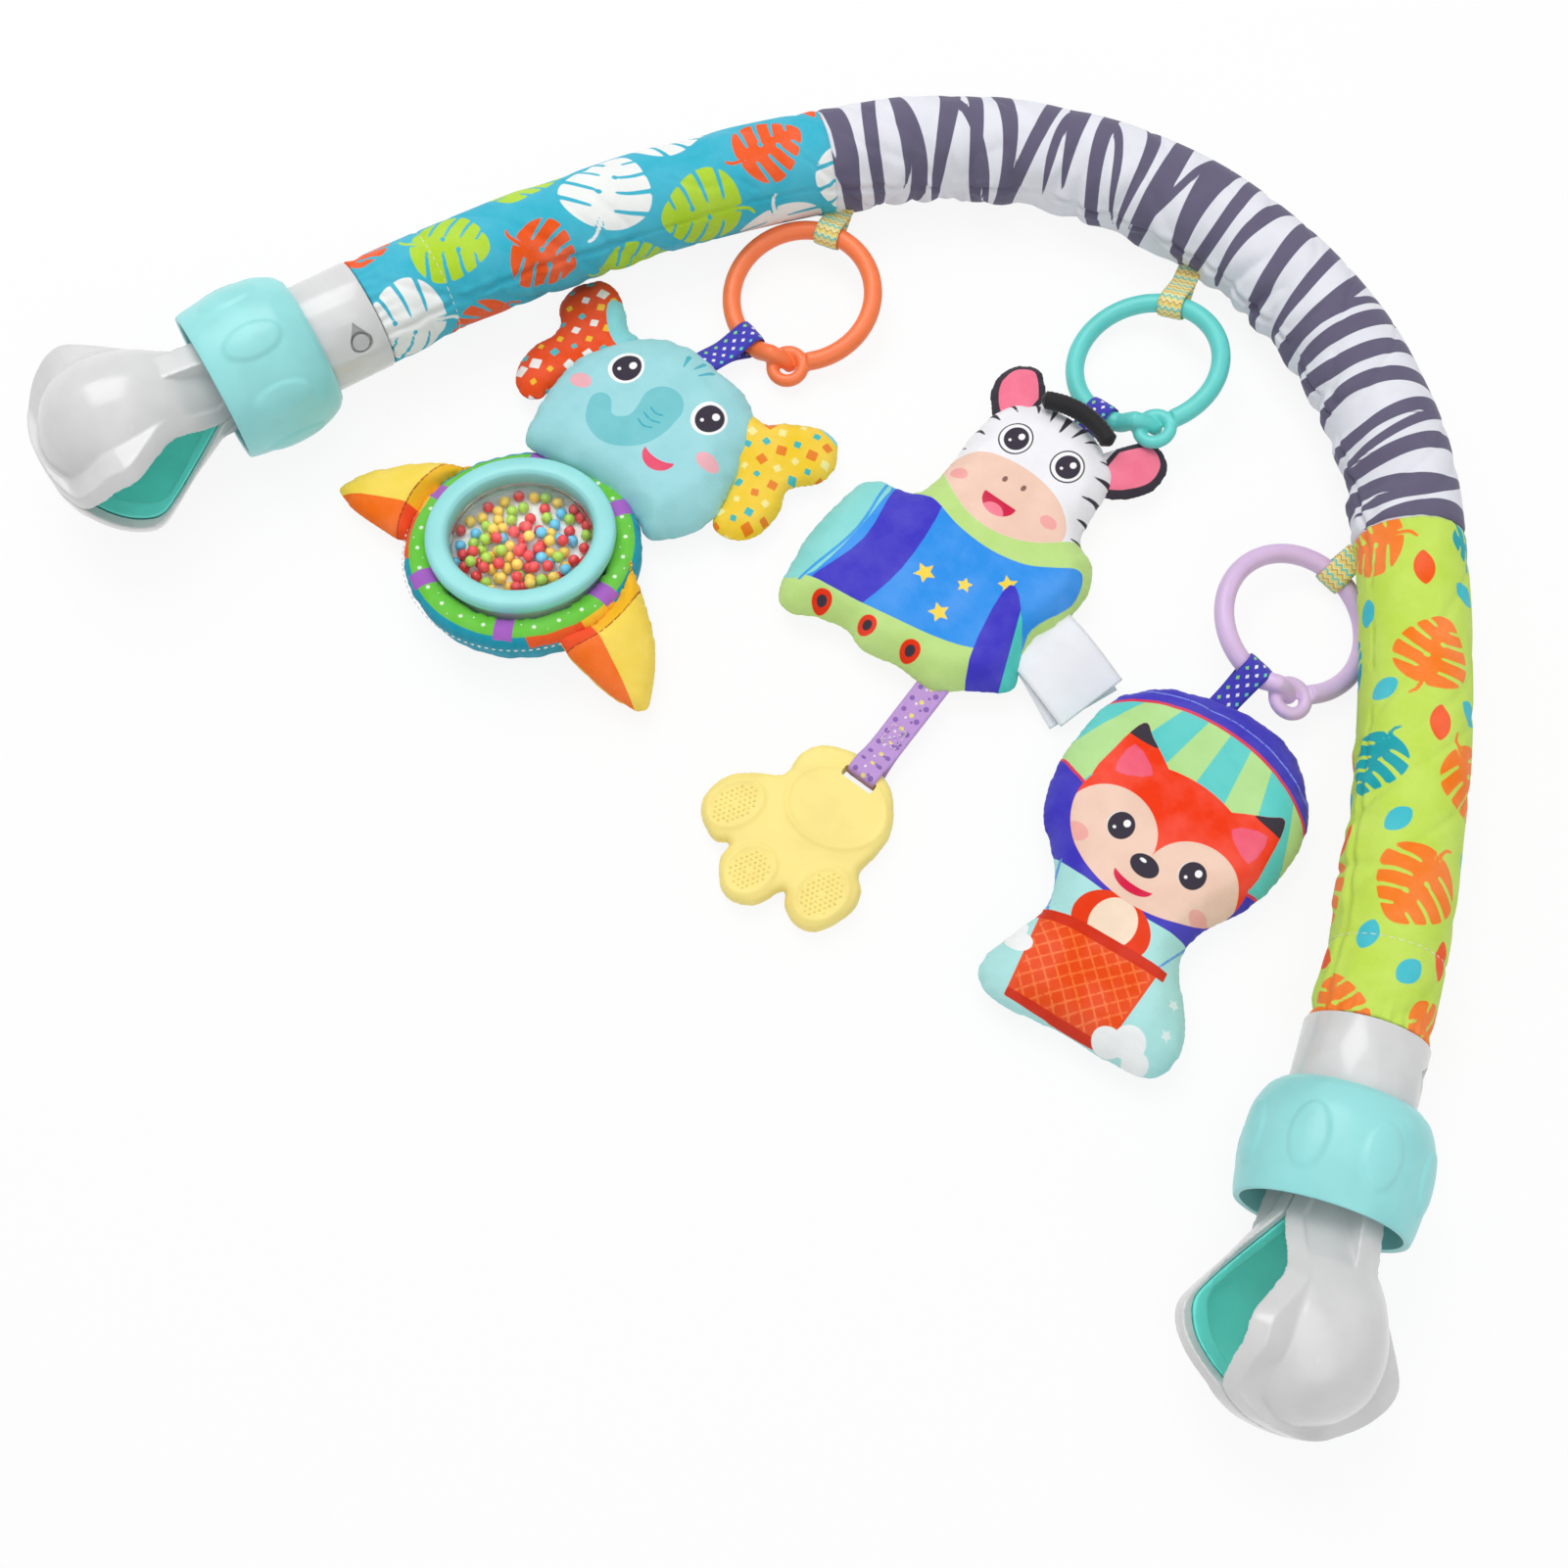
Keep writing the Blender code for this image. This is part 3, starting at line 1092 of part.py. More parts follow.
def build_fox():
    bar, top = toy_frame("fox", FOX_SEAM)
    hinge = add_frame("fox_frame", Matrix.Translation(bar))
    middle = top + Vector((FOX_SIDE_OFFSET, -FOX_HEIGHT / 2, 0))
    edge = smoothed(sized(fox_shares, FOX_WIDTH, FOX_HEIGHT, middle))
    fox = cushion(edge, FOX_RISE, FOX_SEAM - FLOOR_GAP, CUSHION_SHOULDER, flat_seam(FOX_SEAM))
    add_part("fox_cushion", moved(fox, shift(*-bar)), FOX_PRINT, hinge)
    toy_ribbon("fox", top, edge, hinge)


clear_scene()
PARTS = bpy.data.collections.new("stroller_arch_toy")
bpy.context.scene.collection.children.link(PARTS)

TEAL_FABRIC = principled("teal_fabric", (0.07, 0.47, 0.60), 0.85)
ZEBRA_FABRIC = principled("zebra_fabric", (0.70, 0.70, 0.76), 0.85)
LIME_FABRIC = principled("lime_fabric", (0.50, 0.70, 0.08), 0.85)
FOAM = principled("foam", (0.86, 0.84, 0.74), 0.95)
CORE_PLASTIC = principled("core_plastic", (0.20, 0.20, 0.21), 0.5)
GREY_PLASTIC = principled("grey_plastic", (0.68, 0.69, 0.70), 0.25)
AQUA_PLASTIC = principled("aqua_plastic", (0.30, 0.76, 0.76), 0.3)
TEAL_RUBBER = principled("teal_rubber", (0.06, 0.55, 0.50), 0.5)
STEEL = principled("steel", (0.60, 0.60, 0.62), 0.35)
ORANGE_PLASTIC = principled("orange_plastic", (0.95, 0.30, 0.08), 0.35)
LILAC_PLASTIC = principled("lilac_plastic", (0.66, 0.50, 0.74), 0.35)
ZIGZAG_RIBBON = principled("zigzag_ribbon", (0.80, 0.68, 0.20), 0.8)
BLUE_RIBBON = principled("blue_ribbon", (0.08, 0.08, 0.55), 0.7)
PURPLE_RIBBON = principled("purple_ribbon", (0.45, 0.30, 0.62), 0.7)
ELEPHANT_FABRIC = principled("elephant_fabric", (0.30, 0.68, 0.70), 0.85)
EAR_FABRIC = principled("ear_fabric", (0.90, 0.45, 0.12), 0.85)
STAR_FABRIC = principled("star_fabric", (0.30, 0.62, 0.22), 0.85)
WING_FABRIC = principled("wing_fabric", (0.95, 0.50, 0.08), 0.85)
WHITE_PLASTIC = principled("white_plastic", (0.80, 0.80, 0.80), 0.4)
BEAD_PLASTIC = principled("bead_plastic", (0.85, 0.30, 0.20), 0.35)
CLEAR_PLASTIC = principled("clear_plastic", (0.95, 0.97, 0.98), 0.05, 1.0)
ZEBRA_PRINT = principled("zebra_print", (0.35, 0.50, 0.80), 0.85)
ZEBRA_EAR_FABRIC = principled("zebra_ear_fabric", (0.85, 0.25, 0.35), 0.85)
BLACK_FABRIC = principled("black_fabric", (0.02, 0.02, 0.02), 0.8)
LABEL_FABRIC = principled("label_fabric", (0.85, 0.85, 0.85), 0.6)
TEETHER_RUBBER = principled("teether_rubber", (0.90, 0.76, 0.30), 0.5)
FOX_PRINT = principled("fox_print", (0.80, 0.30, 0.15), 0.85)

FOAM_RADIUS = (SLEEVE_RADIUS - SLEEVE_WALL) * math.cos(math.pi / SLEEVE_SIDES) - 2 * GAP

# The arch rests on its crown and on the two lock rings, which are fatter, so its plane leans. The jaws' tips and
# the crown bound the toy, and the origin is midway between them
LOCK_RUN = BEND_RUN + LEG_LENGTH + LOCK_START + LOCK_LENGTH / 2
LOCK_BELOW_MIDDLE = -(arch_point(LOCK_RUN)[0].y + arch_point(-LOCK_RUN)[0].y) / 2
LEAN = math.asin((LOCK_RADIUS - SLEEVE_RADIUS) / (ARCH_RADIUS + LOCK_BELOW_MIDDLE))
TIP_RUN = BEND_RUN + LEG_LENGTH + JAW_START + JAW_LENGTH - JAW_RADIUS
LEFT_TIP, RIGHT_TIP = arch_point(-TIP_RUN)[0], arch_point(TIP_RUN)[0]
CROWN = ARCH_RADIUS + SLEEVE_RADIUS
FOOT = min(LEFT_TIP.y, RIGHT_TIP.y) - JAW_RADIUS
ARCH_MIDDLE = Vector((-(LEFT_TIP.x + RIGHT_TIP.x) / 2, -(CROWN + FOOT) / 2, 0))
ARCH_MIDDLE.z = SLEEVE_RADIUS + ARCH_RADIUS * math.sin(LEAN) + FLOOR_GAP
ARCH_MATRIX = Matrix.Translation(ARCH_MIDDLE) @ Matrix.Rotation(-LEAN, 4, "X")

arch_frame = add_frame("arch_frame", ARCH_MATRIX)
build_crown(arch_frame)
build_arms(arch_frame)
build_rings(arch_frame)
build_elephant()
build_zebra()
build_fox()
bpy.context.view_layer.update()
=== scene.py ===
"""Stroller arch toy: printed sleeves, moulded clamps and rings, and stuffed, printed toys."""

import json
import math
import random

import bmesh
import bpy
import numpy as np
from mathutils import Matrix, Vector, noise
from mathutils.geometry import delaunay_2d_cdt


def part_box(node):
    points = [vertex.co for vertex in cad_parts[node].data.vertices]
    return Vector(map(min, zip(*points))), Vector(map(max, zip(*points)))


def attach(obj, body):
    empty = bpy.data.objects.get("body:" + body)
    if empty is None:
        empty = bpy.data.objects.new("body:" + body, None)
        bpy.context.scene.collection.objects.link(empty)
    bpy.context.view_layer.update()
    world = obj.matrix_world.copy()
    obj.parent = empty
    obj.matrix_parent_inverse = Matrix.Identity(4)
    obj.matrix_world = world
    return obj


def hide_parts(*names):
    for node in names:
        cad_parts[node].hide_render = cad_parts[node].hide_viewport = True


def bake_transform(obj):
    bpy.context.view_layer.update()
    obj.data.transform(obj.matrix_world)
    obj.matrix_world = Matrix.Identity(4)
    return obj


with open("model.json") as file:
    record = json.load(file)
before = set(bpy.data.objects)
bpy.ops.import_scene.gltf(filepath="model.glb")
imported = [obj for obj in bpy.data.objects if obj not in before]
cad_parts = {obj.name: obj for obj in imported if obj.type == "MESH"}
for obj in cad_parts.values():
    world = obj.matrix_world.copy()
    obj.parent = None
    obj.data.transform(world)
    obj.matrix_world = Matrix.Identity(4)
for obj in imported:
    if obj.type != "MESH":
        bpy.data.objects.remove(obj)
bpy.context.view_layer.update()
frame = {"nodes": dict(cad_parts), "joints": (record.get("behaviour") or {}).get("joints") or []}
JOINTS = {joint["name"]: joint for joint in frame["joints"]}
MM = 0.001

# The arch's centreline, as the frame has it
ARCH_RADIUS = 0.1664
SHOULDER_RADIUS = 0.620
ARC_ANGLES = {-1: 49.5, 1: 53.0}
LEG_ANGLES = {-1: 20.9, 1: 17.6}
ARCH_MIDDLE = Vector((0.007043, 0.013893, 0.027205))
ARCH_LEAN = 2.1714
FOOT_RUN = 0.361
BEND_RUN = 0.234
SEAM_RUN = 0.165
SLEEVE_RADIUS = 0.0206


# Mesh helpers


def mesh_object(name, mesh, material=None, smooth=True):
    obj = bpy.data.objects.new(name, mesh)
    bpy.context.scene.collection.objects.link(obj)
    mesh.name = name
    if material:
        mesh.materials.clear()
        mesh.materials.append(material)
    if smooth:
        mesh.shade_smooth()
    return obj


def mesh_from(points, faces):
    mesh = bpy.data.meshes.new("piece")
    mesh.from_pydata([tuple(p) for p in points], [], faces)
    mesh.update()
    return mesh


def outward(mesh):
    """The mesh with its faces turned outwards."""
    shape = bmesh.new()
    shape.from_mesh(mesh)
    bmesh.ops.recalc_face_normals(shape, faces=shape.faces)
    shape.to_mesh(mesh)
    shape.free()
    return mesh


def prism(points):
    """A closed solid between two like outlines, the first and the second half of the points."""
    count = len(points) // 2
    faces = [tuple(range(count)), tuple(range(2 * count - 1, count - 1, -1))]
    faces += [(i, count + i, count + (i + 1) % count, (i + 1) % count) for i in range(count)]
    return outward(mesh_from(points, faces))


def evaluated(obj):
    """The object's mesh with its modifiers applied; the object is removed."""
    if not obj.users_collection:
        bpy.context.scene.collection.objects.link(obj)
    bpy.context.view_layer.update()
    graph = bpy.context.evaluated_depsgraph_get()
    mesh = bpy.data.meshes.new_from_object(obj.evaluated_get(graph))
    bpy.data.objects.remove(obj, do_unlink=True)
    return mesh


def with_modifiers(mesh, *modifiers):
    """The mesh after (type, settings) modifiers."""
    obj = bpy.data.objects.new("work", mesh)
    for kind, settings in modifiers:
        modifier = obj.modifiers.new(kind, kind)
        for key, value in settings.items():
            setattr(modifier, key, value)
    return evaluated(obj)


def boolean(mesh, operation, *tools):
    for tool in tools:
        other = bpy.data.objects.new("tool", tool)
        bpy.context.scene.collection.objects.link(other)
        mesh = with_modifiers(mesh, ("BOOLEAN", {"operation": operation, "solver": "EXACT", "object": other}))
        bpy.data.objects.remove(other, do_unlink=True)
    return mesh


def rounded(mesh, voxel, passes=6):
    """Voxel remeshed and smoothed, so that every edge is a moulded one."""
    return with_modifiers(
        mesh,
        ("REMESH", {"mode": "VOXEL", "voxel_size": voxel, "use_smooth_shade": True}),
        ("SMOOTH", {"factor": 0.5, "iterations": passes}),
    )


def bevelled(mesh, width, segments=3, angle=35):
    limit = {"limit_method": "ANGLE", "angle_limit": math.radians(angle)}
    return with_modifiers(mesh, ("BEVEL", {"width": width, "segments": segments, **limit}))


def moved(mesh, matrix):
    copy = mesh.copy()
    copy.transform(matrix)
    return copy


def merged(*meshes):
    """Several meshes as one, not welded."""
    shape = bmesh.new()
    for mesh in meshes:
        shape.from_mesh(mesh)
    result = bpy.data.meshes.new("merged")
    shape.to_mesh(result)
    shape.free()
    return result


def turned(profile, steps=96):
    """A closed profile of (radius, height) points turned about Z; points on the axis become one."""
    points = []
    rings = []
    for radius, height in profile:
        if radius < 1e-7:
            rings.append([len(points)] * steps)
            points.append((0, 0, height))
            continue
        rings.append(list(range(len(points), len(points) + steps)))
        for i in range(steps):
            turn = 2 * math.pi * i / steps
            points.append((radius * math.cos(turn), radius * math.sin(turn), height))
    faces = []
    closed = profile[0][0] >= 1e-7
    pairs = list(zip(rings, rings[1:])) + ([(rings[-1], rings[0])] if closed else [])
    for upper, lower in pairs:
        for i in range(steps):
            j = (i + 1) % steps
            face = []
            for corner in (upper[j], upper[i], lower[i], lower[j]):
                if corner not in face:
                    face.append(corner)
            if len(face) > 2:
                faces.append(tuple(face))
    return mesh_from(points, faces)


def torus(radius, band, steps=128, sides=24):
    angles = [2 * math.pi * i / sides for i in range(sides)]
    return turned([(radius + band * math.cos(a), -band * math.sin(a)) for a in angles], steps)


def spline(points, steps=8, closed=False):
    """A smooth curve through the points, as an array."""
    points = np.array(points, float)
    count = len(points)
    result = []
    last = count if closed else count - 1
    for i in range(last):
        near = range(i - 1, i + 3)
        p = [points[k % count if closed else min(max(k, 0), count - 1)] for k in near]
        for step in range(steps):
            t = step / steps
            result.append(
                p[1]
                + 0.5 * t * (p[2] - p[0])
                + t * t * (p[0] - 2.5 * p[1] + 2 * p[2] - 0.5 * p[3])
                + t**3 * (1.5 * (p[1] - p[2]) + 0.5 * (p[3] - p[0]))
            )
    if not closed:
        result.append(points[-1])
    return np.array(result)


def frame_matrix(place, x_axis, y_axis, z_axis):
    turn = Matrix((x_axis, y_axis, z_axis)).transposed().to_4x4()
    return Matrix.Translation(place) @ turn


def turn_about(axis, degrees):
    return Matrix.Rotation(math.radians(degrees), 4, axis)


def grid_quads(rows, columns, closed):
    faces = []
    for i in range(rows - 1):
        for j in range(columns if closed else columns - 1):
            k = (j + 1) % columns
            faces.append((i * columns + j, i * columns + k, (i + 1) * columns + k, (i + 1) * columns + j))
    return faces


def store(mesh, name, values):
    """Keeps one number for each point, which a material reads."""
    attribute = mesh.attributes.new(name, "FLOAT", "POINT")
    attribute.data.foreach_set("value", np.asarray(values, np.float32))


def coordinates(mesh):
    points = np.empty(len(mesh.vertices) * 3, np.float32)
    mesh.vertices.foreach_get("co", points)
    return points.reshape(-1, 3).astype(float)


def set_coordinates(mesh, points):
    mesh.vertices.foreach_set("co", np.asarray(points, np.float32).ravel())
    mesh.update()


# Drawing with distances, in millimetres


def outline_distance(points, outline):
    """Signed distance from each point to a closed outline, negative inside."""
    outline = np.asarray(outline, float)
    low, high = outline.min(0) - 3, outline.max(0) + 3
    result = np.full(len(points), 9.0)
    near = np.where(((points > low) & (points < high)).all(1))[0]
    if not len(near):
        return result
    spots = points[near]
    best = np.full(len(near), 1e9)
    inside = np.zeros(len(near), bool)
    for start, end in zip(outline, np.roll(outline, -1, 0)):
        along = end - start
        share = np.clip(((spots - start) @ along) / max(along @ along, 1e-12), 0, 1)
        best = np.minimum(best, np.hypot(*(spots - start - share[:, None] * along).T))
        if start[1] != end[1]:
            crosses = (start[1] > spots[:, 1]) != (end[1] > spots[:, 1])
            at = start[0] + (spots[:, 1] - start[1]) * along[0] / along[1]
            inside ^= crosses & (at > spots[:, 0])
    result[near] = np.where(inside, -best, best)
    return result


def local(points, middle, degrees):
    turn = math.radians(degrees)
    x, y = (points - np.array(middle, float)).T
    return np.stack([x * math.cos(turn) + y * math.sin(turn), y * math.cos(turn) - x * math.sin(turn)], 1)


def oval(points, middle, half_width, half_height, degrees=0):
    spots = local(points, middle, degrees)
    reach = np.hypot(spots[:, 0] / half_width, spots[:, 1] / half_height)
    slope = np.hypot(spots[:, 0] / half_width**2, spots[:, 1] / half_height**2) + 1e-9
    return reach * (reach - 1) / slope


def stroke(points, route, half_width, taper=None):
    """Distance to a line of some width along a route; taper is its half width at the end."""
    result = np.full(len(points), 99.0)
    route = np.asarray(route, float)
    count = len(route) - 1
    for i, (start, end) in enumerate(zip(route, route[1:])):
        along = end - start
        share = np.clip(((points - start) @ along) / max(along @ along, 1e-12), 0, 1)
        width = half_width if taper is None else half_width + (taper - half_width) * (i + share) / count
        result = np.minimum(result, np.hypot(*(points - start - share[:, None] * along).T) - width)
    return result


def polygon(points, corners, smooth=0):
    return outline_distance(points, spline(corners, smooth, True) if smooth else corners)


def split_leaf(points, middle, degrees, length, width, slits=4):
    """A broad heart-shaped leaf: curved slits from its edge, two holes by the midrib and a short stem."""
    spots = local(points, middle, degrees)
    near = (np.abs(spots[:, 0]) < length) & (np.abs(spots[:, 1]) < width)
    result = np.full(len(points), 9.0)
    spots = spots[near]
    far, half = length / 2, width / 2
    taper = np.clip(1.12 - 0.34 * spots[:, 0] / far - 0.16 * (spots[:, 0] / far) ** 2, 0.4, 1.5)
    body = oval(np.stack([spots[:, 0], spots[:, 1] / taper], 1), (0, 0), far, half)
    gaps = oval(spots, (-far * 1.04, 0), far * 0.34, half * 0.11)
    for i in range(slits):
        root = far * (-0.62 + 0.40 * i)
        reach = 1.25 - 0.10 * i
        for side in (-1, 1):
            route = [
                (root + far * 0.06, side * half * (0.30 - 0.03 * i)),
                (root + far * (0.10 + 0.05 * i), side * half * 0.66),
                (root + far * (0.20 + 0.12 * i), side * half * reach),
            ]
            gaps = np.minimum(gaps, stroke(spots, spline(route, 3), 0.55, 1.0))
    for along, away in ((-0.20, 0.16), (0.22, -0.15)):
        gaps = np.minimum(gaps, oval(spots, (far * along, half * away), 1.0, 1.3))
    route = spline([(-far * 0.55, 0), (-far * 1.12, 0.4), (-far * 1.32, half * 0.20)], 4)
    stem = stroke(spots, route, 0.85, 0.6)
    result[near] = np.minimum(np.maximum(body, -gaps), stem)
    return result


def small_leaf(points, middle, degrees, length, width):
    """A pointed oval leaf."""
    x, y = local(points, middle, degrees).T
    half_length, half_width = length / 2, width / 2
    radius = (half_length**2 + half_width**2) / (2 * half_width)
    return np.hypot(x, np.abs(y) + radius - half_width) - radius


# Materials


def feed(tree, made, inputs):
    """Links or types each of the inputs on a node."""
    for key, value in inputs.items():
        if isinstance(value, bpy.types.NodeSocket):
            tree.links.new(value, made.inputs[key])
        else:
            made.inputs[key].default_value = value
    return made


def node(tree, kind, inputs=None, **settings):
    made = tree.nodes.new(kind)
    for key, value in settings.items():
        setattr(made, key, value)
    return feed(tree, made, inputs or {})


def linear(code):
    """A colour from its hexadecimal code."""
    parts = [int(code[i : i + 2], 16) / 255 for i in (0, 2, 4)]
    return tuple(c / 12.92 if c <= 0.04045 else ((c + 0.055) / 1.055) ** 2.4 for c in parts) + (1.0,)


def math_node(tree, operation, *values, clamp=False):
    made = node(tree, "ShaderNodeMath", dict(enumerate(values)), operation=operation, use_clamp=clamp)
    return made.outputs[0]


def mixed(tree, factor, first, second):
    return node(tree, "ShaderNodeMix", {0: factor, 6: first, 7: second}, data_type="RGBA").outputs[2]


def faded(tree, value, low, high, ends=(1.0, 0.0)):
    """The first of the ends up to low, the second from high on, and a slope between them."""
    return node(tree, "ShaderNodeMapRange", {0: value, 1: low, 2: high, 3: ends[0], 4: ends[1]}).outputs[0]


def bumped(tree, height, strength, distance):
    relief = {"Height": height, "Strength": strength, "Distance": distance}
    return node(tree, "ShaderNodeBump", relief).outputs[0]


def stored(tree, name):
    """What the mesh keeps for each point under this name."""
    return node(tree, "ShaderNodeAttribute", attribute_name=name).outputs["Fac"]


def group(name, inputs, outputs):
    """A shared effect: a node group with (name, default) inputs and named outputs, all of them numbers."""
    tree = bpy.data.node_groups.new(name, "ShaderNodeTree")
    for label, default in inputs:
        socket = tree.interface.new_socket(label, in_out="INPUT", socket_type="NodeSocketFloat")
        socket.default_value = default
    for label in outputs:
        tree.interface.new_socket(label, in_out="OUTPUT", socket_type="NodeSocketFloat")
    return tree, tree.nodes.new("NodeGroupInput"), tree.nodes.new("NodeGroupOutput")


def make_weave():
    """Fine crossed threads over soft creases. Height is for bump; Shade is the creases' height, which darkens
    the colour in their hollows as painted shade.
    """
    tree, inside, outside = group("weave", [("Threads", 1500.0), ("Creases", 70.0)], ("Height", "Shade"))
    place = node(tree, "ShaderNodeTexCoord").outputs["Object"]
    fine = {0: place, "Scale": inside.outputs["Threads"]}
    scaled = node(tree, "ShaderNodeVectorMath", fine, operation="SCALE")
    x, y, z = node(tree, "ShaderNodeSeparateXYZ", {0: scaled.outputs[0]}).outputs
    across = math_node(tree, "SINE", math_node(tree, "MULTIPLY", x, math.pi))
    along = math_node(tree, "SINE", math_node(tree, "MULTIPLY", math_node(tree, "ADD", y, z), math.pi))
    threads = math_node(tree, "MULTIPLY", math_node(tree, "MULTIPLY", across, along), 0.12)
    soft = {"Vector": place, "Scale": inside.outputs["Creases"], "Detail": 3.0, "Roughness": 0.55}
    creases = node(tree, "ShaderNodeTexNoise", soft).outputs["Fac"]
    feed(tree, outside, {"Height": math_node(tree, "ADD", threads, creases), "Shade": creases})
    return tree


def make_moulding():
    """Faint flow marks on moulded plastic. Height is for bump, Rough is added to the roughness."""
    tree, inside, outside = group("moulding", [("Scale", 60.0)], ("Height", "Rough"))
    place = node(tree, "ShaderNodeTexCoord").outputs["Object"]
    flow = {"Vector": place, "Scale": inside.outputs["Scale"], "Detail": 2.0}
    broad = node(tree, "ShaderNodeTexNoise", flow).outputs["Fac"]
    fine = node(tree, "ShaderNodeTexNoise", {"Vector": place, "Scale": 1800.0, "Detail": 1.0}).outputs["Fac"]
    height = math_node(tree, "ADD", broad, math_node(tree, "MULTIPLY", fine, 0.06))
    rough = math_node(tree, "SUBTRACT", math_node(tree, "MULTIPLY", broad, 0.16), 0.08)
    feed(tree, outside, {"Height": height, "Rough": rough})
    return tree


WEAVE = make_weave()
MOULDING = make_moulding()


def new_material(name):
    material = bpy.data.materials.new(name)
    material.use_nodes = True
    tree = material.node_tree
    tree.nodes.clear()
    shader = tree.nodes.new("ShaderNodeBsdfPrincipled")
    output = tree.nodes.new("ShaderNodeOutputMaterial")
    tree.links.new(shader.outputs[0], output.inputs["Surface"])
    return material, tree, shader


def mask_of(tree, attribute, soft=0.3):
    """1 where the stored distance is negative, with a soft edge of that many millimetres."""
    return faded(tree, stored(tree, attribute), -soft / 2, soft / 2)


def fabric(name, base, layers=(), threads=1500.0, bump=0.35, creases=70.0, tone=0.06, sheen=0.15, rough=0.85):
    """Printed cloth: layers of (attribute, colour) over a base colour, with threads and creases, and painted
    shade in the creases' hollows whose strength tone sets.
    """
    material, tree, shader = new_material(name)
    weave = node(tree, "ShaderNodeGroup", {"Threads": threads, "Creases": creases}, node_tree=WEAVE)
    colour = mixed(tree, 0.0, linear(base), linear(base))
    for attribute, code in layers:
        colour = mixed(tree, mask_of(tree, attribute), colour, linear(code))
    # Painted shade: the colour, darker by tone, where the creases' bump is low
    painted_crease_shade = node(tree, "ShaderNodeHueSaturation", {"Color": colour, "Value": 1 - tone, "Saturation": 1.06})
    shade = faded(tree, weave.outputs["Shade"], 0.35, 0.65)
    looks = {
        "Base Color": mixed(tree, shade, colour, painted_crease_shade.outputs[0]),
        "Normal": bumped(tree, weave.outputs["Height"], bump, 0.0006),
        "Roughness": rough,
        "Sheen Weight": sheen,
        "Sheen Roughness": 0.4,
        "Specular IOR Level": 0.3,
    }
    feed(tree, shader, looks)
    return material


def plastic(name, code, rough=0.28, bump=0.05, subsurface=0.0, coat=0.0, metal=0.0):
    """Moulded plastic, or plain metal, with faint flow marks."""
    material, tree, shader = new_material(name)
    moulding = node(tree, "ShaderNodeGroup", {"Scale": 60.0}, node_tree=MOULDING)
    base = linear(code)
    paler = tuple(min(1, c * 1.05 + 0.01) for c in base[:3]) + (1.0,)
    shade = faded(tree, moulding.outputs["Height"], 0.4, 0.6, (0.0, 1.0))
    looks = {
        "Base Color": mixed(tree, shade, base, paler),
        "Roughness": math_node(tree, "ADD", moulding.outputs["Rough"], rough, clamp=True),
        "Normal": bumped(tree, moulding.outputs["Height"], bump, 0.0005),
        "Subsurface Weight": subsurface,
        "Subsurface Radius": (0.004, 0.003, 0.003),
        "Coat Weight": coat,
        "Coat Roughness": 0.12,
        "Metallic": metal,
    }
    feed(tree, shader, looks)
    return material


GREY = plastic("grey_plastic", "D3D3D3", 0.24, coat=0.45)
AQUA = plastic("aqua_plastic", "93DCDC", 0.34, subsurface=0.15)
AQUA_BAND = plastic("aqua_band", "5FCFC9", 0.36, subsurface=0.1)
ORANGE = plastic("orange_plastic", "FA7A40", 0.36, subsurface=0.1)
LILAC = plastic("lilac_plastic", "D8BBE2", 0.36, subsurface=0.1)
TEAL_RUBBER = plastic("teal_rubber", "6FE6DA", 0.45, bump=0.1)
STEEL = plastic("steel", "B4B4B4", 0.35, metal=1.0)
CORE = plastic("core_plastic", "3A3A3C", 0.5)


# The arch's sleeves


def arch_point(run):
    """The centreline's place in the arch's plane and the bearing it heads on."""
    side = -1 if run < 0 else 1
    left = abs(run)
    arc = math.radians(ARC_ANGLES[side])
    leg = math.radians(90 - LEG_ANGLES[side])
    x, y = 0.0, ARCH_RADIUS
    heading = math.radians(90)
    for radius, turn in ((ARCH_RADIUS, arc), (SHOULDER_RADIUS, leg - arc)):
        swept = min(left / radius, turn)
        for angle, sign in ((heading - math.pi / 2, -1), (heading + swept - math.pi / 2, 1)):
            x += sign * radius * math.sin(angle)
            y += sign * radius * math.cos(angle)
        heading += swept
        left -= swept * radius
    x += left * math.sin(heading)
    y += left * math.cos(heading)
    return side * x, y, side * heading


ARCH_MATRIX = Matrix.Translation(ARCH_MIDDLE) @ Matrix.Rotation(math.radians(-ARCH_LEAN), 4, "X")


def arch_frame(run):
    """The place on the centreline and the ways out, up and along it, in world space."""
    x, y, heading = arch_point(run)
    along = Vector((math.sin(heading), math.cos(heading), 0))
    up = Vector((0, 0, 1))
    out = along.cross(up)
    if out.dot(Vector((x, y, 0))) < 0:
        out.negate()
    turn = ARCH_MATRIX.to_3x3()
    return ARCH_MATRIX @ Vector((x, y, 0)), turn @ out, turn @ up, turn @ along


def fold_noise(u, v, seed, long, wide):
    return noise.noise(Vector((u / long + seed, v / wide, seed * 1.7)))


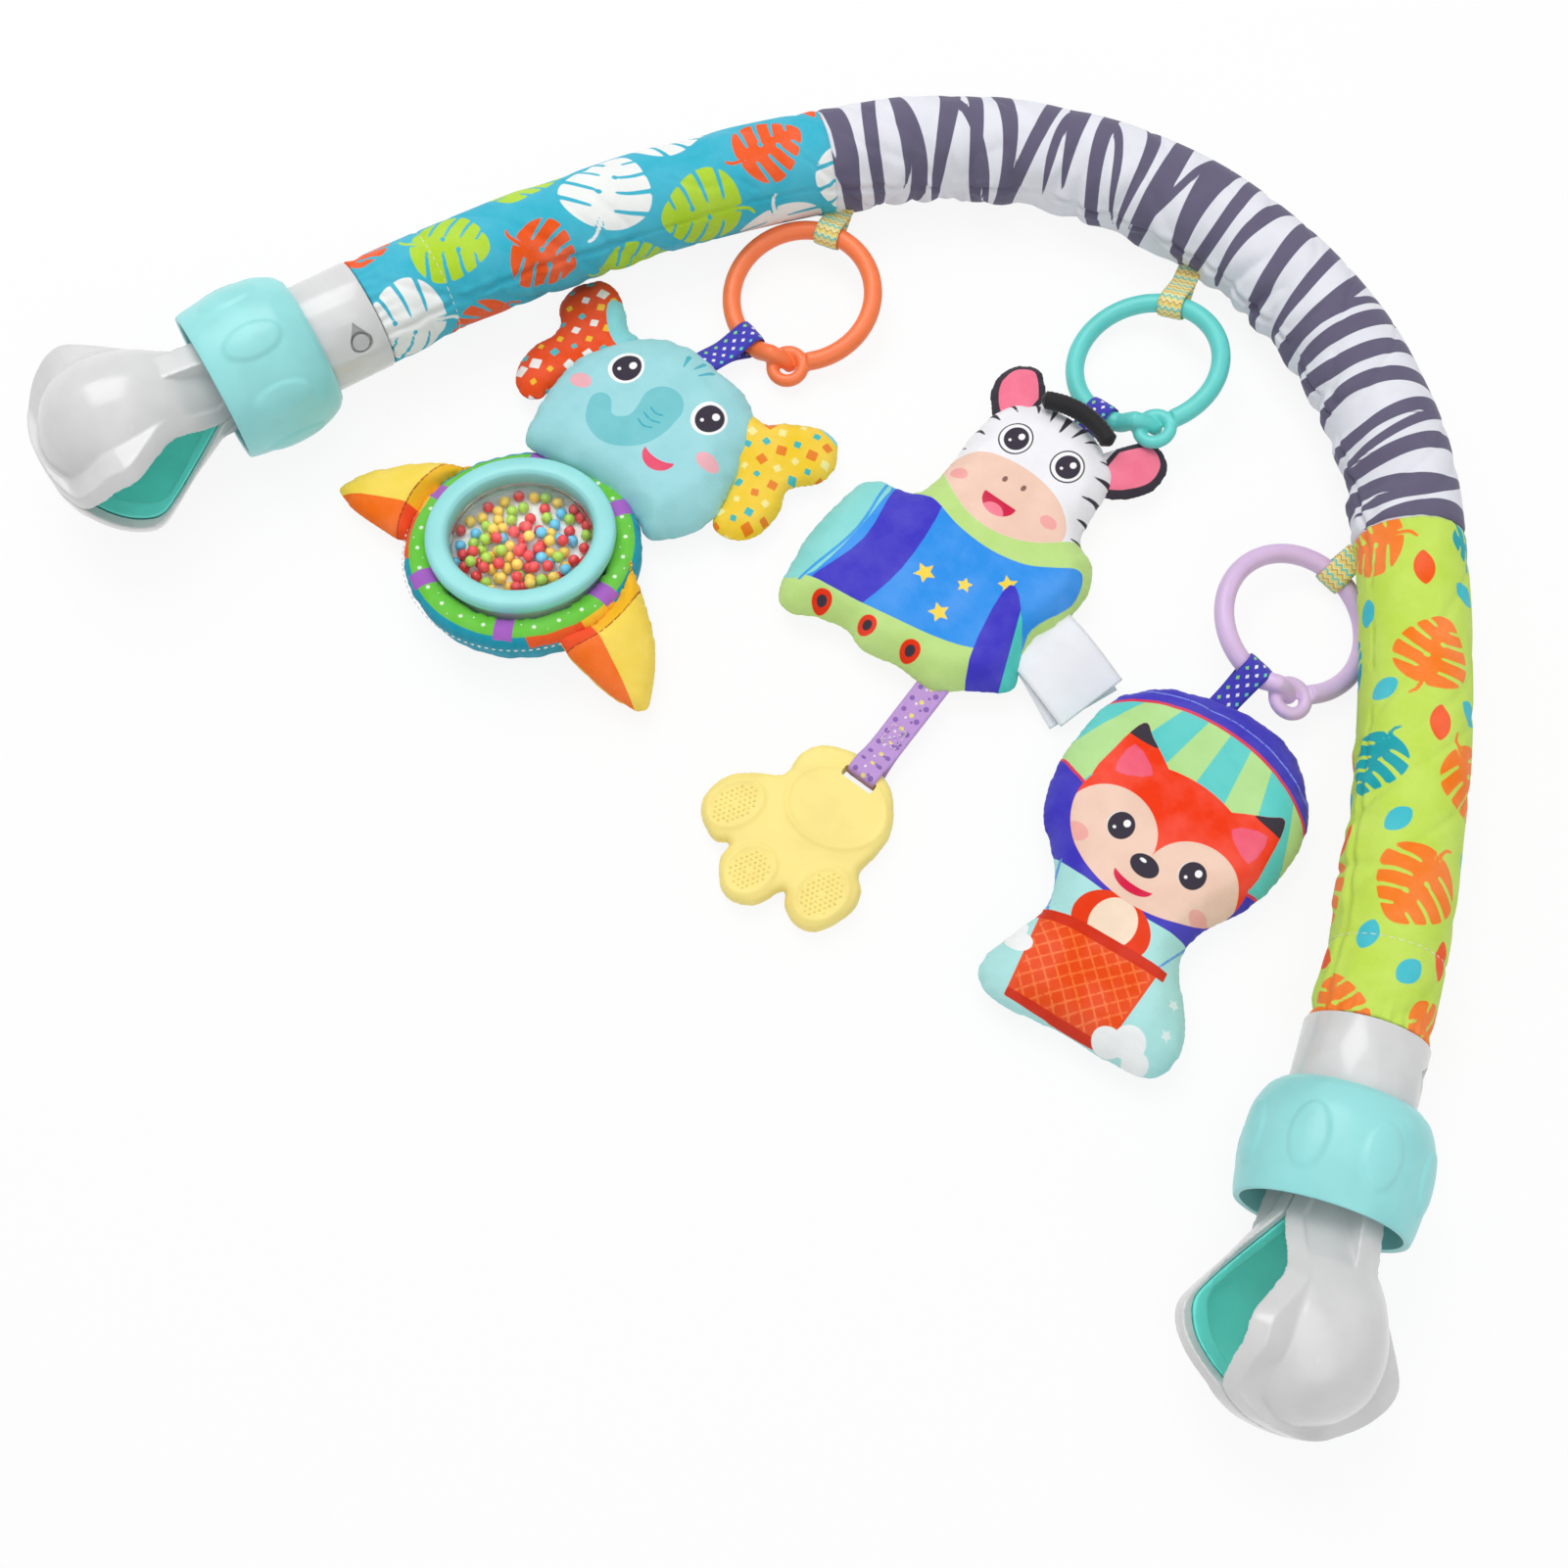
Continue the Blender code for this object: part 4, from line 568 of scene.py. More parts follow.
def sleeve_radius(run, turn, gathers):
    """The cloth's distance from the centreline: folds on the inner side, pinched seams and gathered ends."""
    u, v = run / MM, turn * SLEEVE_RADIUS / MM
    inner = max(0.0, -math.sin(turn)) ** 1.3
    bend = 1.0 if abs(run) < 0.15 else 0.45
    radius = 20.3 + 0.7 * fold_noise(u, v, 3.1, 34, 26)
    puffs = min(abs(fold_noise(u, v + 0.2 * u, 7.7, 15, 42)) * 9.0, 3.0)
    radius += inner * bend * (puffs - 1.9)
    diagonal = abs(fold_noise(u * 0.8 + v * 0.7, v * 0.6 - u * 0.5, 1.3, 24, 70))
    radius += (0.35 - 1.15 * max(0.0, 1 - 7 * diagonal) ** 1.4) * (0.65 + 0.5 * inner)
    crown = min(1.0, max(0.0, (175 - abs(u)) / 40))
    seam_line = v + 23.5 + 7.5 * crown + 2.2 * fold_noise(u, 0, 4.4, 34, 9)
    radius -= 1.5 * math.exp(-((seam_line / 0.8) ** 2))
    radius += 0.55 * math.exp(-(((abs(seam_line) - 2.6) / 1.6) ** 2)) * (1 + fold_noise(u, v, 6.1, 5.2, 20))
    for seam in (-SEAM_RUN, SEAM_RUN):
        away = abs(u - seam / MM)
        pucker = fold_noise(v, u, 5.5, 2.6, 30)
        radius -= 0.75 * math.exp(-((away / 1.1) ** 2))
        radius += 0.5 * pucker * math.exp(-away / 5.0)
    for edge in gathers:
        away = abs(u - edge / MM)
        if away < 34:
            ruffle = math.sin(turn * 31 + 2.2 * fold_noise(v, u, 9.1, 9, 12))
            radius += 0.75 * ruffle * math.exp(-away / 5.0)
            radius -= 0.7 * math.exp(-(((away - 4.5) / 2.6) ** 2))
            radius -= 0.55 * math.exp(-(((away - 30) / 1.2) ** 2))
            radius += 0.22 * fold_noise(v, u, 2.2, 2.2, 14) * math.exp(-(((away - 30) / 5) ** 2))
    # Room for the rings as they swing
    most = 20.1 + 0.2 * max(0.0, 172 - abs(u), abs(u) - 250) + 3 * max(0.0, math.sin(turn))
    return min(max(radius, 19.35), most) * MM


def build_sleeve(start, end, gathers=(), sides=128, step=0.001):
    """A tube of cloth along the arch, and each point's run and way round in millimetres, for the print."""
    rows = int(abs(end - start) / step) + 1
    points, spots = np.zeros((rows * sides, 3)), np.zeros((rows * sides, 2))
    for i in range(rows):
        run = start + (end - start) * i / (rows - 1)
        place, out, up, _ = arch_frame(run)
        for j in range(sides):
            turn = 2 * math.pi * j / sides - math.pi
            radius = sleeve_radius(run, turn, gathers)
            points[i * sides + j] = place + radius * (math.cos(turn) * up + math.sin(turn) * out)
            spots[i * sides + j] = run / MM, turn * SLEEVE_RADIUS / MM
    faces = grid_quads(rows, sides, True)
    points[:, 2] = np.maximum(points[:, 2], 0.0003)
    # The cloth turns in at both ends
    for row, run in ((0, start), (rows - 1, end)):
        base = len(points)
        ring = slice(row * sides, (row + 1) * sides)
        middle = np.array(arch_frame(run)[0])
        points = np.vstack([points, middle + (points[ring] - middle) * 0.90])
        spots = np.vstack([spots, spots[ring]])
        for j in range(sides):
            k = (j + 1) % sides
            quad = (row * sides + j, base + j, base + k, row * sides + k)
            faces.append(quad if row == 0 else quad[::-1])
    return outward(mesh_from(points, faces)), spots


def stripes(spots):
    """Wedge-shaped stripes across the sleeve, each from one edge of the print, some of them forked."""
    dice = random.Random(11)
    result = np.full(len(spots), 9.0)
    u, v = spots.T
    position = -176.0
    side = 1
    while position < 180:
        lean = dice.uniform(-0.16, 0.16)
        sway = dice.uniform(1.2, 2.8)
        phase = dice.uniform(0, 6.3)
        wide = dice.uniform(5.6, 8.4)
        start = dice.choice((-62, -52, -40, -26)) * side
        share = np.clip((v * side - start * side) / dice.uniform(42, 60), 0, 1)
        middle = position + lean * v + sway * np.sin(v / 14.0 + phase)
        width = wide * np.sqrt(share) * (1 - 0.25 * np.clip((v * side - 30) / 30, 0, 1))
        result = np.minimum(result, np.abs(u - middle) - width / 2 + np.where(share <= 0, 2.0, 0.0))
        if dice.random() < 0.55:
            fork = middle + side * (v * side - start * side + 6) * dice.uniform(-0.34, 0.34)
            inner = np.clip((v * side - start * side + 2) / 30, 0, 1) * np.clip((34 - v * side) / 20, 0, 1)
            fork = np.abs(u - fork) - wide * 0.3 * inner + np.where(inner <= 0, 2.0, 0.0)
            result = np.minimum(result, fork)
        position += dice.uniform(12.4, 16.2)
        side = -side
    return result


SLEEVE_ROUND = 129.4


def jungle(spots, places):
    """The nearest distance to any of some leaves: (kind, run, way round, angle, length, width)."""
    result = np.full(len(spots), 9.0)
    for kind, u, v, angle, length, width in places:
        for wrap in (-SLEEVE_ROUND, 0, SLEEVE_ROUND):
            if abs(v + wrap) > 95:
                continue
            shape = split_leaf if kind == "split" else small_leaf
            result = np.minimum(result, shape(spots, (u, v + wrap), angle, length, width))
    return result



def wrapped_distance(first, second):
    across = abs(first[1] - second[1]) % SLEEVE_ROUND
    return math.hypot(first[0] - second[0], min(across, SLEEVE_ROUND - across))


def scattered(seed, low, high, broad, small, pitch):
    """Broad leaves on a loose staggered grid with small ones in the room between, as (colour, leaf) pairs."""
    dice = random.Random(seed)
    found, middles = [], []
    column = 0
    u = low
    while u < high:
        for row in range(3):
            v = -SLEEVE_ROUND / 2 + (row + 0.5 * (column % 2)) * SLEEVE_ROUND / 3
            colour, length, width = broad[(row + 2 * column) % len(broad)]
            spread = dice.uniform(0.94, 1.06)
            place = (u + dice.uniform(-2, 2), v + dice.uniform(-2, 2))
            found.append((colour, ("split", *place, dice.uniform(0, 360), length * spread, width * spread)))
            middles.append((place, length / 2 + 2.5))
        u += pitch
        column += 1
    for _ in range(1500 if small else 0):
        place = (dice.uniform(low, high), dice.uniform(-SLEEVE_ROUND / 2, SLEEVE_ROUND / 2))
        if all(wrapped_distance(place, middle) > reach + 6.5 for middle, reach in middles):
            colour, length, width = small[len(middles) % len(small)]
            found.append((colour, ("small", *place, dice.uniform(0, 360), length, width)))
            middles.append((place, 10.0))
    return found


def dress_leg(side, sign, top, leg, slot, base, inks, seed, broad, small, pitch):
    """A leg's printed sleeve and the stitches round its cuff."""
    start, end = sign * SEAM_RUN, sign * (FOOT_RUN - 0.0004)
    gathers = (sign * FOOT_RUN,)
    mesh, spots = build_sleeve(start, end, gathers)
    low, high = sorted((start / MM, end / MM))
    leaves = scattered(seed, low + 6, high + 12, broad, small, pitch)
    for number, (attribute, _) in enumerate(inks):
        store(mesh, attribute, jungle(spots, [leaf for colour, leaf in leaves if colour == number]))
    piece = mesh_object(f"sleeve_{side}", mesh, fabric(slot, base, inks))
    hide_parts(top, leg)
    _, _, _, along = arch_frame(sign * BEND_RUN)
    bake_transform(piece)
    run = sign * (FOOT_RUN - 0.030)
    place, out, up, _ = arch_frame(run)
    route = []
    for j in range(121):
        turn = 2 * math.pi * j / 120 - math.pi
        reach = sleeve_radius(run, turn, gathers) + 0.00012
        route.append(place + reach * (math.cos(turn) * up + math.sin(turn) * out))
    stitch_line(f"cuff_stitches_{side}", route, f"{side}_arm", THREAD, 0.0022, 0.0010, 0.00020)


def dress_sleeves():
    mesh, spots = build_sleeve(-SEAM_RUN, SEAM_RUN)
    store(mesh, "stripe", stripes(spots))
    zebra = fabric("zebra_fabric", "EAEBF3", [("stripe", "67627A")], tone=0.05)
    crown = mesh_object("sleeve_crown", mesh, zebra)
    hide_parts("sleeve_zebra")
    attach(crown, "arch")
    # Broad and small leaves are (ink, length, width)
    dress_leg(
        "left", -1, "sleeve_teal_top", "sleeve_teal", "teal_fabric", "4CBCD5",
        [("leaf_lime", "B9DE48"), ("leaf_white", "F6F8F6"), ("leaf_red", "F86B42")],
        seed=5, broad=[(0, 33, 30), (1, 34, 31), (2, 29, 26)], small=[], pitch=33.0,
    )
    dress_leg(
        "right", 1, "sleeve_lime_top", "sleeve_lime", "lime_fabric", "CBE866",
        [
            ("leaf_orange", "FF8B45"), ("leaf_teal", "2FAAB4"), ("leaf_coral", "FA6A3E"),
            ("leaf_sky", "52C6D4"),
        ],
        seed=24, broad=[(0, 29, 26), (0, 30, 27), (1, 25, 22)], small=[(2, 14.5, 8), (3, 12, 8)], pitch=47.0,
    )


# Clamps


def clamp_matrix(side):
    swivel = JOINTS[f"{side}_clamp_swivel"]
    z_axis = Vector(swivel["axis"]).normalized()
    y_axis = Vector(JOINTS[f"{side}_jaw_upper_open"]["axis"]).normalized()
    return frame_matrix(Vector(swivel["pos_m"]), y_axis.cross(z_axis), y_axis, z_axis)


JAW_START = 0.053
JAW_LENGTH = 0.084
JAW_RADIUS = 0.030
FLANGE_HEIGHT = 0.0065
HALF_GAP = 0.0135
JAW_SHARES = (
    (1, 0), (0.995, 0.16), (0.98, 0.35), (0.91, 0.70), (0.79, 0.95), (0.62, 1.01), (0.43, 0.88), (0.25, 0.61),
    (0.10, 0.48), (0, 0.45),
)
FLANGE_SHARES = (
    (1, 0), (0.997, 0.22), (0.985, 0.47), (0.94, 0.80), (0.85, 1.08), (0.74, 1.25), (0.66, 1.27),
    (0.56, 1.12), (0.40, 0.85), (0.18, 0.56), (0.03, 0.46),
)
HOLLOW_SHARES = (
    (0.92, 0), (0.91, 0.30), (0.88, 0.55), (0.78, 0.80), (0.62, 0.88), (0.44, 0.74), (0.28, 0.42), (0.24, 0),
)
GAP_SHARES = (
    (0.16, 0), (0.20, 0), (0.30, 0.36), (0.40, 0.78), (0.50, 1), (0.72, 1), (0.83, 0.60), (0.93, 0),
    (0.97, 0),
)


def along_jaw(shares, change=0.0, tail=()):
    points = []
    for u, v in spline(shares, 6):
        radius = v * JAW_RADIUS + (change if v > 0 else 0)
        points.append((max(0.0, radius), JAW_START + u * JAW_LENGTH))
    return points + list(tail)


def gap_line(lift):
    touch = 0.00015
    u, v = spline(GAP_SHARES, 6).T
    heights = touch + np.maximum(0, v) * (HALF_GAP - touch) + lift
    return list(zip(JAW_START + u * JAW_LENGTH, heights))


def slab(low, high, half_width=0.07):
    """A plate over the parting line between two lifts, or up to a flat ceiling, across the jaw."""
    start, end = JAW_START - 0.004, JAW_START + JAW_LENGTH + 0.004
    floor = gap_line(low)
    floor = [(start, floor[0][1])] + floor + [(end, floor[-1][1])]
    if high is None:
        roof = [(start, 0.07), (end, 0.07)]
    else:
        roof = gap_line(high)
        roof = [(start, roof[0][1])] + roof + [(end, roof[-1][1])]
    outline = floor + roof[::-1]
    return prism([(h, y, z) for y in (-half_width, half_width) for z, h in outline])


def lens(shares, change=0.0, tail=()):
    return turned(along_jaw(shares, change, tail), 72)


def shortened(share):
    """Scales the jaw's length from its root."""
    return Matrix.Translation((0, 0, JAW_START * (1 - share))) @ Matrix.Diagonal((1, 1, share, 1))


def jaw_meshes():
    """The upper jaw and its liner, in the clamp's frame."""
    end = [(0.0, JAW_START)]
    pear = moved(lens(JAW_SHARES, -0.0006, end), shortened(0.975) @ Matrix.Diagonal((1.06, 0.985, 1, 1)))
    low = [(0.0, FLANGE_SHARES[-1][0] * JAW_LENGTH + JAW_START)]
    flange = boolean(lens(FLANGE_SHARES, 0, low), "INTERSECT", slab(-0.004, FLANGE_HEIGHT))
    rib_end = JAW_START + 0.040
    low_edge, high_edge = 0.008, 0.0245
    rib_outline = [
        (low_edge, JAW_START), (0.0203, JAW_START), (high_edge, rib_end - 0.006), (high_edge, rib_end),
        (low_edge, rib_end),
    ]
    rib = prism([(h, y, z) for y in (-0.0055, 0.0055) for h, z in rib_outline])
    jaw = boolean(pear, "UNION", flange, rib)
    jaw = boolean(jaw, "INTERSECT", slab(0.0, None))
    jaw = boolean(jaw, "DIFFERENCE", lens(HOLLOW_SHARES))
    pocket, pad, recess = (
        boolean(moved(lens(FLANGE_SHARES, change, low), shortened(share)), "INTERSECT", slab(floor, roof))
        for change, share, floor, roof in (
            (-0.0035, 0.955, -0.004, 0.0051), (-0.0038, 0.950, -0.0006, 0.0048),
            (-0.0090, 0.89, -0.004, 0.0034),
        )
    )
    jaw = boolean(jaw, "DIFFERENCE", pocket)
    pad = boolean(pad, "DIFFERENCE", recess)
    return rounded(jaw, 0.00055, 3), rounded(pad, 0.0006, 3)


def lock_ring_mesh():
    """A barrel with raised ovals round it."""
    shares = (
        (1, 0.91), (0.985, 0.93), (0.90, 0.955), (0.72, 0.985), (0.55, 1), (0.35, 0.99), (0.22, 0.965),
        (0.07, 0.88), (0.01, 0.80), (0, 0.79),
    )
    start, length, radius = 0.025, 0.042, 0.0316
    curve = spline(shares, 7)
    outer = [(v * radius, start + length * u) for u, v in curve]
    inner = [
        (0.0223, start), (0.0223, start + 0.016), (0.0253, start + 0.016), (0.0268, start + length - 0.0034),
        (0.0271, start + length - 0.0005),
    ]
    mesh = turned(outer + inner, 240)
    points = coordinates(mesh)
    around = np.degrees(np.arctan2(points[:, 1], points[:, 0]))
    outside = np.hypot(points[:, 0], points[:, 1])
    lift = np.zeros(len(points))
    for i in range(8):
        away = (around - 45 * i - 22.5 + 180) % 360 - 180
        flat = np.stack([away * math.pi / 180 * 31.0, (points[:, 2] - start - 0.53 * length) / MM], 1)
        distance = oval(flat, (0, 0), 6.2, 11.2)
        grip = 1.15 * np.clip(0.5 - distance / 1.1, 0, 1) ** 0.8
        lift = np.maximum(lift, grip * (0.72 + 0.28 * np.clip(-distance / 5, 0, 1)))
    lift = np.where(outside > 0.0275, lift, 0) * MM
    points[:, :2] *= (1 + lift / np.maximum(outside, 1e-6))[:, None]
    set_coordinates(mesh, points)
    return mesh


def collar_mesh():
    radius, length = 0.0216, 0.027
    edge = 0.0008
    collar = turned(
        [
            (radius - edge, length), (radius - edge * 0.3, length - edge * 0.3), (radius, length - edge),
            (radius, edge), (radius - edge * 0.3, edge * 0.3), (radius - edge, 0), (0.0165, 0),
            (0.0165, length),
        ],
        128,
    )
    outline = [(0.0084, 0.0)] + [
        (0.0045 * math.cos(a), 0.0045 * math.sin(a)) for a in np.radians(np.arange(58, 303, 7))
    ]
    recess = prism([(x, y, 0.010 + z) for x in (radius - 0.0042, radius + 0.004) for y, z in outline])
    return bevelled(boolean(collar, "DIFFERENCE", recess), 0.0004, 2, 50)


def dress_clamps():
    jaw, pad = jaw_meshes()
    ring = lock_ring_mesh()
    collar = collar_mesh()
    for side in ("left", "right"):
        matrix = clamp_matrix(side)
        for level, half_turn in (("upper", 0), ("lower", 180)):
            place = matrix @ turn_about("Z", half_turn)
            for kind, mesh, material, slot in (
                ("jaw", jaw, GREY, "grey_plastic"),
                ("jaw_pad", pad, TEAL_RUBBER, "teal_rubber"),
            ):
                piece = mesh_object(f"moulded_{kind}_{level}_{side}", moved(mesh, place), material)
                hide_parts(f"{kind}_{level}_{side}")
                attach(piece, f"{side}_jaw_{level}")
        piece = mesh_object(f"grip_ring_{side}", moved(ring, matrix), AQUA)
        piece.data.set_sharp_from_angle(angle=math.radians(50))
        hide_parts(f"lock_ring_{side}")
        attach(piece, f"{side}_lock_ring")
        low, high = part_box(f"collar_screw_{side}")
        z_axis = matrix.col[2].to_3d()
        out = (low + high) / 2 - matrix.translation
        out = (out - z_axis * out.dot(z_axis)).normalized()
        seat = frame_matrix(matrix.translation, out, z_axis.cross(out), z_axis)
        piece = mesh_object(f"smooth_collar_{side}", moved(collar, seat), GREY)
        piece.data.set_sharp_from_angle(angle=math.radians(40))
        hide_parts(f"collar_{side}")
        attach(piece, f"{side}_arm")
        frame["nodes"][f"clamp_hub_{side}"].data.materials[0] = GREY
        for name in (f"collar_screw_{side}", f"jaw_pin_{side}"):
            frame["nodes"][name].data.materials[0] = STEEL


def dress_hidden():
    foam = fabric("foam", "F1EAD2", (), threads=900.0, bump=0.8, creases=400.0)
    for name in ("foam_middle", "foam_left", "foam_right"):
        frame["nodes"][name].data.materials[0] = foam
    for name in ("core_middle", "core_left", "core_right"):
        frame["nodes"][name].data.materials[0] = CORE


# The rings and toys, placed from the same values as the part's
GAP = 0.0003
RING_RADIUS = 0.0289
BAND_RADIUS = 0.0038
EYE_RING_RADIUS = 0.0062
EYE_BAND_RADIUS = 0.0026
EYE_OFFSET = 0.0022
LOOP_CLEARANCE = 0.0008
LOOP_THICKNESS = 0.0008
RINGS = {
    "ring_orange": {
        "bearing": -69.4, "inset": 0.0446, "loop": -0.162, "lean": 9.6, "high": 7.0, "eye": 154.0,
    },
    "ring_aqua": {"bearing": 8.4, "inset": 0.0637, "loop": 0.0054, "lean": 16.0, "high": 68.0, "eye": 140.0},
    "ring_lilac": {
        "bearing": 70.9, "inset": 0.0362, "loop": 0.1672, "lean": 13.5, "high": -121.0, "eye": 150.0,
    },
}
TOYS = {
    "elephant": {"ring": "ring_orange", "wrap": 193.8, "run": 0.0185, "bearing": 173.0, "seam": 0.011},
    "zebra": {"ring": "ring_aqua", "wrap": 186.6, "run": 0.0078, "bearing": 180.0, "seam": 0.010},
    "fox": {"ring": "ring_lilac", "wrap": 184.0, "run": 0.0115, "bearing": 180.0, "seam": 0.011},
}


def bearing(degrees):
    """The level direction at this many degrees from +Y, clockwise seen from above."""
    return Vector((math.sin(math.radians(degrees)), math.cos(math.radians(degrees)), 0))


def bearing_to(start, end):
    return math.degrees(math.atan2(end.x - start.x, end.y - start.y))


def frame_at(place, z_axis, x_axis):
    z_axis = z_axis.normalized()
    y_axis = z_axis.cross(x_axis).normalized()
    return frame_matrix(place, y_axis.cross(z_axis), y_axis, z_axis)


def loop_root(name):
    """Where the ring's ribbon is sewn into the inner side of the sleeve."""
    drop = math.radians(25.0)
    x, y, heading = arch_point(RINGS[name]["loop"])
    side = -1 if RINGS[name]["loop"] < 0 else 1
    inset = SLEEVE_RADIUS * math.cos(drop)
    x += side * inset * math.cos(heading)
    y -= inset * math.sin(abs(heading))
    return ARCH_MATRIX @ Vector((x, y, -SLEEVE_RADIUS * math.sin(drop)))


def ring_frame(name):
    """The ring's middle, its Z square to the ring and its X toward the eye."""
    place = RINGS[name]
    high = bearing(place["high"])
    middle = ARCH_MIDDLE + bearing(place["bearing"]) * (ARCH_RADIUS - place["inset"])
    lean = math.radians(place["lean"])
    rise = RING_RADIUS * math.sin(lean)
    wrapped = BAND_RADIUS + LOOP_CLEARANCE + LOOP_THICKNESS + GAP
    wraps = [toy["wrap"] for toy in TOYS.values() if toy["ring"] == name]
    wraps.append(bearing_to(middle, loop_root(name)))
    needs = [wrapped - rise * math.cos(math.radians(wrap - place["high"])) for wrap in wraps]
    middle.z = max(needs + [BAND_RADIUS + GAP + rise])
    square = Vector((0, 0, math.cos(lean))) - high * math.sin(lean)
    return frame_at(middle, square, bearing(place["eye"]))


def on_ring(matrix, towards):
    square = matrix.col[2].to_3d()
    across = (towards - square * towards.dot(square)).normalized()
    return matrix.translation + across * RING_RADIUS, square.cross(across)


def toy_place(name):
    """The bar of the toy's ribbon, the band's direction there, and the toy's top."""
    toy = TOYS[name]
    bar, along_bar = on_ring(ring_frame(toy["ring"]), bearing(toy["wrap"]))
    top = bar + bearing(toy["bearing"]) * toy["run"]
    top.z = toy["seam"]
    return bar, along_bar, top


def swept(route, radii, sides=24, up=Vector((0, 0, 1))):
    """A closed round bar along a route, capped flat at both ends."""
    points, faces = [], []
    count = len(route)
    for i in range(count):
        ahead = Vector(route[min(i + 1, count - 1)]) - Vector(route[max(i - 1, 0)])
        ahead.normalize()
        side = ahead.cross(up).normalized()
        top = side.cross(ahead)
        for j in range(sides):
            turn = 2 * math.pi * j / sides
            points.append(Vector(route[i]) + float(radii[i]) * (math.cos(turn) * side + math.sin(turn) * top))
    faces = grid_quads(count, sides, True)
    for row, order in ((0, 1), (count - 1, -1)):
        points.append(Vector(route[row]))
        ring = [row * sides + j for j in range(sides)][::order]
        faces += [(len(points) - 1, ring[j], ring[(j + 1) % sides]) for j in range(sides)]
    return outward(mesh_from(points, faces))


def link_ring_mesh():
    """An open ring whose one end is an eye and whose other end hooks down into it."""
    route, radii = [], []
    for i in range(181):
        turn = math.radians(15 + i * 331 / 180)
        near = max(0.0, 1 - (360 - math.degrees(turn)) / 26)
        lift = 0.0046 * math.sin(min(near, 1.0) * math.pi * 0.62)
        route.append((RING_RADIUS * math.cos(turn), RING_RADIUS * math.sin(turn), lift))
        radii.append(BAND_RADIUS * (1 - 0.12 * near))
    end = route[-1]
    middle = RING_RADIUS + EYE_OFFSET
    for share in (0.25, 0.5, 0.75, 1.0):
        x, y = end[0] + (middle - end[0]) * share * 0.6, end[1] + (0.8 * MM - end[1]) * share
        route.append((x, y, end[2] - 0.0062 * share**1.7))
        radii.append(BAND_RADIUS * (0.9 - 0.16 * share))
    for share, size in ((0.4, 0.86), (0.75, 0.6), (0.95, 0.28)):
        last, before = Vector(route[-1]), Vector(route[-2])
        route.append(tuple(last + (last - before).normalized() * 0.0011 * share))
        radii.append(BAND_RADIUS * 0.74 * size)
    band = swept(route, radii)
    eye = moved(torus(EYE_RING_RADIUS, EYE_BAND_RADIUS, 64, 16), Matrix.Translation((middle, 0, 0)))
    return rounded(merged(band, eye), 0.00055, 4)


def strap(route, across, width, thickness, sides=7):
    """A ribbon along a route; each point keeps its place along and across it, in millimetres."""
    route = [Vector(p) for p in route]
    count = len(route)
    half = thickness / 2
    loop = []
    for i in range(sides):
        w = -1 + 2 * i / (sides - 1)
        loop.append((w * width / 2, half * (0.35 if abs(w) == 1 else 1.0)))
    loop += [(w, -h) for w, h in loop[::-1]]
    points, alongs, acrosses = [], [], []
    run = 0.0
    for i in range(count):
        ahead = (route[min(i + 1, count - 1)] - route[max(i - 1, 0)]).normalized()
        side = (across - ahead * across.dot(ahead)).normalized()
        top = ahead.cross(side)
        if i:
            run += (route[i] - route[i - 1]).length
        for w, h in loop:
            points.append(route[i] + side * w + top * h)
            alongs.append(run / MM)
            acrosses.append(w / MM)
    size = len(loop)
    faces = grid_quads(count, size, True)
    faces.append(tuple(range(size))[::-1])
    faces.append(tuple((count - 1) * size + j for j in range(size)))
    mesh = outward(mesh_from(points, faces))
    store(mesh, "along", alongs)
    store(mesh, "across", acrosses)
    return mesh, run


def loop_route(reach, half_length, half_height, thickness, square=1.0):
    """A ribbon's route round a bar, in the plane square to it: out on one side and back on the other."""
    join = min(half_length + LOOP_CLEARANCE + 0.006, reach - LOOP_CLEARANCE)
    lay = thickness / 2 + 0.00003
    turns = np.radians(np.arange(60, 301, 8))
    bends = np.stack([np.cos(turns), np.sin(turns)], 1)
    bends = np.sign(bends) * np.abs(bends) ** square * (np.array([half_length, half_height]) + thickness / 2)
    runs = (reach, (reach + join) / 2, join)
    return spline([(u, lay) for u in runs] + list(bends) + [(u, -lay) for u in runs[::-1]], 4)


def ribbon_material(name, base, pattern):
    """Woven ribbon: pattern(tree, along, across) gives (mask, colour) layers."""
    material, tree, shader = new_material(name)
    along, across = stored(tree, "along"), stored(tree, "across")
    colour = mixed(tree, 0.0, linear(base), linear(base))
    for mask, code in pattern(tree, along, across):
        colour = mixed(tree, mask, colour, linear(code))
    weave = node(tree, "ShaderNodeGroup", node_tree=WEAVE)
    ribs = math_node(tree, "SINE", math_node(tree, "MULTIPLY", along, 14.0))
    height = math_node(tree, "ADD", math_node(tree, "MULTIPLY", ribs, 0.25), weave.outputs["Height"])
    normal = bumped(tree, height, 0.5, 0.0003)
    feed(tree, shader, {"Base Color": colour, "Normal": normal, "Roughness": 0.7, "Sheen Weight": 0.2})
    return material


def wrapped_share(tree, value, pitch, shift=0.0):
    """The place within a repeat, from -0.5 to 0.5."""
    scaled = math_node(tree, "ADD", math_node(tree, "DIVIDE", value, pitch), shift)
    return math_node(tree, "SUBTRACT", math_node(tree, "FRACT", scaled), 0.5)


def below(tree, value, limit, soft=0.12):
    return faded(tree, value, limit - soft, limit + soft)


def diamonds(tree, along, across, centre, pitch, half_length, half_width, shift):
    """Diamonds in a row along the ribbon."""
    u = math_node(tree, "ABSOLUTE", wrapped_share(tree, along, pitch, shift))
    v = math_node(tree, "ABSOLUTE", math_node(tree, "SUBTRACT", across, centre))
    reach = math_node(tree, "MULTIPLY_ADD", u, pitch / half_length, math_node(tree, "DIVIDE", v, half_width))
    return below(tree, reach, 1.0)


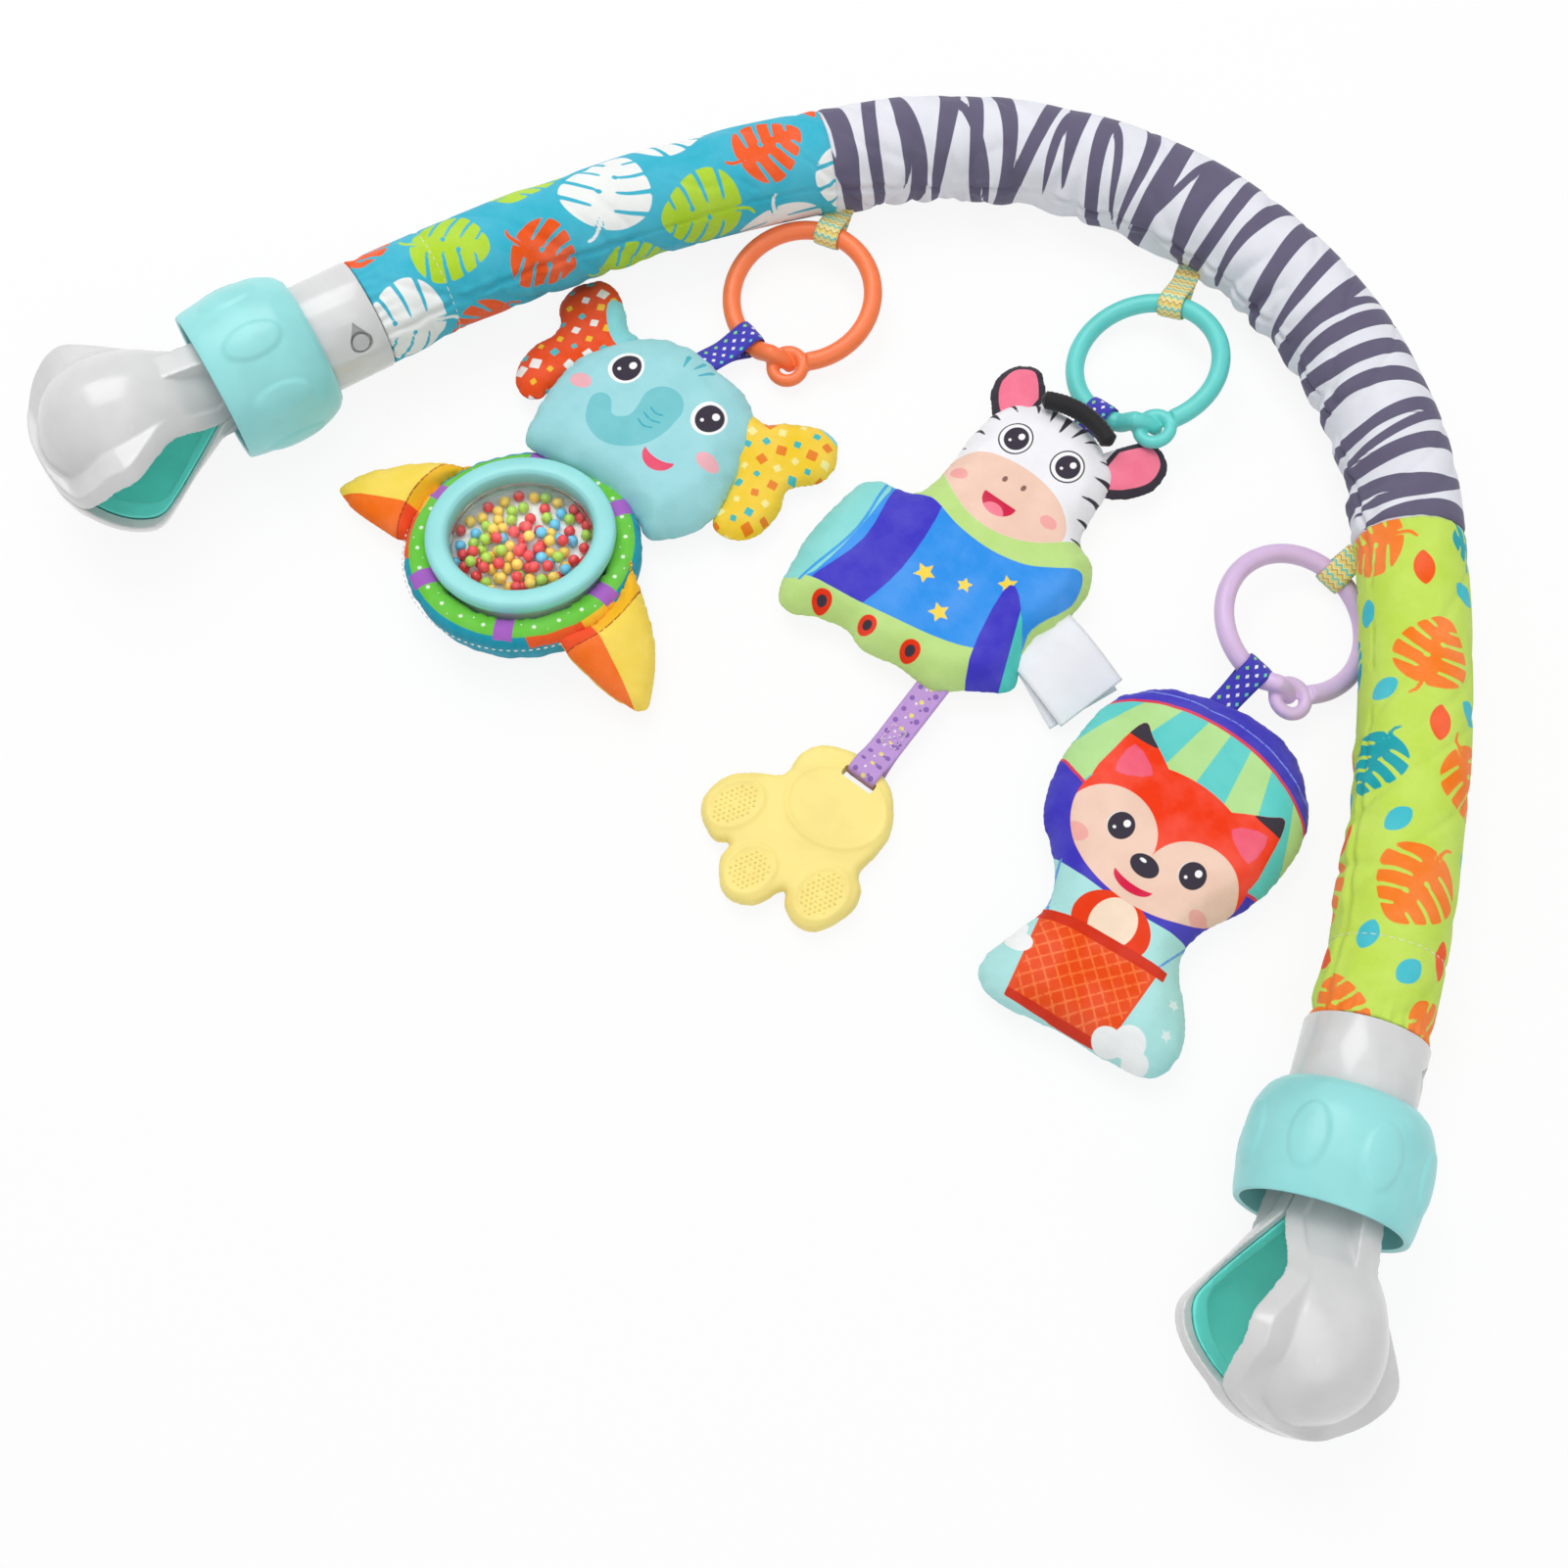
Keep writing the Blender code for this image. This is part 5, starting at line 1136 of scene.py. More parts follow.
def blue_pattern(tree, along, across):
    rows = ((-3.2, 0.0, "8BDD7A"), (-0.9, 0.5, "F6F4FA"), (1.4, 0.05, "F6F4FA"), (3.7, 0.5, "6FD8C4"))
    return [(diamonds(tree, along, across, row, 5.2, 1.05, 0.75, shift), code) for row, shift, code in rows]


def zigzag_pattern(tree, along, across):
    wave = math_node(tree, "ABSOLUTE", wrapped_share(tree, across, 2.8))
    place = math_node(tree, "MULTIPLY_ADD", wave, 2.6, along)
    rows = []
    for shift, pitch, half, code in (
        (0.0, 5.0, 0.62, "7CCFC6"), (0.5, 5.0, 0.34, "CFA85A"), (0.25, 2.5, 0.2, "FBF3CB"),
    ):
        line = math_node(tree, "MULTIPLY", wrapped_share(tree, place, pitch, shift), pitch)
        rows.append((below(tree, math_node(tree, "ABSOLUTE", line), half), code))
    return rows


def dotted_pattern(tree, along, across):
    rows = []
    for centre, pitch, size, shift, code in (
        (-3.6, 5.3, 1.0, 0.1, "8A63B4"), (0.4, 6.4, 0.9, 0.6, "F3E37C"), (3.4, 6.1, 1.1, 0.3, "8A63B4"),
        (1.9, 5.7, 0.55, 0.85, "8A63B4"), (-1.0, 6.7, 0.5, 0.45, "F4ECF8"),
    ):
        u = math_node(tree, "MULTIPLY", wrapped_share(tree, along, pitch, shift), pitch)
        v = math_node(tree, "SUBTRACT", across, centre)
        square = math_node(tree, "MULTIPLY_ADD", u, u, math_node(tree, "MULTIPLY", v, v))
        away = math_node(tree, "SQRT", square)
        rows.append((below(tree, away, size), code))
    return rows


def dress_rings():
    ring = link_ring_mesh()
    zigzag = ribbon_material("zigzag_ribbon", "F3DE7E", zigzag_pattern)
    for name, material, slot, loop in (
        ("ring_orange", ORANGE, "orange_plastic", "hang_loop_left"),
        ("ring_aqua", AQUA_BAND, "aqua_plastic", "hang_loop_middle"),
        ("ring_lilac", LILAC, "lilac_plastic", "hang_loop_right"),
    ):
        matrix = ring_frame(name)
        piece = mesh_object(f"link_{name}", moved(ring, matrix), material)
        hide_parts(name)
        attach(piece, name.split("_")[1] + "_ring")
        sewn = loop_root(name)
        bar, along_bar = on_ring(matrix, bearing(bearing_to(matrix.translation, sewn)))
        opening = BAND_RADIUS + LOOP_CLEARANCE
        reach = (sewn - bar).length + 0.002
        seat = frame_at(bar, along_bar, sewn - bar)
        route = [seat @ Vector((u, v, 0)) for u, v in loop_route(reach, opening, opening, LOOP_THICKNESS)]
        mesh, length = strap(route, along_bar, 0.010, LOOP_THICKNESS)
        piece = mesh_object(loop.replace("hang", "woven"), mesh, zigzag)
        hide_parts(loop)
        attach(piece, "arch")


def even(outline, spacing):
    """A closed outline at an even spacing."""
    outline = np.asarray(outline, float)
    closed = np.vstack([outline, outline[:1]])
    runs = np.concatenate([[0], np.cumsum(np.hypot(*np.diff(closed, axis=0).T))])
    count = max(8, int(runs[-1] / spacing))
    spots = np.linspace(0, runs[-1], count, endpoint=False)
    return np.stack([np.interp(spots, runs, closed[:, k]) for k in (0, 1)], 1)


def edge_place(points, outline):
    """How deep inside a closed outline each point is, and how far along it its nearest point is."""
    best = np.full(len(points), 1e9)
    along = np.zeros(len(points))
    inside = np.zeros(len(points), bool)
    run = 0.0
    for start, end in zip(outline, np.roll(outline, -1, 0)):
        line = end - start
        length = math.hypot(*line)
        share = np.clip(((points - start) @ line) / max(length**2, 1e-12), 0, 1)
        away = np.hypot(*(points - start - share[:, None] * line).T)
        closer = away < best
        best = np.where(closer, away, best)
        along = np.where(closer, run + share * length, along)
        if start[1] != end[1]:
            crosses = (start[1] > points[:, 1]) != (end[1] > points[:, 1])
            inside ^= crosses & (start[0] + (points[:, 1] - start[1]) * line[0] / line[1] > points[:, 0])
        run += length
    return np.where(inside, best, -best), along


def pillow(outline, rise, drop, shoulder, seam, spacing=3.2, inset=1.0, puff=0.8, top_of=None):
    """A stuffed form in millimetres: two faces of cloth sewn together at the seam's height."""
    edge = even(outline, spacing)
    ahead = np.roll(edge, -1, 0) - np.roll(edge, 1, 0)
    normal = np.stack([ahead[:, 1], -ahead[:, 0]], 1) / np.hypot(*ahead.T)[:, None]
    area = 0.5 * np.sum(edge[:, 0] * np.roll(edge[:, 1], -1) - np.roll(edge[:, 0], -1) * edge[:, 1])
    edge = edge - normal * inset * (1 if area > 0 else -1)
    low, high = edge.min(0), edge.max(0)
    rows = []
    step = spacing * 0.87
    for j in range(int((high[1] - low[1]) / step) + 2):
        for i in range(int((high[0] - low[0]) / spacing) + 2):
            rows.append((low[0] + (i + 0.5 * (j % 2)) * spacing, low[1] + j * step))
    rows = np.array(rows)
    depth, _ = edge_place(rows, edge)
    rows = rows[depth > spacing * 0.55]
    flat = [Vector(p) for p in np.vstack([edge, rows])]
    count = len(edge)
    spots, _, triangles, _, _, _ = delaunay_2d_cdt(flat, [], [list(range(count))], 1, 1e-6)
    spots = np.array([tuple(p) for p in spots])
    depth, _ = edge_place(spots, edge)
    depth[:count] = 0
    swell = np.sqrt(1 - (1 - np.clip(depth / shoulder, 0, 1)) ** 2)
    heights = seam(spots)
    top = top_of(spots, depth, heights) if top_of else heights + rise * puff * swell
    bottom = np.maximum(heights - drop * puff * swell, 0.35)
    total = len(spots)
    index = np.arange(total)
    lower = np.where(index < count, index, index + total)
    faces = [tuple(t) for t in triangles] + [tuple(int(lower[i]) for i in reversed(t)) for t in triangles]
    mesh = mesh_from(np.vstack([np.column_stack([spots, side]) for side in (top, bottom)]), faces)
    shape = bmesh.new()
    shape.from_mesh(mesh)
    bmesh.ops.delete(shape, geom=[v for v in shape.verts if not v.link_faces])
    bmesh.ops.recalc_face_normals(shape, faces=shape.faces)
    shape.to_mesh(mesh)
    shape.free()
    return mesh, edge


SLIDE = 0.7
CLOTH = {
    "quality": 6,
    "mass": 0.15,
    "tension_stiffness": 20,
    "compression_stiffness": 12,
    "shear_stiffness": 8,
    "bending_stiffness": 0.3,
    "tension_damping": 8,
    "compression_damping": 8,
    "use_pressure": True,
    "uniform_pressure_force": 4.0,
}


def inflated(mesh, limit, frames=20, floor=0.35):
    """The cloth blown up a little, so that it takes its own folds. The mesh is in millimetres."""
    before = coordinates(mesh)
    obj = bpy.data.objects.new("stuffed", mesh)
    bpy.context.scene.collection.objects.link(obj)
    obj.scale = (0.01, 0.01, 0.01)
    cloth = obj.modifiers.new("cloth", "CLOTH")
    for key, value in CLOTH.items():
        setattr(cloth.settings, key, value)
    cloth.settings.effector_weights.gravity = 0
    cloth.collision_settings.use_collision = False
    cloth.point_cache.frame_start = 1
    cloth.point_cache.frame_end = frames
    scene = bpy.context.scene
    for frame_number in range(1, frames + 1):
        scene.frame_set(frame_number)
    graph = bpy.context.evaluated_depsgraph_get()
    result = bpy.data.meshes.new_from_object(obj.evaluated_get(graph))
    bpy.data.objects.remove(obj, do_unlink=True)
    scene.frame_set(1)
    after = coordinates(result)
    change = after - before
    slide = np.hypot(change[:, 0], change[:, 1])
    change[:, :2] *= np.minimum(1, SLIDE / np.maximum(slide, 1e-9))[:, None]
    change[:, 2] = np.clip(change[:, 2], -limit, limit)
    after = before + change
    after[:, 2] = np.maximum(after[:, 2], floor)
    set_coordinates(result, after)
    return result


def finished(mesh, levels=2):
    return with_modifiers(mesh, ("SUBSURF", {"levels": levels, "render_levels": levels}))


def puckered(mesh, outline, seam, amount=0.5, reach=7.0, floor=0.3, seed=0.0, bead=0.5):
    """Small gathers along the sewn edge and a raised seam. Returns depth and seam height for each point."""
    points = coordinates(mesh)
    depth, along = edge_place(points[:, :2], outline)
    above = points[:, 2] - seam(points[:, :2])
    normals = np.empty(len(mesh.vertices) * 3, np.float32)
    mesh.vertex_normals.foreach_get("vector", normals)
    normals = normals.reshape(-1, 3).astype(float)
    near = np.exp(-np.maximum(depth, 0) / reach)
    ridges = np.array([fold_noise(a, d, seed + 4.2, 4.6, 18) for a, d in zip(along, depth)])
    broad = np.array([fold_noise(x, y, seed + 8.8, 16, 16) for x, y in points[:, :2]])
    shift = amount * near * ridges * 1.6 * np.clip(np.abs(above) / 3, 0.05, 1) + 0.25 * broad
    rib = np.exp(-((above / 0.7) ** 2)) * np.exp(-np.maximum(depth, 0) / 1.5)
    groove = np.exp(-(((np.abs(above) - 1.7) / 0.8) ** 2)) * np.exp(-np.maximum(depth, 0) / 2.2)
    shift += bead * rib - 0.35 * bead * groove
    points += normals * shift[:, None]
    points[:, 2] = np.maximum(points[:, 2], floor)
    set_coordinates(mesh, points)
    return depth, above


def printed(name, mesh, base, layers):
    """Prints layers of (colour, distances) on the mesh and gives their material."""
    inks = []
    for number, (code, distance) in enumerate(layers):
        store(mesh, f"ink_{number}", np.clip(distance, -3, 3))
        inks.append((f"ink_{number}", code))
    return fabric(name, base, inks)


def add_cushion(
    name, node_name, slot, body, outline, middle, rise, drop, shoulder, seam, layers_of, base, back,
    fill=0.6, limit=3.5, amount=0.36, **options,
):
    """A stuffed, printed piece. layers_of(spots, depth) gives its print in millimetres from the middle."""
    mesh, edge = pillow(outline, rise, drop, shoulder, seam, **options)
    mesh = finished(inflated(mesh, limit))
    depth, above = puckered(mesh, edge, seam, amount, seed=len(name))
    spots = coordinates(mesh)[:, :2] - np.array(middle)
    layers = layers_of(spots, depth) + [(back, above + 0.9)]
    material = printed(slot if slot not in bpy.data.materials else name, mesh, base, layers)
    mesh.transform(Matrix.Scale(MM, 4))
    piece = mesh_object(name, mesh, material)
    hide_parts(node_name)
    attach(piece, body)
    return piece


def sized(shares, width, height, middle, mirror=False):
    sign = -1 if mirror else 1
    points = [(middle[0] + sign * u * width, middle[1] + v * height) for u, v in shares]
    return spline(points[::-1] if mirror else points, 10, True)


def union(*parts):
    return np.minimum.reduce(parts)


def less(part, *others):
    return np.maximum.reduce([part] + [-other for other in others])


def both(*parts):
    return np.maximum.reduce(parts)


def eye(spots, x, y, size, white=1.25, look=(0.32, 0.38)):
    """An eye's layers: white, dark and two glints."""
    return [
        ("FEFEFE", oval(spots, (x, y), size * white, size * white * 1.08)),
        ("38323F", oval(spots, (x + 0.06 * size, y), size, size * 1.1)),
        ("FFFFFF", oval(spots, (x + look[0] * size, y + look[1] * size), size * 0.27, size * 0.3)),
        ("FFFFFF", oval(spots, (x - 0.3 * size, y - 0.4 * size), size * 0.14, size * 0.14)),
    ]


def level(height):
    return lambda spots: np.full(len(spots), height)


def leaning(middle, height, slope, heading):
    rise = bearing(heading) * slope
    return lambda spots: height + (spots[:, 0] - middle[0]) * rise.x + (spots[:, 1] - middle[1]) * rise.y


HEAD_SHARES = (
    (0, 0.50), (-0.15, 0.50), (-0.30, 0.42), (-0.45, 0.19), (-0.50, -0.05), (-0.46, -0.34), (-0.39, -0.49),
    (-0.24, -0.49), (0, -0.465), (0.20, -0.475), (0.36, -0.52), (0.50, -0.29), (0.49, -0.05), (0.41, 0.28),
    (0.25, 0.46),
)
EAR_SHARES = (
    (-0.25, 0.25), (-0.25, -0.10), (0.02, -0.10), (0.18, -0.28), (0.26, -0.45), (0.44, -0.50), (0.68, -0.45),
    (0.82, -0.34), (0.85, -0.16), (0.76, 0.02), (0.97, 0.17), (1, 0.33), (0.88, 0.44), (0.76, 0.50),
    (0.53, 0.50), (0.18, 0.39), (0, 0.30),
)
WING_SHARES = (
    (0.30, 0), (0.34, -0.27), (0.49, -0.33), (0.63, -0.35), (0.81, -0.35), (0.95, -0.32), (1, -0.27),
    (0.97, -0.18), (0.89, -0.05), (0.76, 0.09), (0.59, 0.20), (0.46, 0.24),
)
ZEBRA_SHARES = (
    (0.02, 0.50), (-0.09, 0.49), (-0.17, 0.45), (-0.22, 0.41), (-0.25, 0.31), (-0.25, 0.10), (-0.29, 0.03),
    (-0.40, 0.01), (-0.46, -0.04), (-0.48, -0.12), (-0.49, -0.24), (-0.47, -0.35), (-0.43, -0.46),
    (-0.34, -0.49), (-0.25, -0.46), (-0.13, -0.44), (-0.04, -0.46), (0.09, -0.44), (0.25, -0.44),
    (0.36, -0.38), (0.49, -0.31), (0.48, -0.24), (0.45, -0.16), (0.49, -0.06), (0.50, 0.06), (0.45, 0.15),
    (0.36, 0.19), (0.33, 0.29), (0.31, 0.40), (0.24, 0.45), (0.14, 0.49),
)
ZEBRA_EAR_SHARES = (
    (0.40, 0.40), (0.30, 0.10), (0.50, -0.12), (0.70, -0.08), (0.92, 0.15), (1, 0.38), (0.92, 0.62),
    (0.66, 0.70),
)
FOX_SHARES = (
    (-0.36, 0.42), (-0.47, 0.33), (-0.50, 0.22), (-0.50, 0.12), (-0.47, 0.02), (-0.42, -0.05), (-0.32, -0.11),
    (-0.24, -0.17), (-0.22, -0.24), (-0.25, -0.33), (-0.28, -0.42), (-0.24, -0.48), (-0.12, -0.50),
    (0.12, -0.47), (0.38, -0.45), (0.48, -0.41), (0.50, -0.33), (0.46, -0.26), (0.36, -0.18), (0.31, -0.12),
    (0.33, -0.04), (0.40, 0.06), (0.43, 0.16), (0.42, 0.30), (0.34, 0.40), (0.20, 0.48), (0.05, 0.50),
    (-0.10, 0.49), (-0.25, 0.46),
)
TEETHER_SHARES = (
    (0.04, 0.49), (-0.16, 0.43), (-0.24, 0.32), (-0.24, 0.18), (-0.36, 0.10), (-0.47, 0), (-0.50, -0.15),
    (-0.44, -0.25), (-0.31, -0.31), (-0.23, -0.28), (-0.22, -0.37), (-0.12, -0.48), (-0.02, -0.50),
    (0.09, -0.44), (0.15, -0.31), (0.21, -0.37), (0.32, -0.41), (0.43, -0.36), (0.50, -0.20), (0.48, -0.08),
    (0.41, -0.01), (0.42, 0.12), (0.40, 0.27), (0.26, 0.44),
)


def toy_strap(name, inside):
    bar, along_bar, _ = toy_place(name)
    opening = BAND_RADIUS + LOOP_CLEARANCE
    seat = frame_at(bar, along_bar, inside - bar)
    reach = (inside - bar).length
    route = [seat @ Vector((u, v, 0)) for u, v in loop_route(reach, opening, opening, LOOP_THICKNESS)]
    mesh, length = strap(route, along_bar, 0.0105, LOOP_THICKNESS)
    piece = mesh_object(f"woven_ribbon_{name}", mesh, BLUE_RIBBON)
    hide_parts(f"{name}_ribbon")
    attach(piece, name)


def elephant_print(spots, depth):
    trunk = spline([(2, 5), (2.5, -3), (0, -10), (-7, -15), (-14, -14), (-18, -8.5)], 6)
    layers = [("7CCAD2", stroke(spots, trunk, 8.6, 4.4))]
    for x, y, w in ((2.2, 1.5, 3.4), (2.3, -2.0, 3.8), (1.6, -5.6, 3.2)):
        crease = spline([(x - w, y + 0.5), (x, y - 0.5), (x + w, y + 0.6)], 4)
        layers.append(("4BB2C3", stroke(spots, crease, 0.42)))
    smile = less(oval(spots, (15, -12.5), 7.0, 6.4), oval(spots, (14.2, -8.0), 9.5, 6.2))
    layers.append(("EE5B78", smile))
    for x, y in ((-20, 10), (20, 12)):
        layers += eye(spots, x, y, 5.6)
    layers += [("F4B7C0", oval(spots, (-31, -5), 5.0, 3.4)), ("F4B7C0", oval(spots, (31, -3), 5.0, 3.4))]
    for x, y in ((-4.5, 30), (1.5, 32), (7, 30.5)):
        layers.append(("55B9C8", stroke(spots, [(x, y), (x * 0.6 + 0.5, y - 6)], 1.0, 0.3)))
    return layers


def checks(spots, seed, codes, pitch=6.9, size=1.9):
    """Small turned squares on a loose grid, one layer for each colour."""
    dice = random.Random(seed)
    low, high = spots.min(0), spots.max(0)
    groups = [np.full(len(spots), 9.0) for _ in codes]
    for j in range(int((high[1] - low[1]) / pitch) + 2):
        for i in range(int((high[0] - low[0]) / pitch) + 2):
            x = low[0] + (i + 0.5 * (j % 2) + dice.uniform(-0.14, 0.14)) * pitch
            y = low[1] + (j + dice.uniform(-0.14, 0.14)) * pitch
            kind = (i * 2 + j) % len(codes)
            near = local(spots, (x, y), dice.uniform(-28, 28))
            half = size * dice.uniform(0.75, 1.15) * (1.0 if kind == 0 else 0.72)
            groups[kind] = np.minimum(groups[kind], np.maximum(np.abs(near[:, 0]), np.abs(near[:, 1])) - half)
    return list(zip(codes, groups))


def star_print(spots, depth):
    radius = np.hypot(*spots.T)
    ring = both(radius - 43.2, 30 - radius)
    layers = []
    for mirror in (1, -1):
        side = spots * np.array([mirror, 1])
        fan = polygon(side, [(20, -2), (60, 4), (60, -40), (20, -26)])
        layers.append(("FFC93C", fan))
        layers.append(("F4622E", polygon(side, [(20, -9), (60, -17), (60, -44), (16, -26)])))
    layers.append(("74CC4E", ring))
    dots = []
    for i in range(26):
        for reach, size, shift in ((39.7, 0.85, 0), (41.6 if i % 2 else 37.9, 0.4, 0.12)):
            turn = 2 * math.pi * i / 26 + shift
            dots.append(oval(spots, (reach * math.cos(turn), reach * math.sin(turn)), size, size))
    layers.append(("E9F7DE", union(*dots)))
    tabs = [local(spots, (0, 0), 62 + 60 * i) for i in range(6)]
    tabs = [both(np.abs(near[:, 1]) - 3.6, np.abs(near[:, 0] - 39) - 5.4) for near in tabs]
    layers.append(("AC69C6", union(*tabs)))
    return layers


def wing_print(mirror):
    def layers_of(spots, depth):
        side = spots * np.array([-1 if mirror else 1, 1])
        lower = polygon(side, [(20, -6), (50, -13), (66, -20), (82, -28), (84, -60), (10, -60)])
        root = np.hypot(*side.T) - 50.5
        return [
            ("FF7D3A", lower),
            ("F9BF35", both(root, -lower)),
            ("F2552B", both(root, lower)),
            ("A8432A", np.abs(root) - 0.28),
        ]

    return layers_of


def rounded_copies(points, headings, radius, half_length, segments, rings, material, tones=0.0):
    """A small rounded shape at each point, its length along the heading, repeated by Geometry Nodes."""
    mesh = mesh_from(points, [])
    heading = mesh.attributes.new("heading", "FLOAT_VECTOR", "POINT")
    heading.data.foreach_set("vector", np.asarray(headings, np.float32).ravel())
    store(mesh, "tone", np.zeros(len(points)) + tones)
    tree = bpy.data.node_groups.new("repeat", "GeometryNodeTree")
    tree.interface.new_socket("Geometry", in_out="OUTPUT", socket_type="NodeSocketGeometry")
    tree.interface.new_socket("Geometry", in_out="INPUT", socket_type="NodeSocketGeometry")
    sizes = {}
    for label, size in (("Radius", radius), ("Half Length", half_length)):
        socket = tree.interface.new_socket(label, in_out="INPUT", socket_type="NodeSocketFloat")
        sizes[socket.identifier] = size
    start, end = tree.nodes.new("NodeGroupInput"), tree.nodes.new("NodeGroupOutput")
    shape = bpy.data.objects.new("shape", unit_ball(segments, rings))
    bpy.context.scene.collection.objects.link(shape)
    source = node(tree, "GeometryNodeObjectInfo", {"Object": shape})
    reader = node(tree, "GeometryNodeInputNamedAttribute", {"Name": "heading"}, data_type="FLOAT_VECTOR")
    turn = node(tree, "FunctionNodeAlignRotationToVector", {"Vector": reader.outputs["Attribute"]}, axis="Z")
    across, along = start.outputs["Radius"], start.outputs["Half Length"]
    scale = node(tree, "ShaderNodeCombineXYZ", {0: across, 1: across, 2: along})
    wiring = {"Points": start.outputs["Geometry"], "Instance": source.outputs["Geometry"]}
    wiring |= {"Rotation": turn.outputs[0], "Scale": scale.outputs[0]}
    copies = node(tree, "GeometryNodeInstanceOnPoints", wiring)
    real = node(tree, "GeometryNodeRealizeInstances", {"Geometry": copies.outputs[0]})
    coloured = node(tree, "GeometryNodeSetMaterial", {"Geometry": real.outputs[0], "Material": material})
    tree.links.new(coloured.outputs[0], end.inputs[0])
    obj = bpy.data.objects.new("copies", mesh)
    modifier = obj.modifiers.new("repeat", "NODES")
    modifier.node_group = tree
    for identifier, size in sizes.items():
        modifier[identifier] = size
    result = evaluated(obj)
    bpy.data.objects.remove(shape, do_unlink=True)
    return result


def unit_ball(segments, rings):
    angles = [math.pi * i / rings for i in range(1, rings)]
    return turned([(0, 1)] + [(math.sin(a), math.cos(a)) for a in angles] + [(0, -1)], segments)


def stitch_line(name, route, body, material, length=0.0022, gap=0.0014, radius=0.00022):
    """A row of stitches along a route in metres."""
    route = np.asarray([tuple(p) for p in route], float)
    runs = np.concatenate([[0], np.cumsum(np.linalg.norm(np.diff(route, axis=0), axis=1))])
    spots = np.arange(length / 2, runs[-1], length + gap)
    places, ahead = (
        np.stack([np.interp(spots + step, runs, route[:, k]) for k in range(3)], 1) for step in (0, 0.0004)
    )
    mesh = rounded_copies(places, ahead - places, radius, length / 2, 6, 6, material)
    piece = mesh_object(name, mesh, material)
    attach(piece, body)


def dress_elephant():
    star_height, star_radius, star_bearing, star_tilt = 14.5, 46.5, 142.3, 12.0
    _, _, top = toy_place("elephant")
    middle = top + Vector((-0.0055, -0.077 / 2, 0))
    star = middle + Vector((-0.0046, -0.0725, 0))
    star.z = star_height * MM
    mid = np.array(middle[:2]) / MM
    centre = np.array(star[:2]) / MM
    toy_strap("elephant", top + bearing(173.0) * 0.0085)
    head = sized(HEAD_SHARES, 91, 77, mid)
    add_cushion(
        "stuffed_head", "elephant_head", "elephant_fabric", "elephant", head, mid, 10.5, 10.5, 20,
        level(11.0), elephant_print, "A4DEE4", "A4DEE4", fill=0.7,
    )
    tilt = leaning(centre, star_height, math.tan(math.radians(star_tilt)), star_bearing)
    for side, mirror in (("left", True), ("right", False)):
        sign = -1 if mirror else 1
        root = mid + np.array([sign * 34.6, 10.8])
        ear = sized(EAR_SHARES, 34, 64, root, mirror)

        def ear_print(spots, depth, sign=sign, mirror=mirror):
            if mirror:
                inks = checks(spots, 3, ("F8F3EE", "59C1C8", "F7C548"))
                fold = polygon(spots, [(4, 30), (-14, 24), (-6, 12), (6, 8), (20, 20)], 4)
            else:
                inks = checks(spots, 8, ("F08A3C", "4FBFC2", "FBEFA0"))
                fold = polygon(spots, [(0, 26), (14, 30), (30, 29), (38, 40), (0, 42)], 4)
            return inks + [("8ED6DA", fold)]

        add_cushion(
            f"stuffed_ear_{side}", f"elephant_ear_{side}", "ear_fabric", "elephant", ear, root, 3.6, 3.2, 7,
            leaning(root, 11.0, -0.14, sign * 90), ear_print, "F15A34" if mirror else "FBD550", "8ED6DA",
            fill=0.3, spacing=2.6, inset=0.4, limit=1.5, amount=0.4,
        )
        wing = sized(WING_SHARES, 79, 79, centre, mirror)
        away = wing - centre
        reach = np.hypot(*away.T)
        wing = centre + away * np.maximum(1, 43.0 / reach)[:, None]
        wing_root = centre + np.array([sign * star_radius, 0])
        at_root = float(tilt(wing_root[None])[0])
        fall = (at_root - 6.5) / (79 - star_radius)
        add_cushion(
            f"stuffed_wing_{side}", f"star_wing_{side}", "wing_fabric", "elephant", wing, centre,
            6.5, at_root, 12, leaning(wing_root, at_root, -fall, sign * 90),
            wing_print(mirror), "FFE066", "F9BF35", fill=0.5, spacing=2.8, limit=2.5,
        )

    turns = np.radians(np.arange(0, 360, 5))
    edge = centre + star_radius * np.stack([np.cos(turns), np.sin(turns)], 1)

    def plateau(spots, depth, heights):
        radius = np.hypot(*(spots - centre).T)
        rise = 5.0 * np.sqrt(1 - (1 - np.clip(depth / 9.0, 0, 1)) ** 2)
        rise = np.where(radius < 37.5, 4.6, rise + 0.7 * np.exp(-(((radius - 41) / 2.5) ** 2)))
        return heights + np.where(radius < 34.0, -5.6, rise)

    mesh, edge = pillow(edge, 5.0, 29.0, 11.6, tilt, spacing=1.7, inset=0.3, top_of=plateau)
    mesh = finished(mesh, 1)
    depth, above = puckered(mesh, edge, tilt, 0.55, seed=2.0)
    spots = coordinates(mesh)[:, :2] - centre
    material = printed("star_fabric", mesh, "1F9DB6", star_print(spots, depth) + [("1F9DB6", above + 0.9)])
    mesh.transform(Matrix.Scale(MM, 4))
    body = mesh_object("stuffed_star", mesh, material)
    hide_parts("star_body")
    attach(body, "elephant")
    turns = np.radians(np.arange(195, 332, 2))
    hem = centre + (star_radius + 0.1) * np.stack([np.cos(turns), np.sin(turns)], 1)
    hem = np.column_stack([hem, tilt(hem) - 1.2]) * MM
    stitch_line("star_stitches", hem, "elephant", THREAD, 0.0016, 0.0012, 0.00028)
    tip = Matrix.Rotation(math.radians(-star_tilt), 4, bearing(star_bearing - 90))
    dress_rattle(Matrix.Translation(star) @ tip)


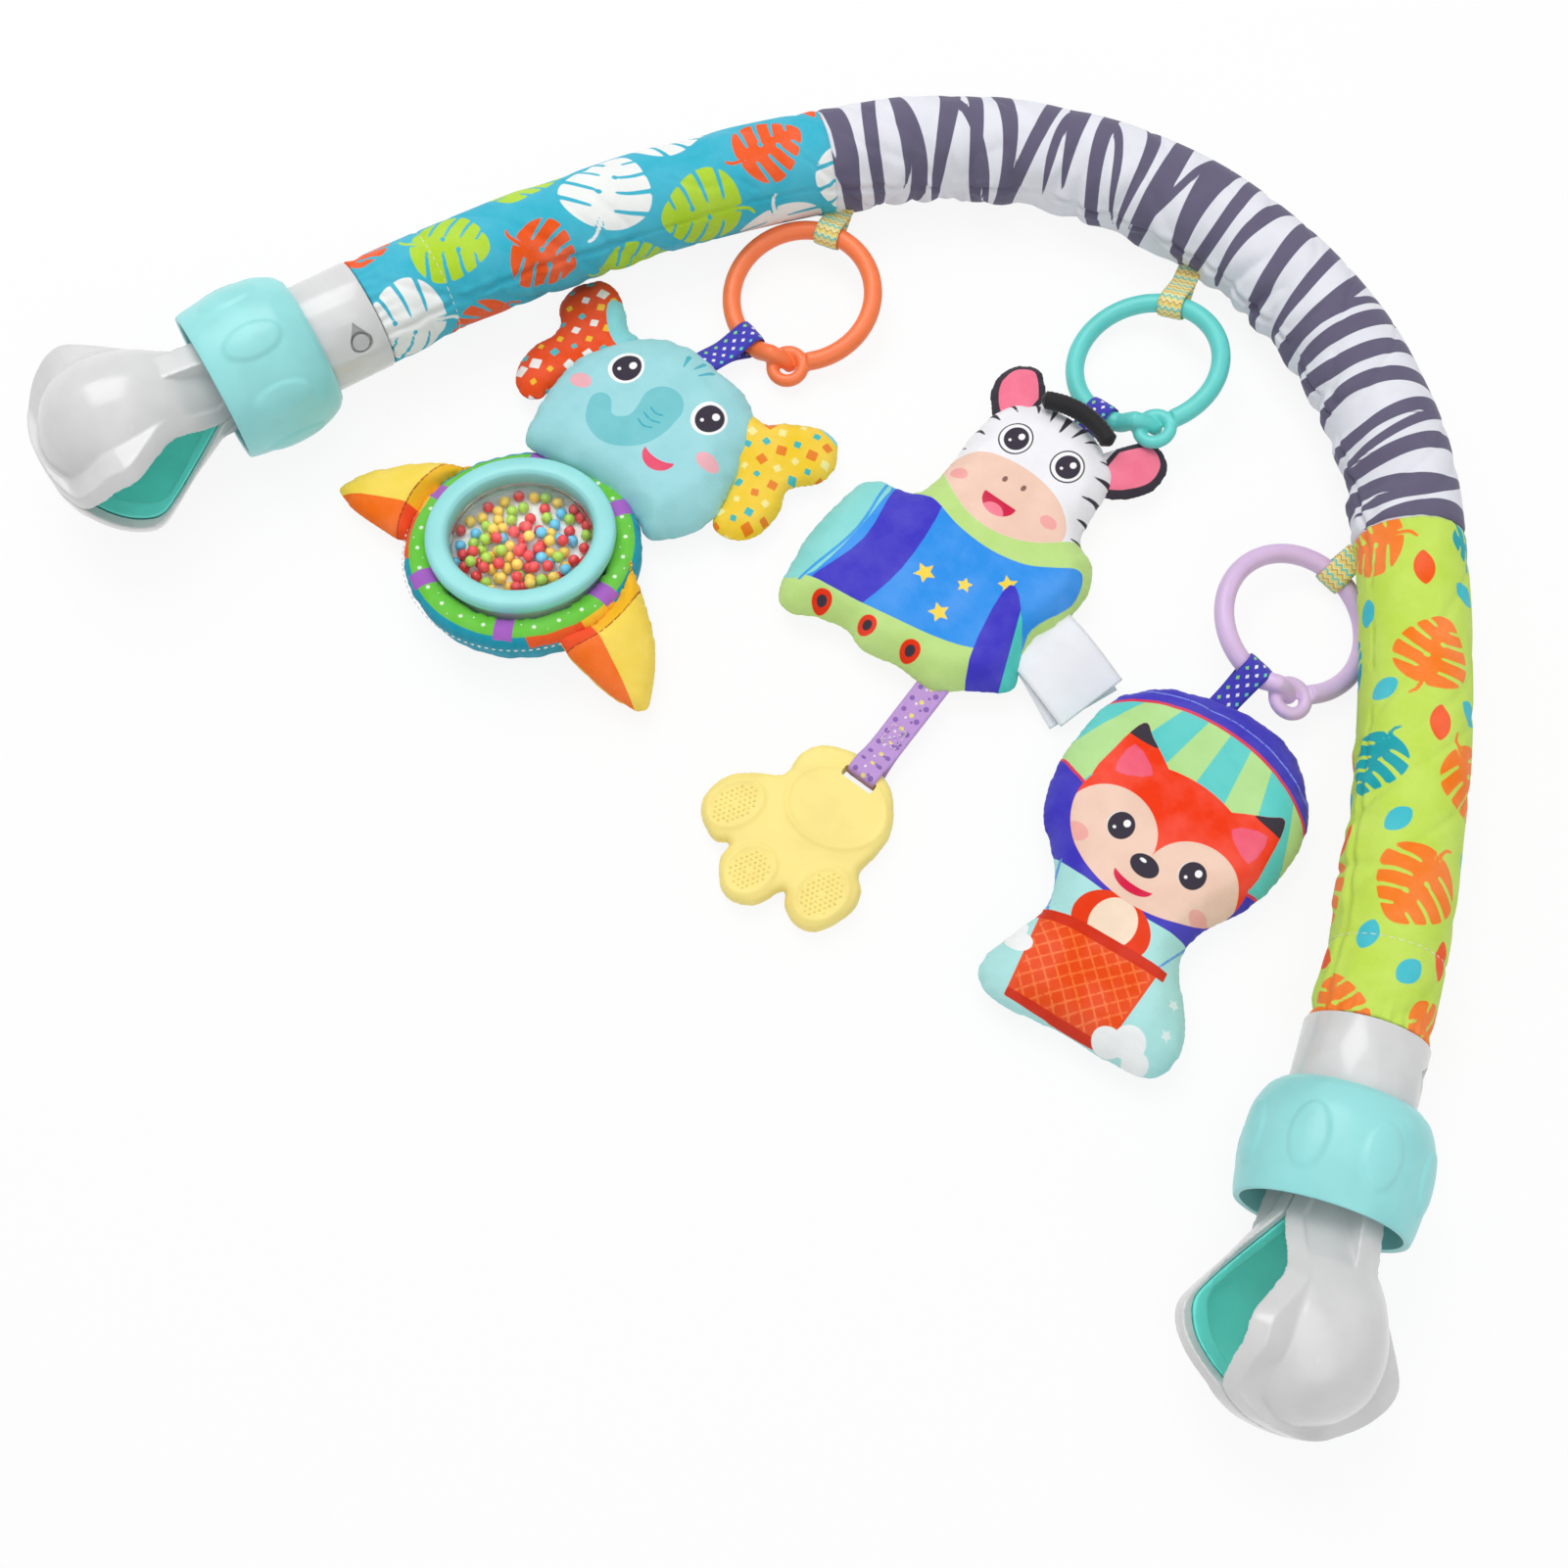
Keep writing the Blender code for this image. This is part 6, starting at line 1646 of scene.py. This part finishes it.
def dress_rattle(seat):
    flange_top = 0.005 + GAP
    low = flange_top + GAP
    high = low + 0.0064
    outer, opening = 0.0365, 0.0275
    rim_profile = [
        (outer - 0.0026, high), (outer - 0.0011, high - 0.0004), (outer - 0.0003, high - 0.0014),
        (outer, low + 0.0030), (outer - 0.0004, low + 0.0010), (outer - 0.0016, low), (opening, low),
        (opening, high - 0.0030), (opening + 0.0006, high - 0.0012), (opening + 0.0018, high - 0.0002),
        (opening + 0.0030, high),
    ]
    rim = bevelled(turned(rim_profile, 160), 0.0003, 2, 25)
    base, rise = opening - GAP, 0.012
    sphere = (base**2 + rise**2) / (2 * rise)
    sweep = math.asin(base / sphere)
    crown = flange_top + rise

    def cap(thinner):
        radius = sphere - thinner
        angles = [sweep * i / 24 for i in range(25)]
        return [(radius * math.sin(a), crown - sphere + radius * math.cos(a)) for a in angles]

    lip = base + 0.0038
    wall = 0.0010
    inner = cap(wall)[::-1]
    flange = [(lip, flange_top), (lip, flange_top - wall), (inner[0][0], flange_top - wall)]
    dome = turned(cap(0) + flange + inner[1:], 128)
    tray_radius, tray_wall, tray_depth = 0.0332, 0.0015, 0.0047
    inside, floor = tray_radius - tray_wall, tray_wall - tray_depth
    tray = turned(
        [
            (0, floor), (inside - 0.002, floor), (inside - 0.0006, floor + 0.0006), (inside, floor + 0.002),
            (inside, flange_top), (tray_radius, flange_top), (tray_radius, -tray_depth), (0, -tray_depth),
        ],
        96,
    )
    for name, node_name, mesh, material, slot in (
        ("moulded_rim", "rattle_rim", rim, AQUA, "aqua_plastic"),
        ("clear_dome", "rattle_dome", dome, CLEAR, "clear_plastic"),
        ("bead_tray", "rattle_tray", tray, TRAY, "white_plastic"),
    ):
        piece = mesh_object(name, moved(mesh, seat), material)
        piece.data.set_sharp_from_angle(angle=math.radians(42))
        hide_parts(node_name)
        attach(piece, "elephant")
    dice = random.Random(5)
    size = 0.00225
    places = []
    for layer, count, reach in ((0, 100, 0.0270), (1, 52, 0.0215)):
        tries = 0
        while count and tries < 9000:
            tries += 1
            turn, far = dice.uniform(0, 2 * math.pi), reach * math.sqrt(dice.random())
            place = Vector((far * math.cos(turn), far * math.sin(turn), floor + size * 1.02 + layer * 0.0034))
            if layer and (place.xy - Vector((0.004, -0.006))).length > 0.019:
                continue
            if all((place - other).length > 1.94 * size for other in places):
                places.append(place)
                count -= 1
    tones = [dice.choices((0.125, 0.375, 0.625, 0.875), (42, 28, 18, 12))[0] for _ in places]
    beads = rounded_copies(places, [(0, 0, 1)] * len(places), size, size, 14, 10, BEADS, tones)
    piece = mesh_object("loose_beads", moved(beads, seat), BEADS)
    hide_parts("rattle_beads")
    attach(piece, "elephant")


def star_shape(x, y, size, turn=0.0):
    points = []
    for i in range(10):
        reach = size * (0.46 if i % 2 else 1)
        angle = math.pi * i / 5 + turn
        points.append((x + reach * math.sin(angle), y + reach * math.cos(angle)))
    return points


def zebra_print(spots, depth):
    corners = [
        (-46, -6), (-34, 0), (-20, 2), (-4, -2), (12, -3), (26, 0), (36, 6), (45, 12), (49, 0), (43, -18),
        (44, -30), (26, -42), (0, -48), (-28, -52), (-42, -52), (-47, -30),
    ]
    body = polygon(spots, corners, 5)
    layers = [("4E9EF4", body)]
    band = polygon(spots, [(-36, -60), (-18, -60), (-10, -30), (-16, 8), (-34, 8), (-29, -28)], 5)
    layers.append(("514BCB", both(body, band)))
    nose = polygon(spots, [(-60, 8), (-38, 8), (-33, -26), (-40, -62), (-64, -62)], 5)
    layers.append(("93E0DC", both(oval(spots, (-44, -26), 14, 31), nose)))
    rim = stroke(spots, spline([(-38, 2), (-33.5, -26), (-39, -56)], 6), 0.6)
    layers.append(("4FA9EC", both(rim, oval(spots, (-38, -26), 14, 32))))
    stars = ((-2, -26, 4.6, 0.2), (13, -21, 3.4, 0.9), (26, -11, 4.2, 0.5), (12, -36, 4.4, 0.4))
    for x, y, size, turn in stars:
        layers.append(("FFE060", polygon(spots, star_shape(x, y, size, turn))))
    sash = polygon(spots, [(26, -14), (32, -12), (51, -36), (50, -50), (42, -56), (32, -44)], 3)
    layers.append(("514BCB", sash))
    layers.append(("5AD2CA", both(sash, polygon(spots, [(35, -14), (39.5, -16), (56, -44), (50, -52)]))))
    for x, y, size in ((-27, -57.5, 3.9), (-7, -55.5, 3.6), (12, -54, 3.9)):
        layers.append(("F1452F", oval(spots, (x, y), size, size)))
        layers.append(("3B3340", oval(spots, (x, y), size * 0.5, size * 0.5)))
    head = union(oval(spots, (4, 40), 36, 36), both(spots[:, 1] * -1 + 24, np.abs(spots[:, 0]) - 60))
    layers.append(("F8F7FB", head))
    muzzle = both(head, union(oval(spots, (3, 17), 28.5, 16.5), oval(spots, (3, 9), 27.5, 14)))
    stripes = (
        ([(1, 73), (3, 63), (4, 54)], 2.3), ([(-8, 73), (-4, 65), (-2, 57)], 2.0),
        ([(11, 73), (10, 64), (9, 56)], 2.0),
        ([(-17, 69), (-11, 63), (-8, 58)], 1.8), ([(22, 70), (17, 64), (14, 58)], 2.0),
        ([(-29, 60), (-21, 58), (-15, 54)], 2.1), ([(37, 63), (29, 61), (23, 56)], 2.3),
        ([(-32, 50), (-25, 50), (-18.5, 47)], 2.2), ([(42, 54), (33, 52), (25.5, 48)], 2.5),
        ([(-33, 40), (-26, 41), (-19.5, 38)], 2.2), ([(44, 43), (35, 43), (26.5, 38)], 2.6),
        ([(-33, 31), (-27, 32), (-22, 29.5)], 1.9), ([(44, 33), (37, 34), (30, 30)], 2.4),
        ([(44, 24), (39, 25), (33, 21)], 2.0),
    )
    layers.append(("35303B", union(*[stroke(spots, spline(route, 5), wide, 0.2) for route, wide in stripes])))
    layers.append(("F8D3C0", muzzle))
    for x, y in ((-8, 42), (15, 44)):
        layers.append(("35303B", oval(spots, (x, y), 6.7, 7.3)))
        layers += eye(spots, x, y, 4.8, 1.28)
    for x, y in ((-1, 25), (7, 26)):
        layers.append(("8E6A62", oval(spots, (x, y), 1.0, 1.4)))
    mouth = both(oval(spots, (3, 16), 7.2, 6.2), spots[:, 1] - 16.6)
    layers.append(("D8405A", mouth))
    layers.append(("FF8CA0", both(mouth, oval(spots, (3, 10), 4.8, 4.4))))
    layers += [("F8AEAA", oval(spots, (-17, 17), 3.6, 2.6)), ("F8AEAA", oval(spots, (23, 20), 3.6, 2.6))]
    return layers


def dress_zebra():
    _, _, top = toy_place("zebra")
    middle = top + Vector((-0.0095, -0.070, 0))
    mid = np.array(middle[:2]) / MM
    toy_strap("zebra", top + bearing(180.0) * 0.0085)
    outline = sized(ZEBRA_SHARES, 106, 140, mid)
    add_cushion(
        "stuffed_zebra", "zebra_cushion", "zebra_print", "zebra", outline, mid, 9.5, 9.7, 18,
        level(10.0), zebra_print, "C6E790", "C6E790", fill=0.6, spacing=3.0,
    )
    crown = mid + np.array([6.4, 70 - 18.5])
    for side, mirror in (("left", True), ("right", False)):
        sign = -1 if mirror else 1
        ear = sized(ZEBRA_EAR_SHARES, 40, 40, crown, mirror)
        root = crown + np.array([sign * 20.0, 0])

        def ear_print(spots, depth, sign=sign):
            return [
                ("F3F1F5", spots[:, 0] * sign - 17.5),
                ("FD86A0", both(3.3 - depth, 19.5 - spots[:, 0] * sign)),
            ]

        add_cushion(
            f"stuffed_zebra_ear_{side}", f"zebra_ear_{side}", "zebra_ear_fabric", "zebra", ear, crown,
            3.0, 2.8, 6, leaning(root, 10.0, -0.14, sign * 90), ear_print, "3A343F", "F3F1F5",
            fill=0.3, spacing=2.2, inset=0.3, limit=1.2, amount=0.3,
        )
    strip_y = middle.y + 0.070 - 0.0032
    shares = np.linspace(-1, 1, 60)
    heights = 0.0212 - 0.0006 * shares**2
    route = np.stack([crown[0] * MM + 0.0165 * shares, strip_y - 0.0045 * shares**2, heights], 1)
    radii = [0.0036 * min(1.0, 7.75 - 7.5 * abs(s)) * (1 + 0.03 * math.sin(s * 60)) for s in shares]
    mane = swept(route, radii, 20)
    piece = mesh_object("sewn_mane", mane, BLACK_FABRIC)
    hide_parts("zebra_mane")
    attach(piece, "zebra")

    label_middle = Vector((middle.x + 0.053, top.y - 0.0890, 0.010))
    seat = Matrix.Translation(label_middle) @ turn_about("Z", -14.0) @ turn_about("Y", 8.0)
    labels = (("blank_label", 0.0, 0.0005, 95), ("blank_label_under", -7.0, -0.0016, 120))
    for name, turn, lift, wave in labels:
        place = seat @ turn_about("Z", turn)
        route = []
        for run in np.linspace(0, 0.037, 40):
            height = lift + 0.0016 * math.sin(run * wave) * min(1, run / 0.012)
            route.append(place @ Vector((run - 0.012, 0, height)))
        mesh, length = strap(route, place.to_3x3() @ Vector((0, 1, 0)), 0.031, 0.0005, 15)
        piece = mesh_object(name, mesh, LABEL)
        if name == "blank_label":
            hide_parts("care_label")
        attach(piece, "zebra")
    dress_teether(middle)


def dress_teether(middle):
    hem_top = middle + Vector((0.026, -0.070, 0))
    half_height = 0.0075 / 2 + LOOP_CLEARANCE
    bar = hem_top + Vector((0, -0.0285, 0))
    bar.z = half_height + 0.0005 + GAP
    inside = hem_top + Vector((0, 0.017, 0))
    inside.z = 0.010
    seat = frame_at(bar, Vector((1, 0, 0)), inside - bar)
    route = [
        seat @ Vector((u, v, 0))
        for u, v in loop_route((inside - bar).length, 0.0065 / 2 + LOOP_CLEARANCE, half_height, 0.0005, 0.6)
    ]
    mesh, length = strap(route, Vector((1, 0, 0)), 0.0122, 0.0005, 11)
    piece = mesh_object("dotted_ribbon", mesh, PURPLE_RIBBON)
    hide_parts("teether_ribbon")
    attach(piece, "teether")
    up = seat.to_3x3() @ Vector((0, 1, 0))
    if up.z < 0:
        up = -up
    ahead = (inside - bar).normalized()
    start = bar + ahead * 0.0125 + up * 0.0009
    box = [(-0.0032, 0), (0.0032, 0), (0.0032, 0.008), (-0.0032, 0.008), (-0.0032, 0), (0.0032, 0.008)]
    box = [start + Vector((x, 0, 0)) + ahead * y for x, y in box]
    stitch_line("ribbon_stitches", box, "teether", THREAD, 0.0014, 0.0007, 0.00018)

    centre = bar + Vector((-0.0071, 0.0065 / 2 - 0.075 / 2 + 0.001, 0))
    mid = np.array(centre[:2]) / MM
    height = bar.z / MM
    outline = sized(TEETHER_SHARES, 71, 75, mid)
    half = 3.75
    pads = (
        (-23.5, -8, 11.2, 8.2, 68), (-3.5, -24.8, 10.2, 8.2, 78), (23.0, -16, 11.2, 8.6, 80),
        (7, 14, 19, 15.5, 12),
    )

    def relief(spots, depth, heights):
        near = spots - mid
        lift = half * np.sqrt(1 - (1 - np.clip(depth / half, 0, 1)) ** 2)
        shape = union(*[oval(near, (x, y), a, b, turn) for x, y, a, b, turn in pads])
        return heights + lift + 0.7 * np.exp(-((shape / 0.9) ** 2)) + 0.22 * np.clip(-shape / 1.5, 0, 1)

    flat = level(height)
    mesh, _ = pillow(outline, half, half, half, flat, spacing=1.05, inset=0.0, puff=1.0, top_of=relief)
    mesh = finished(mesh, 1)
    mesh.transform(Matrix.Scale(MM, 4))
    slot_top = bar.y - 0.0065 / 2
    cutter = mesh_from(
        [
            (bar.x + x, slot_top + y, bar.z + z)
            for x in (-0.007, 0.007) for y in (-0.0046, 0) for z in (-0.012, 0.012)
        ],
        [(0, 1, 3, 2), (4, 6, 7, 5), (0, 4, 5, 1), (2, 3, 7, 6), (0, 2, 6, 4), (1, 5, 7, 3)],
    )
    cutter = bevelled(outward(cutter), 0.0012, 3, 60)
    mesh = boolean(mesh, "DIFFERENCE", cutter)
    piece = mesh_object("paw_teether", mesh, TEETHER)
    piece.data.set_sharp_from_angle(angle=math.radians(50))
    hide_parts("teether")
    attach(piece, "teether")
    bumps = []
    for x, y, a, b, turn in pads[:3]:
        grid = [(x + (i + 0.5 * (j % 2)) * 2.0, y + j * 1.75) for i in range(-8, 9) for j in range(-8, 9)]
        grid = np.array(grid)
        grid = grid[oval(grid, (x, y), a, b, turn) < -1.9]
        bumps += [(*(spot + mid) * MM, (height + 3.9) * MM) for spot in grid]
    grain = 0.00062
    mesh = rounded_copies(bumps, [(0, 0, 1)] * len(bumps), grain, grain, 8, 6, TEETHER)
    grains = mesh_object("teether_grains", mesh, TEETHER)
    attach(grains, "teether")


def fox_print(spots, depth):
    x, y = spots.T
    fan = np.arctan2(x + 3, 118 - y)
    reach = np.hypot(x + 3, 118 - y)
    envelope = -y - 20 + 0.004 * (x + 3) ** 2
    layers = [("BDE79B", envelope)]
    gores = np.sin(fan * 21) * reach / 21
    layers.append(("6AD5D0", both(envelope, -gores)))
    cap = 80 - np.hypot(x + 3, y + 22)
    layers.append(("4E48C4", both(envelope, cap)))
    layers.append(("E64C66", np.abs(cap) - 0.7))
    layers.append(("8C9CF2", np.abs(cap + 5.5) - 0.35))
    skirt_edge = y - 3.5 - 0.006 * (x + 3) ** 2
    layers.append(("4E48C4", both(envelope, skirt_edge)))
    layers.append(("E64C66", both(np.abs(skirt_edge) - 0.6, envelope)))
    lean = local(spots, (5, -52), 6)
    across, up = lean.T
    for rope in (((-21, 16), (-27, 38)), ((21, 16), (29, 36))):
        layers.append(("6FA6E8", stroke(lean, rope, 0.42)))
    layers.append(("F0421F", oval(spots, (3, -29), 15, 12)))
    layers.append(("FFE7CF", oval(spots, (3, -28), 8.5, 10)))
    hamper = both(np.abs(across) - 21.5 - 0.10 * up, np.abs(up) - 17)
    layers.append(("F35A34", hamper))
    weave = np.minimum(np.abs(((across + up) / 6.2) % 1 - 0.5), np.abs(((across - up) / 6.2) % 1 - 0.5))
    layers.append(("FF8455", both(hamper + 1.0, weave * 6.2 * 0.7 - 0.36)))
    layers.append(("D93A24", both(np.abs(across) - 26, np.abs(up - 17) - 2.1)))
    layers.append(("D93A24", both(hamper, up + 14.2)))
    folded = np.stack([-np.abs(x), y], 1)
    ears = polygon(folded, [(-33, 12), (-34, 28), (-31, 42), (-25, 39), (-11, 30), (-8, 18)], 4)
    head = union(ears, oval(spots, (0, 8), 35.5, 26.5))
    layers.append(("FC5541", head))
    layers.append(("3A343F", both(ears, 35.5 - y + 0.010 * (np.abs(x) - 31) ** 2)))
    layers.append(("F96C84", polygon(folded, [(-29, 20), (-29, 33), (-17, 27)], 3)))
    face = both(head, union(oval(folded, (-18, 0), 18, 17), oval(spots, (0, -9), 23, 10)))
    layers.append(("F8D5C2", face))
    layers.append(("F8B5AC", both(face, oval(folded, (-27, -7), 4.6, 3.2))))
    for place in (-15.5, 15.5):
        layers += eye(spots, place, 4, 4.9, 1.0)
    layers.append(("38323F", oval(spots, (0, -3.5), 5.6, 4.2)))
    layers.append(("FFFFFF", oval(spots, (-1.6, -2.0), 1.4, 0.7)))
    smile = less(oval(spots, (0, -10.5), 8.0, 4.6), oval(spots, (0, -7.6), 10.5, 4.2))
    layers.append(("E2405C", smile))
    clouds = union(
        oval(spots, (-31, -51), 6, 4.5), oval(spots, (-25, -48), 5.5, 5.5), oval(spots, (-20, -52), 5, 4),
        oval(spots, (26, -63), 6, 4.5), oval(spots, (32, -59), 6, 5.5), oval(spots, (38, -63), 5, 4),
    )
    layers.append(("FAFCFC", clouds))
    sparks = [polygon(spots, star_shape(x, y, 2.6)) for x, y in ((41, -49), (-28, -65), (37, -38))]
    layers.append(("E8F8F6", union(*sparks)))
    return layers


def dress_fox():
    _, _, top = toy_place("fox")
    middle = top + Vector((0.0108, -0.151 / 2, 0))
    mid = np.array(middle[:2]) / MM
    toy_strap("fox", top + bearing(180.0) * 0.0085)
    outline = sized(FOX_SHARES, 101, 151, mid)
    add_cushion(
        "stuffed_fox", "fox_cushion", "fox_print", "fox", outline, mid, 10.5, 10.7, 20,
        level(11.0), fox_print, "B6EAE8", "6AD5D0", fill=0.6, spacing=3.0,
    )


def tone_material(name, codes):
    """Plastic beads, each of one of the colours, by its own tone."""
    material = plastic(name, codes[0], 0.25)
    tree = material.node_tree
    tone = stored(tree, "tone")
    colour = linear(codes[0])
    for number, code in enumerate(codes[1:], 1):
        colour = mixed(tree, math_node(tree, "GREATER_THAN", tone, number / len(codes)), colour, linear(code))
    feed(tree, tree.nodes["Principled BSDF"], {"Base Color": colour})
    return material


def clear_material(name):
    material, tree, shader = new_material(name)
    moulding = node(tree, "ShaderNodeGroup", node_tree=MOULDING)
    rough = math_node(tree, "ADD", moulding.outputs["Rough"], 0.04, clamp=True)
    looks = {"Base Color": (0.98, 0.99, 0.99, 1), "Roughness": rough, "Transmission Weight": 1.0, "IOR": 1.18}
    feed(tree, shader, looks)
    return material


BLUE_RIBBON = ribbon_material("blue_ribbon", "3A33B8", blue_pattern)
PURPLE_RIBBON = ribbon_material("purple_ribbon", "C49BDD", dotted_pattern)
THREAD = fabric("thread", "F4F0E4", (), threads=4000.0, bump=0.5, tone=0.1)
BLACK_FABRIC = fabric("black_fabric", "1B1A1D", (), bump=0.5, tone=0.25, rough=0.7, sheen=0.3)
LABEL = fabric("label_fabric", "F1F2F8", (), threads=2600.0, bump=0.2, tone=0.05, rough=0.6)
TEETHER = plastic("teether_rubber", "F6E183", 0.48, bump=0.12, subsurface=0.2)
TRAY = plastic("tray_plastic", "F6FBF8", 0.4)
BEADS = tone_material("bead_plastic", ("F2474B", "FFD75E", "B4E052", "6CCBF6"))
CLEAR = clear_material("clear_plastic")


# Stage. The camera's angles are in degrees and the lights are (name, place, size, power)
CAMERA_TURN = 37.7
CAMERA_TILT = 71.0
CAMERA_TARGET = Vector((0.01803, -0.11696, 0.022))
CAMERA_DISTANCE = 0.704
CAMERA_LENS = 44.32
LIGHTS = (
    ("key", (-0.75, 0.35, 1.35), 1.0, 10.3),
    ("fill", (0.95, -0.75, 1.25), 1.3, 3.8),
    ("top", (0.1, 0.1, 1.7), 1.2, 4.2),
)
LIGHTS_TARGET = Vector((0.02, -0.02, 0))


def seen_directly(tree):
    """1 where the camera, a reflection or glass sees the surface, else 0."""
    rays = node(tree, "ShaderNodeLightPath")
    seen = math_node(tree, "ADD", rays.outputs["Is Camera Ray"], rays.outputs["Is Glossy Ray"])
    return math_node(tree, "ADD", seen, rays.outputs["Is Transmission Ray"], clamp=True)


def build_floor():
    """A pale floor that is white to the camera where no shadow falls."""
    reach = 3.0
    corners = [(-reach, -reach, 0), (reach, -reach, 0), (reach, reach, 0), (-reach, reach, 0)]
    material, tree, shader = new_material("floor")
    feed(tree, shader, {"Base Color": (0.93, 0.93, 0.93, 1), "Roughness": 0.9, "Specular IOR Level": 0.0})
    white = node(tree, "ShaderNodeEmission", {"Color": (1, 1, 1, 1), "Strength": 1.0})
    share = math_node(tree, "MULTIPLY", seen_directly(tree), 0.88)
    blend = node(tree, "ShaderNodeMixShader", {0: share, 1: shader.outputs[0], 2: white.outputs[0]})
    feed(tree, tree.nodes["Material Output"], {"Surface": blend.outputs[0]})
    floor = mesh_object("floor", mesh_from(corners, [(0, 1, 2, 3)]), material, smooth=False)


def build_sky(scene):
    """White to the camera and at half strength as a light."""
    world = bpy.data.worlds.new("studio")
    world.use_nodes = True
    tree = world.node_tree
    share = math_node(tree, "MULTIPLY", seen_directly(tree), 0.5)
    looks = {"Color": (1, 1, 1, 1), "Strength": math_node(tree, "ADD", share, 0.5)}
    feed(tree, tree.nodes["Background"], looks)
    scene.world = world


def build_camera(scene):
    turn, tilt = math.radians(CAMERA_TURN), math.radians(CAMERA_TILT)
    away = Vector((math.sin(turn) * math.cos(tilt), -math.cos(turn) * math.cos(tilt), math.sin(tilt)))
    camera = bpy.data.objects.new("camera", bpy.data.cameras.new("camera"))
    scene.collection.objects.link(camera)
    camera.location = CAMERA_TARGET + away * CAMERA_DISTANCE
    camera.rotation_euler = away.to_track_quat("Z", "Y").to_euler()
    camera.data.lens = CAMERA_LENS
    camera.data.sensor_width = 36.0
    camera.data.clip_start = 0.01
    scene.camera = camera


def build_lights(scene):
    for name, place, size, power in LIGHTS:
        light = bpy.data.lights.new(name, "AREA")
        light.size = size
        light.energy = power
        lamp = bpy.data.objects.new(name, light)
        scene.collection.objects.link(lamp)
        lamp.location = place
        lamp.rotation_euler = (Vector(place) - LIGHTS_TARGET).to_track_quat("Z", "Y").to_euler()


def build_stage():
    scene = bpy.context.scene
    scene.view_settings.view_transform = "Standard"
    build_floor()
    build_sky(scene)
    build_camera(scene)
    build_lights(scene)


build_stage()
dress_sleeves()
dress_clamps()
dress_hidden()
dress_rings()
dress_elephant()
dress_zebra()
dress_fox()
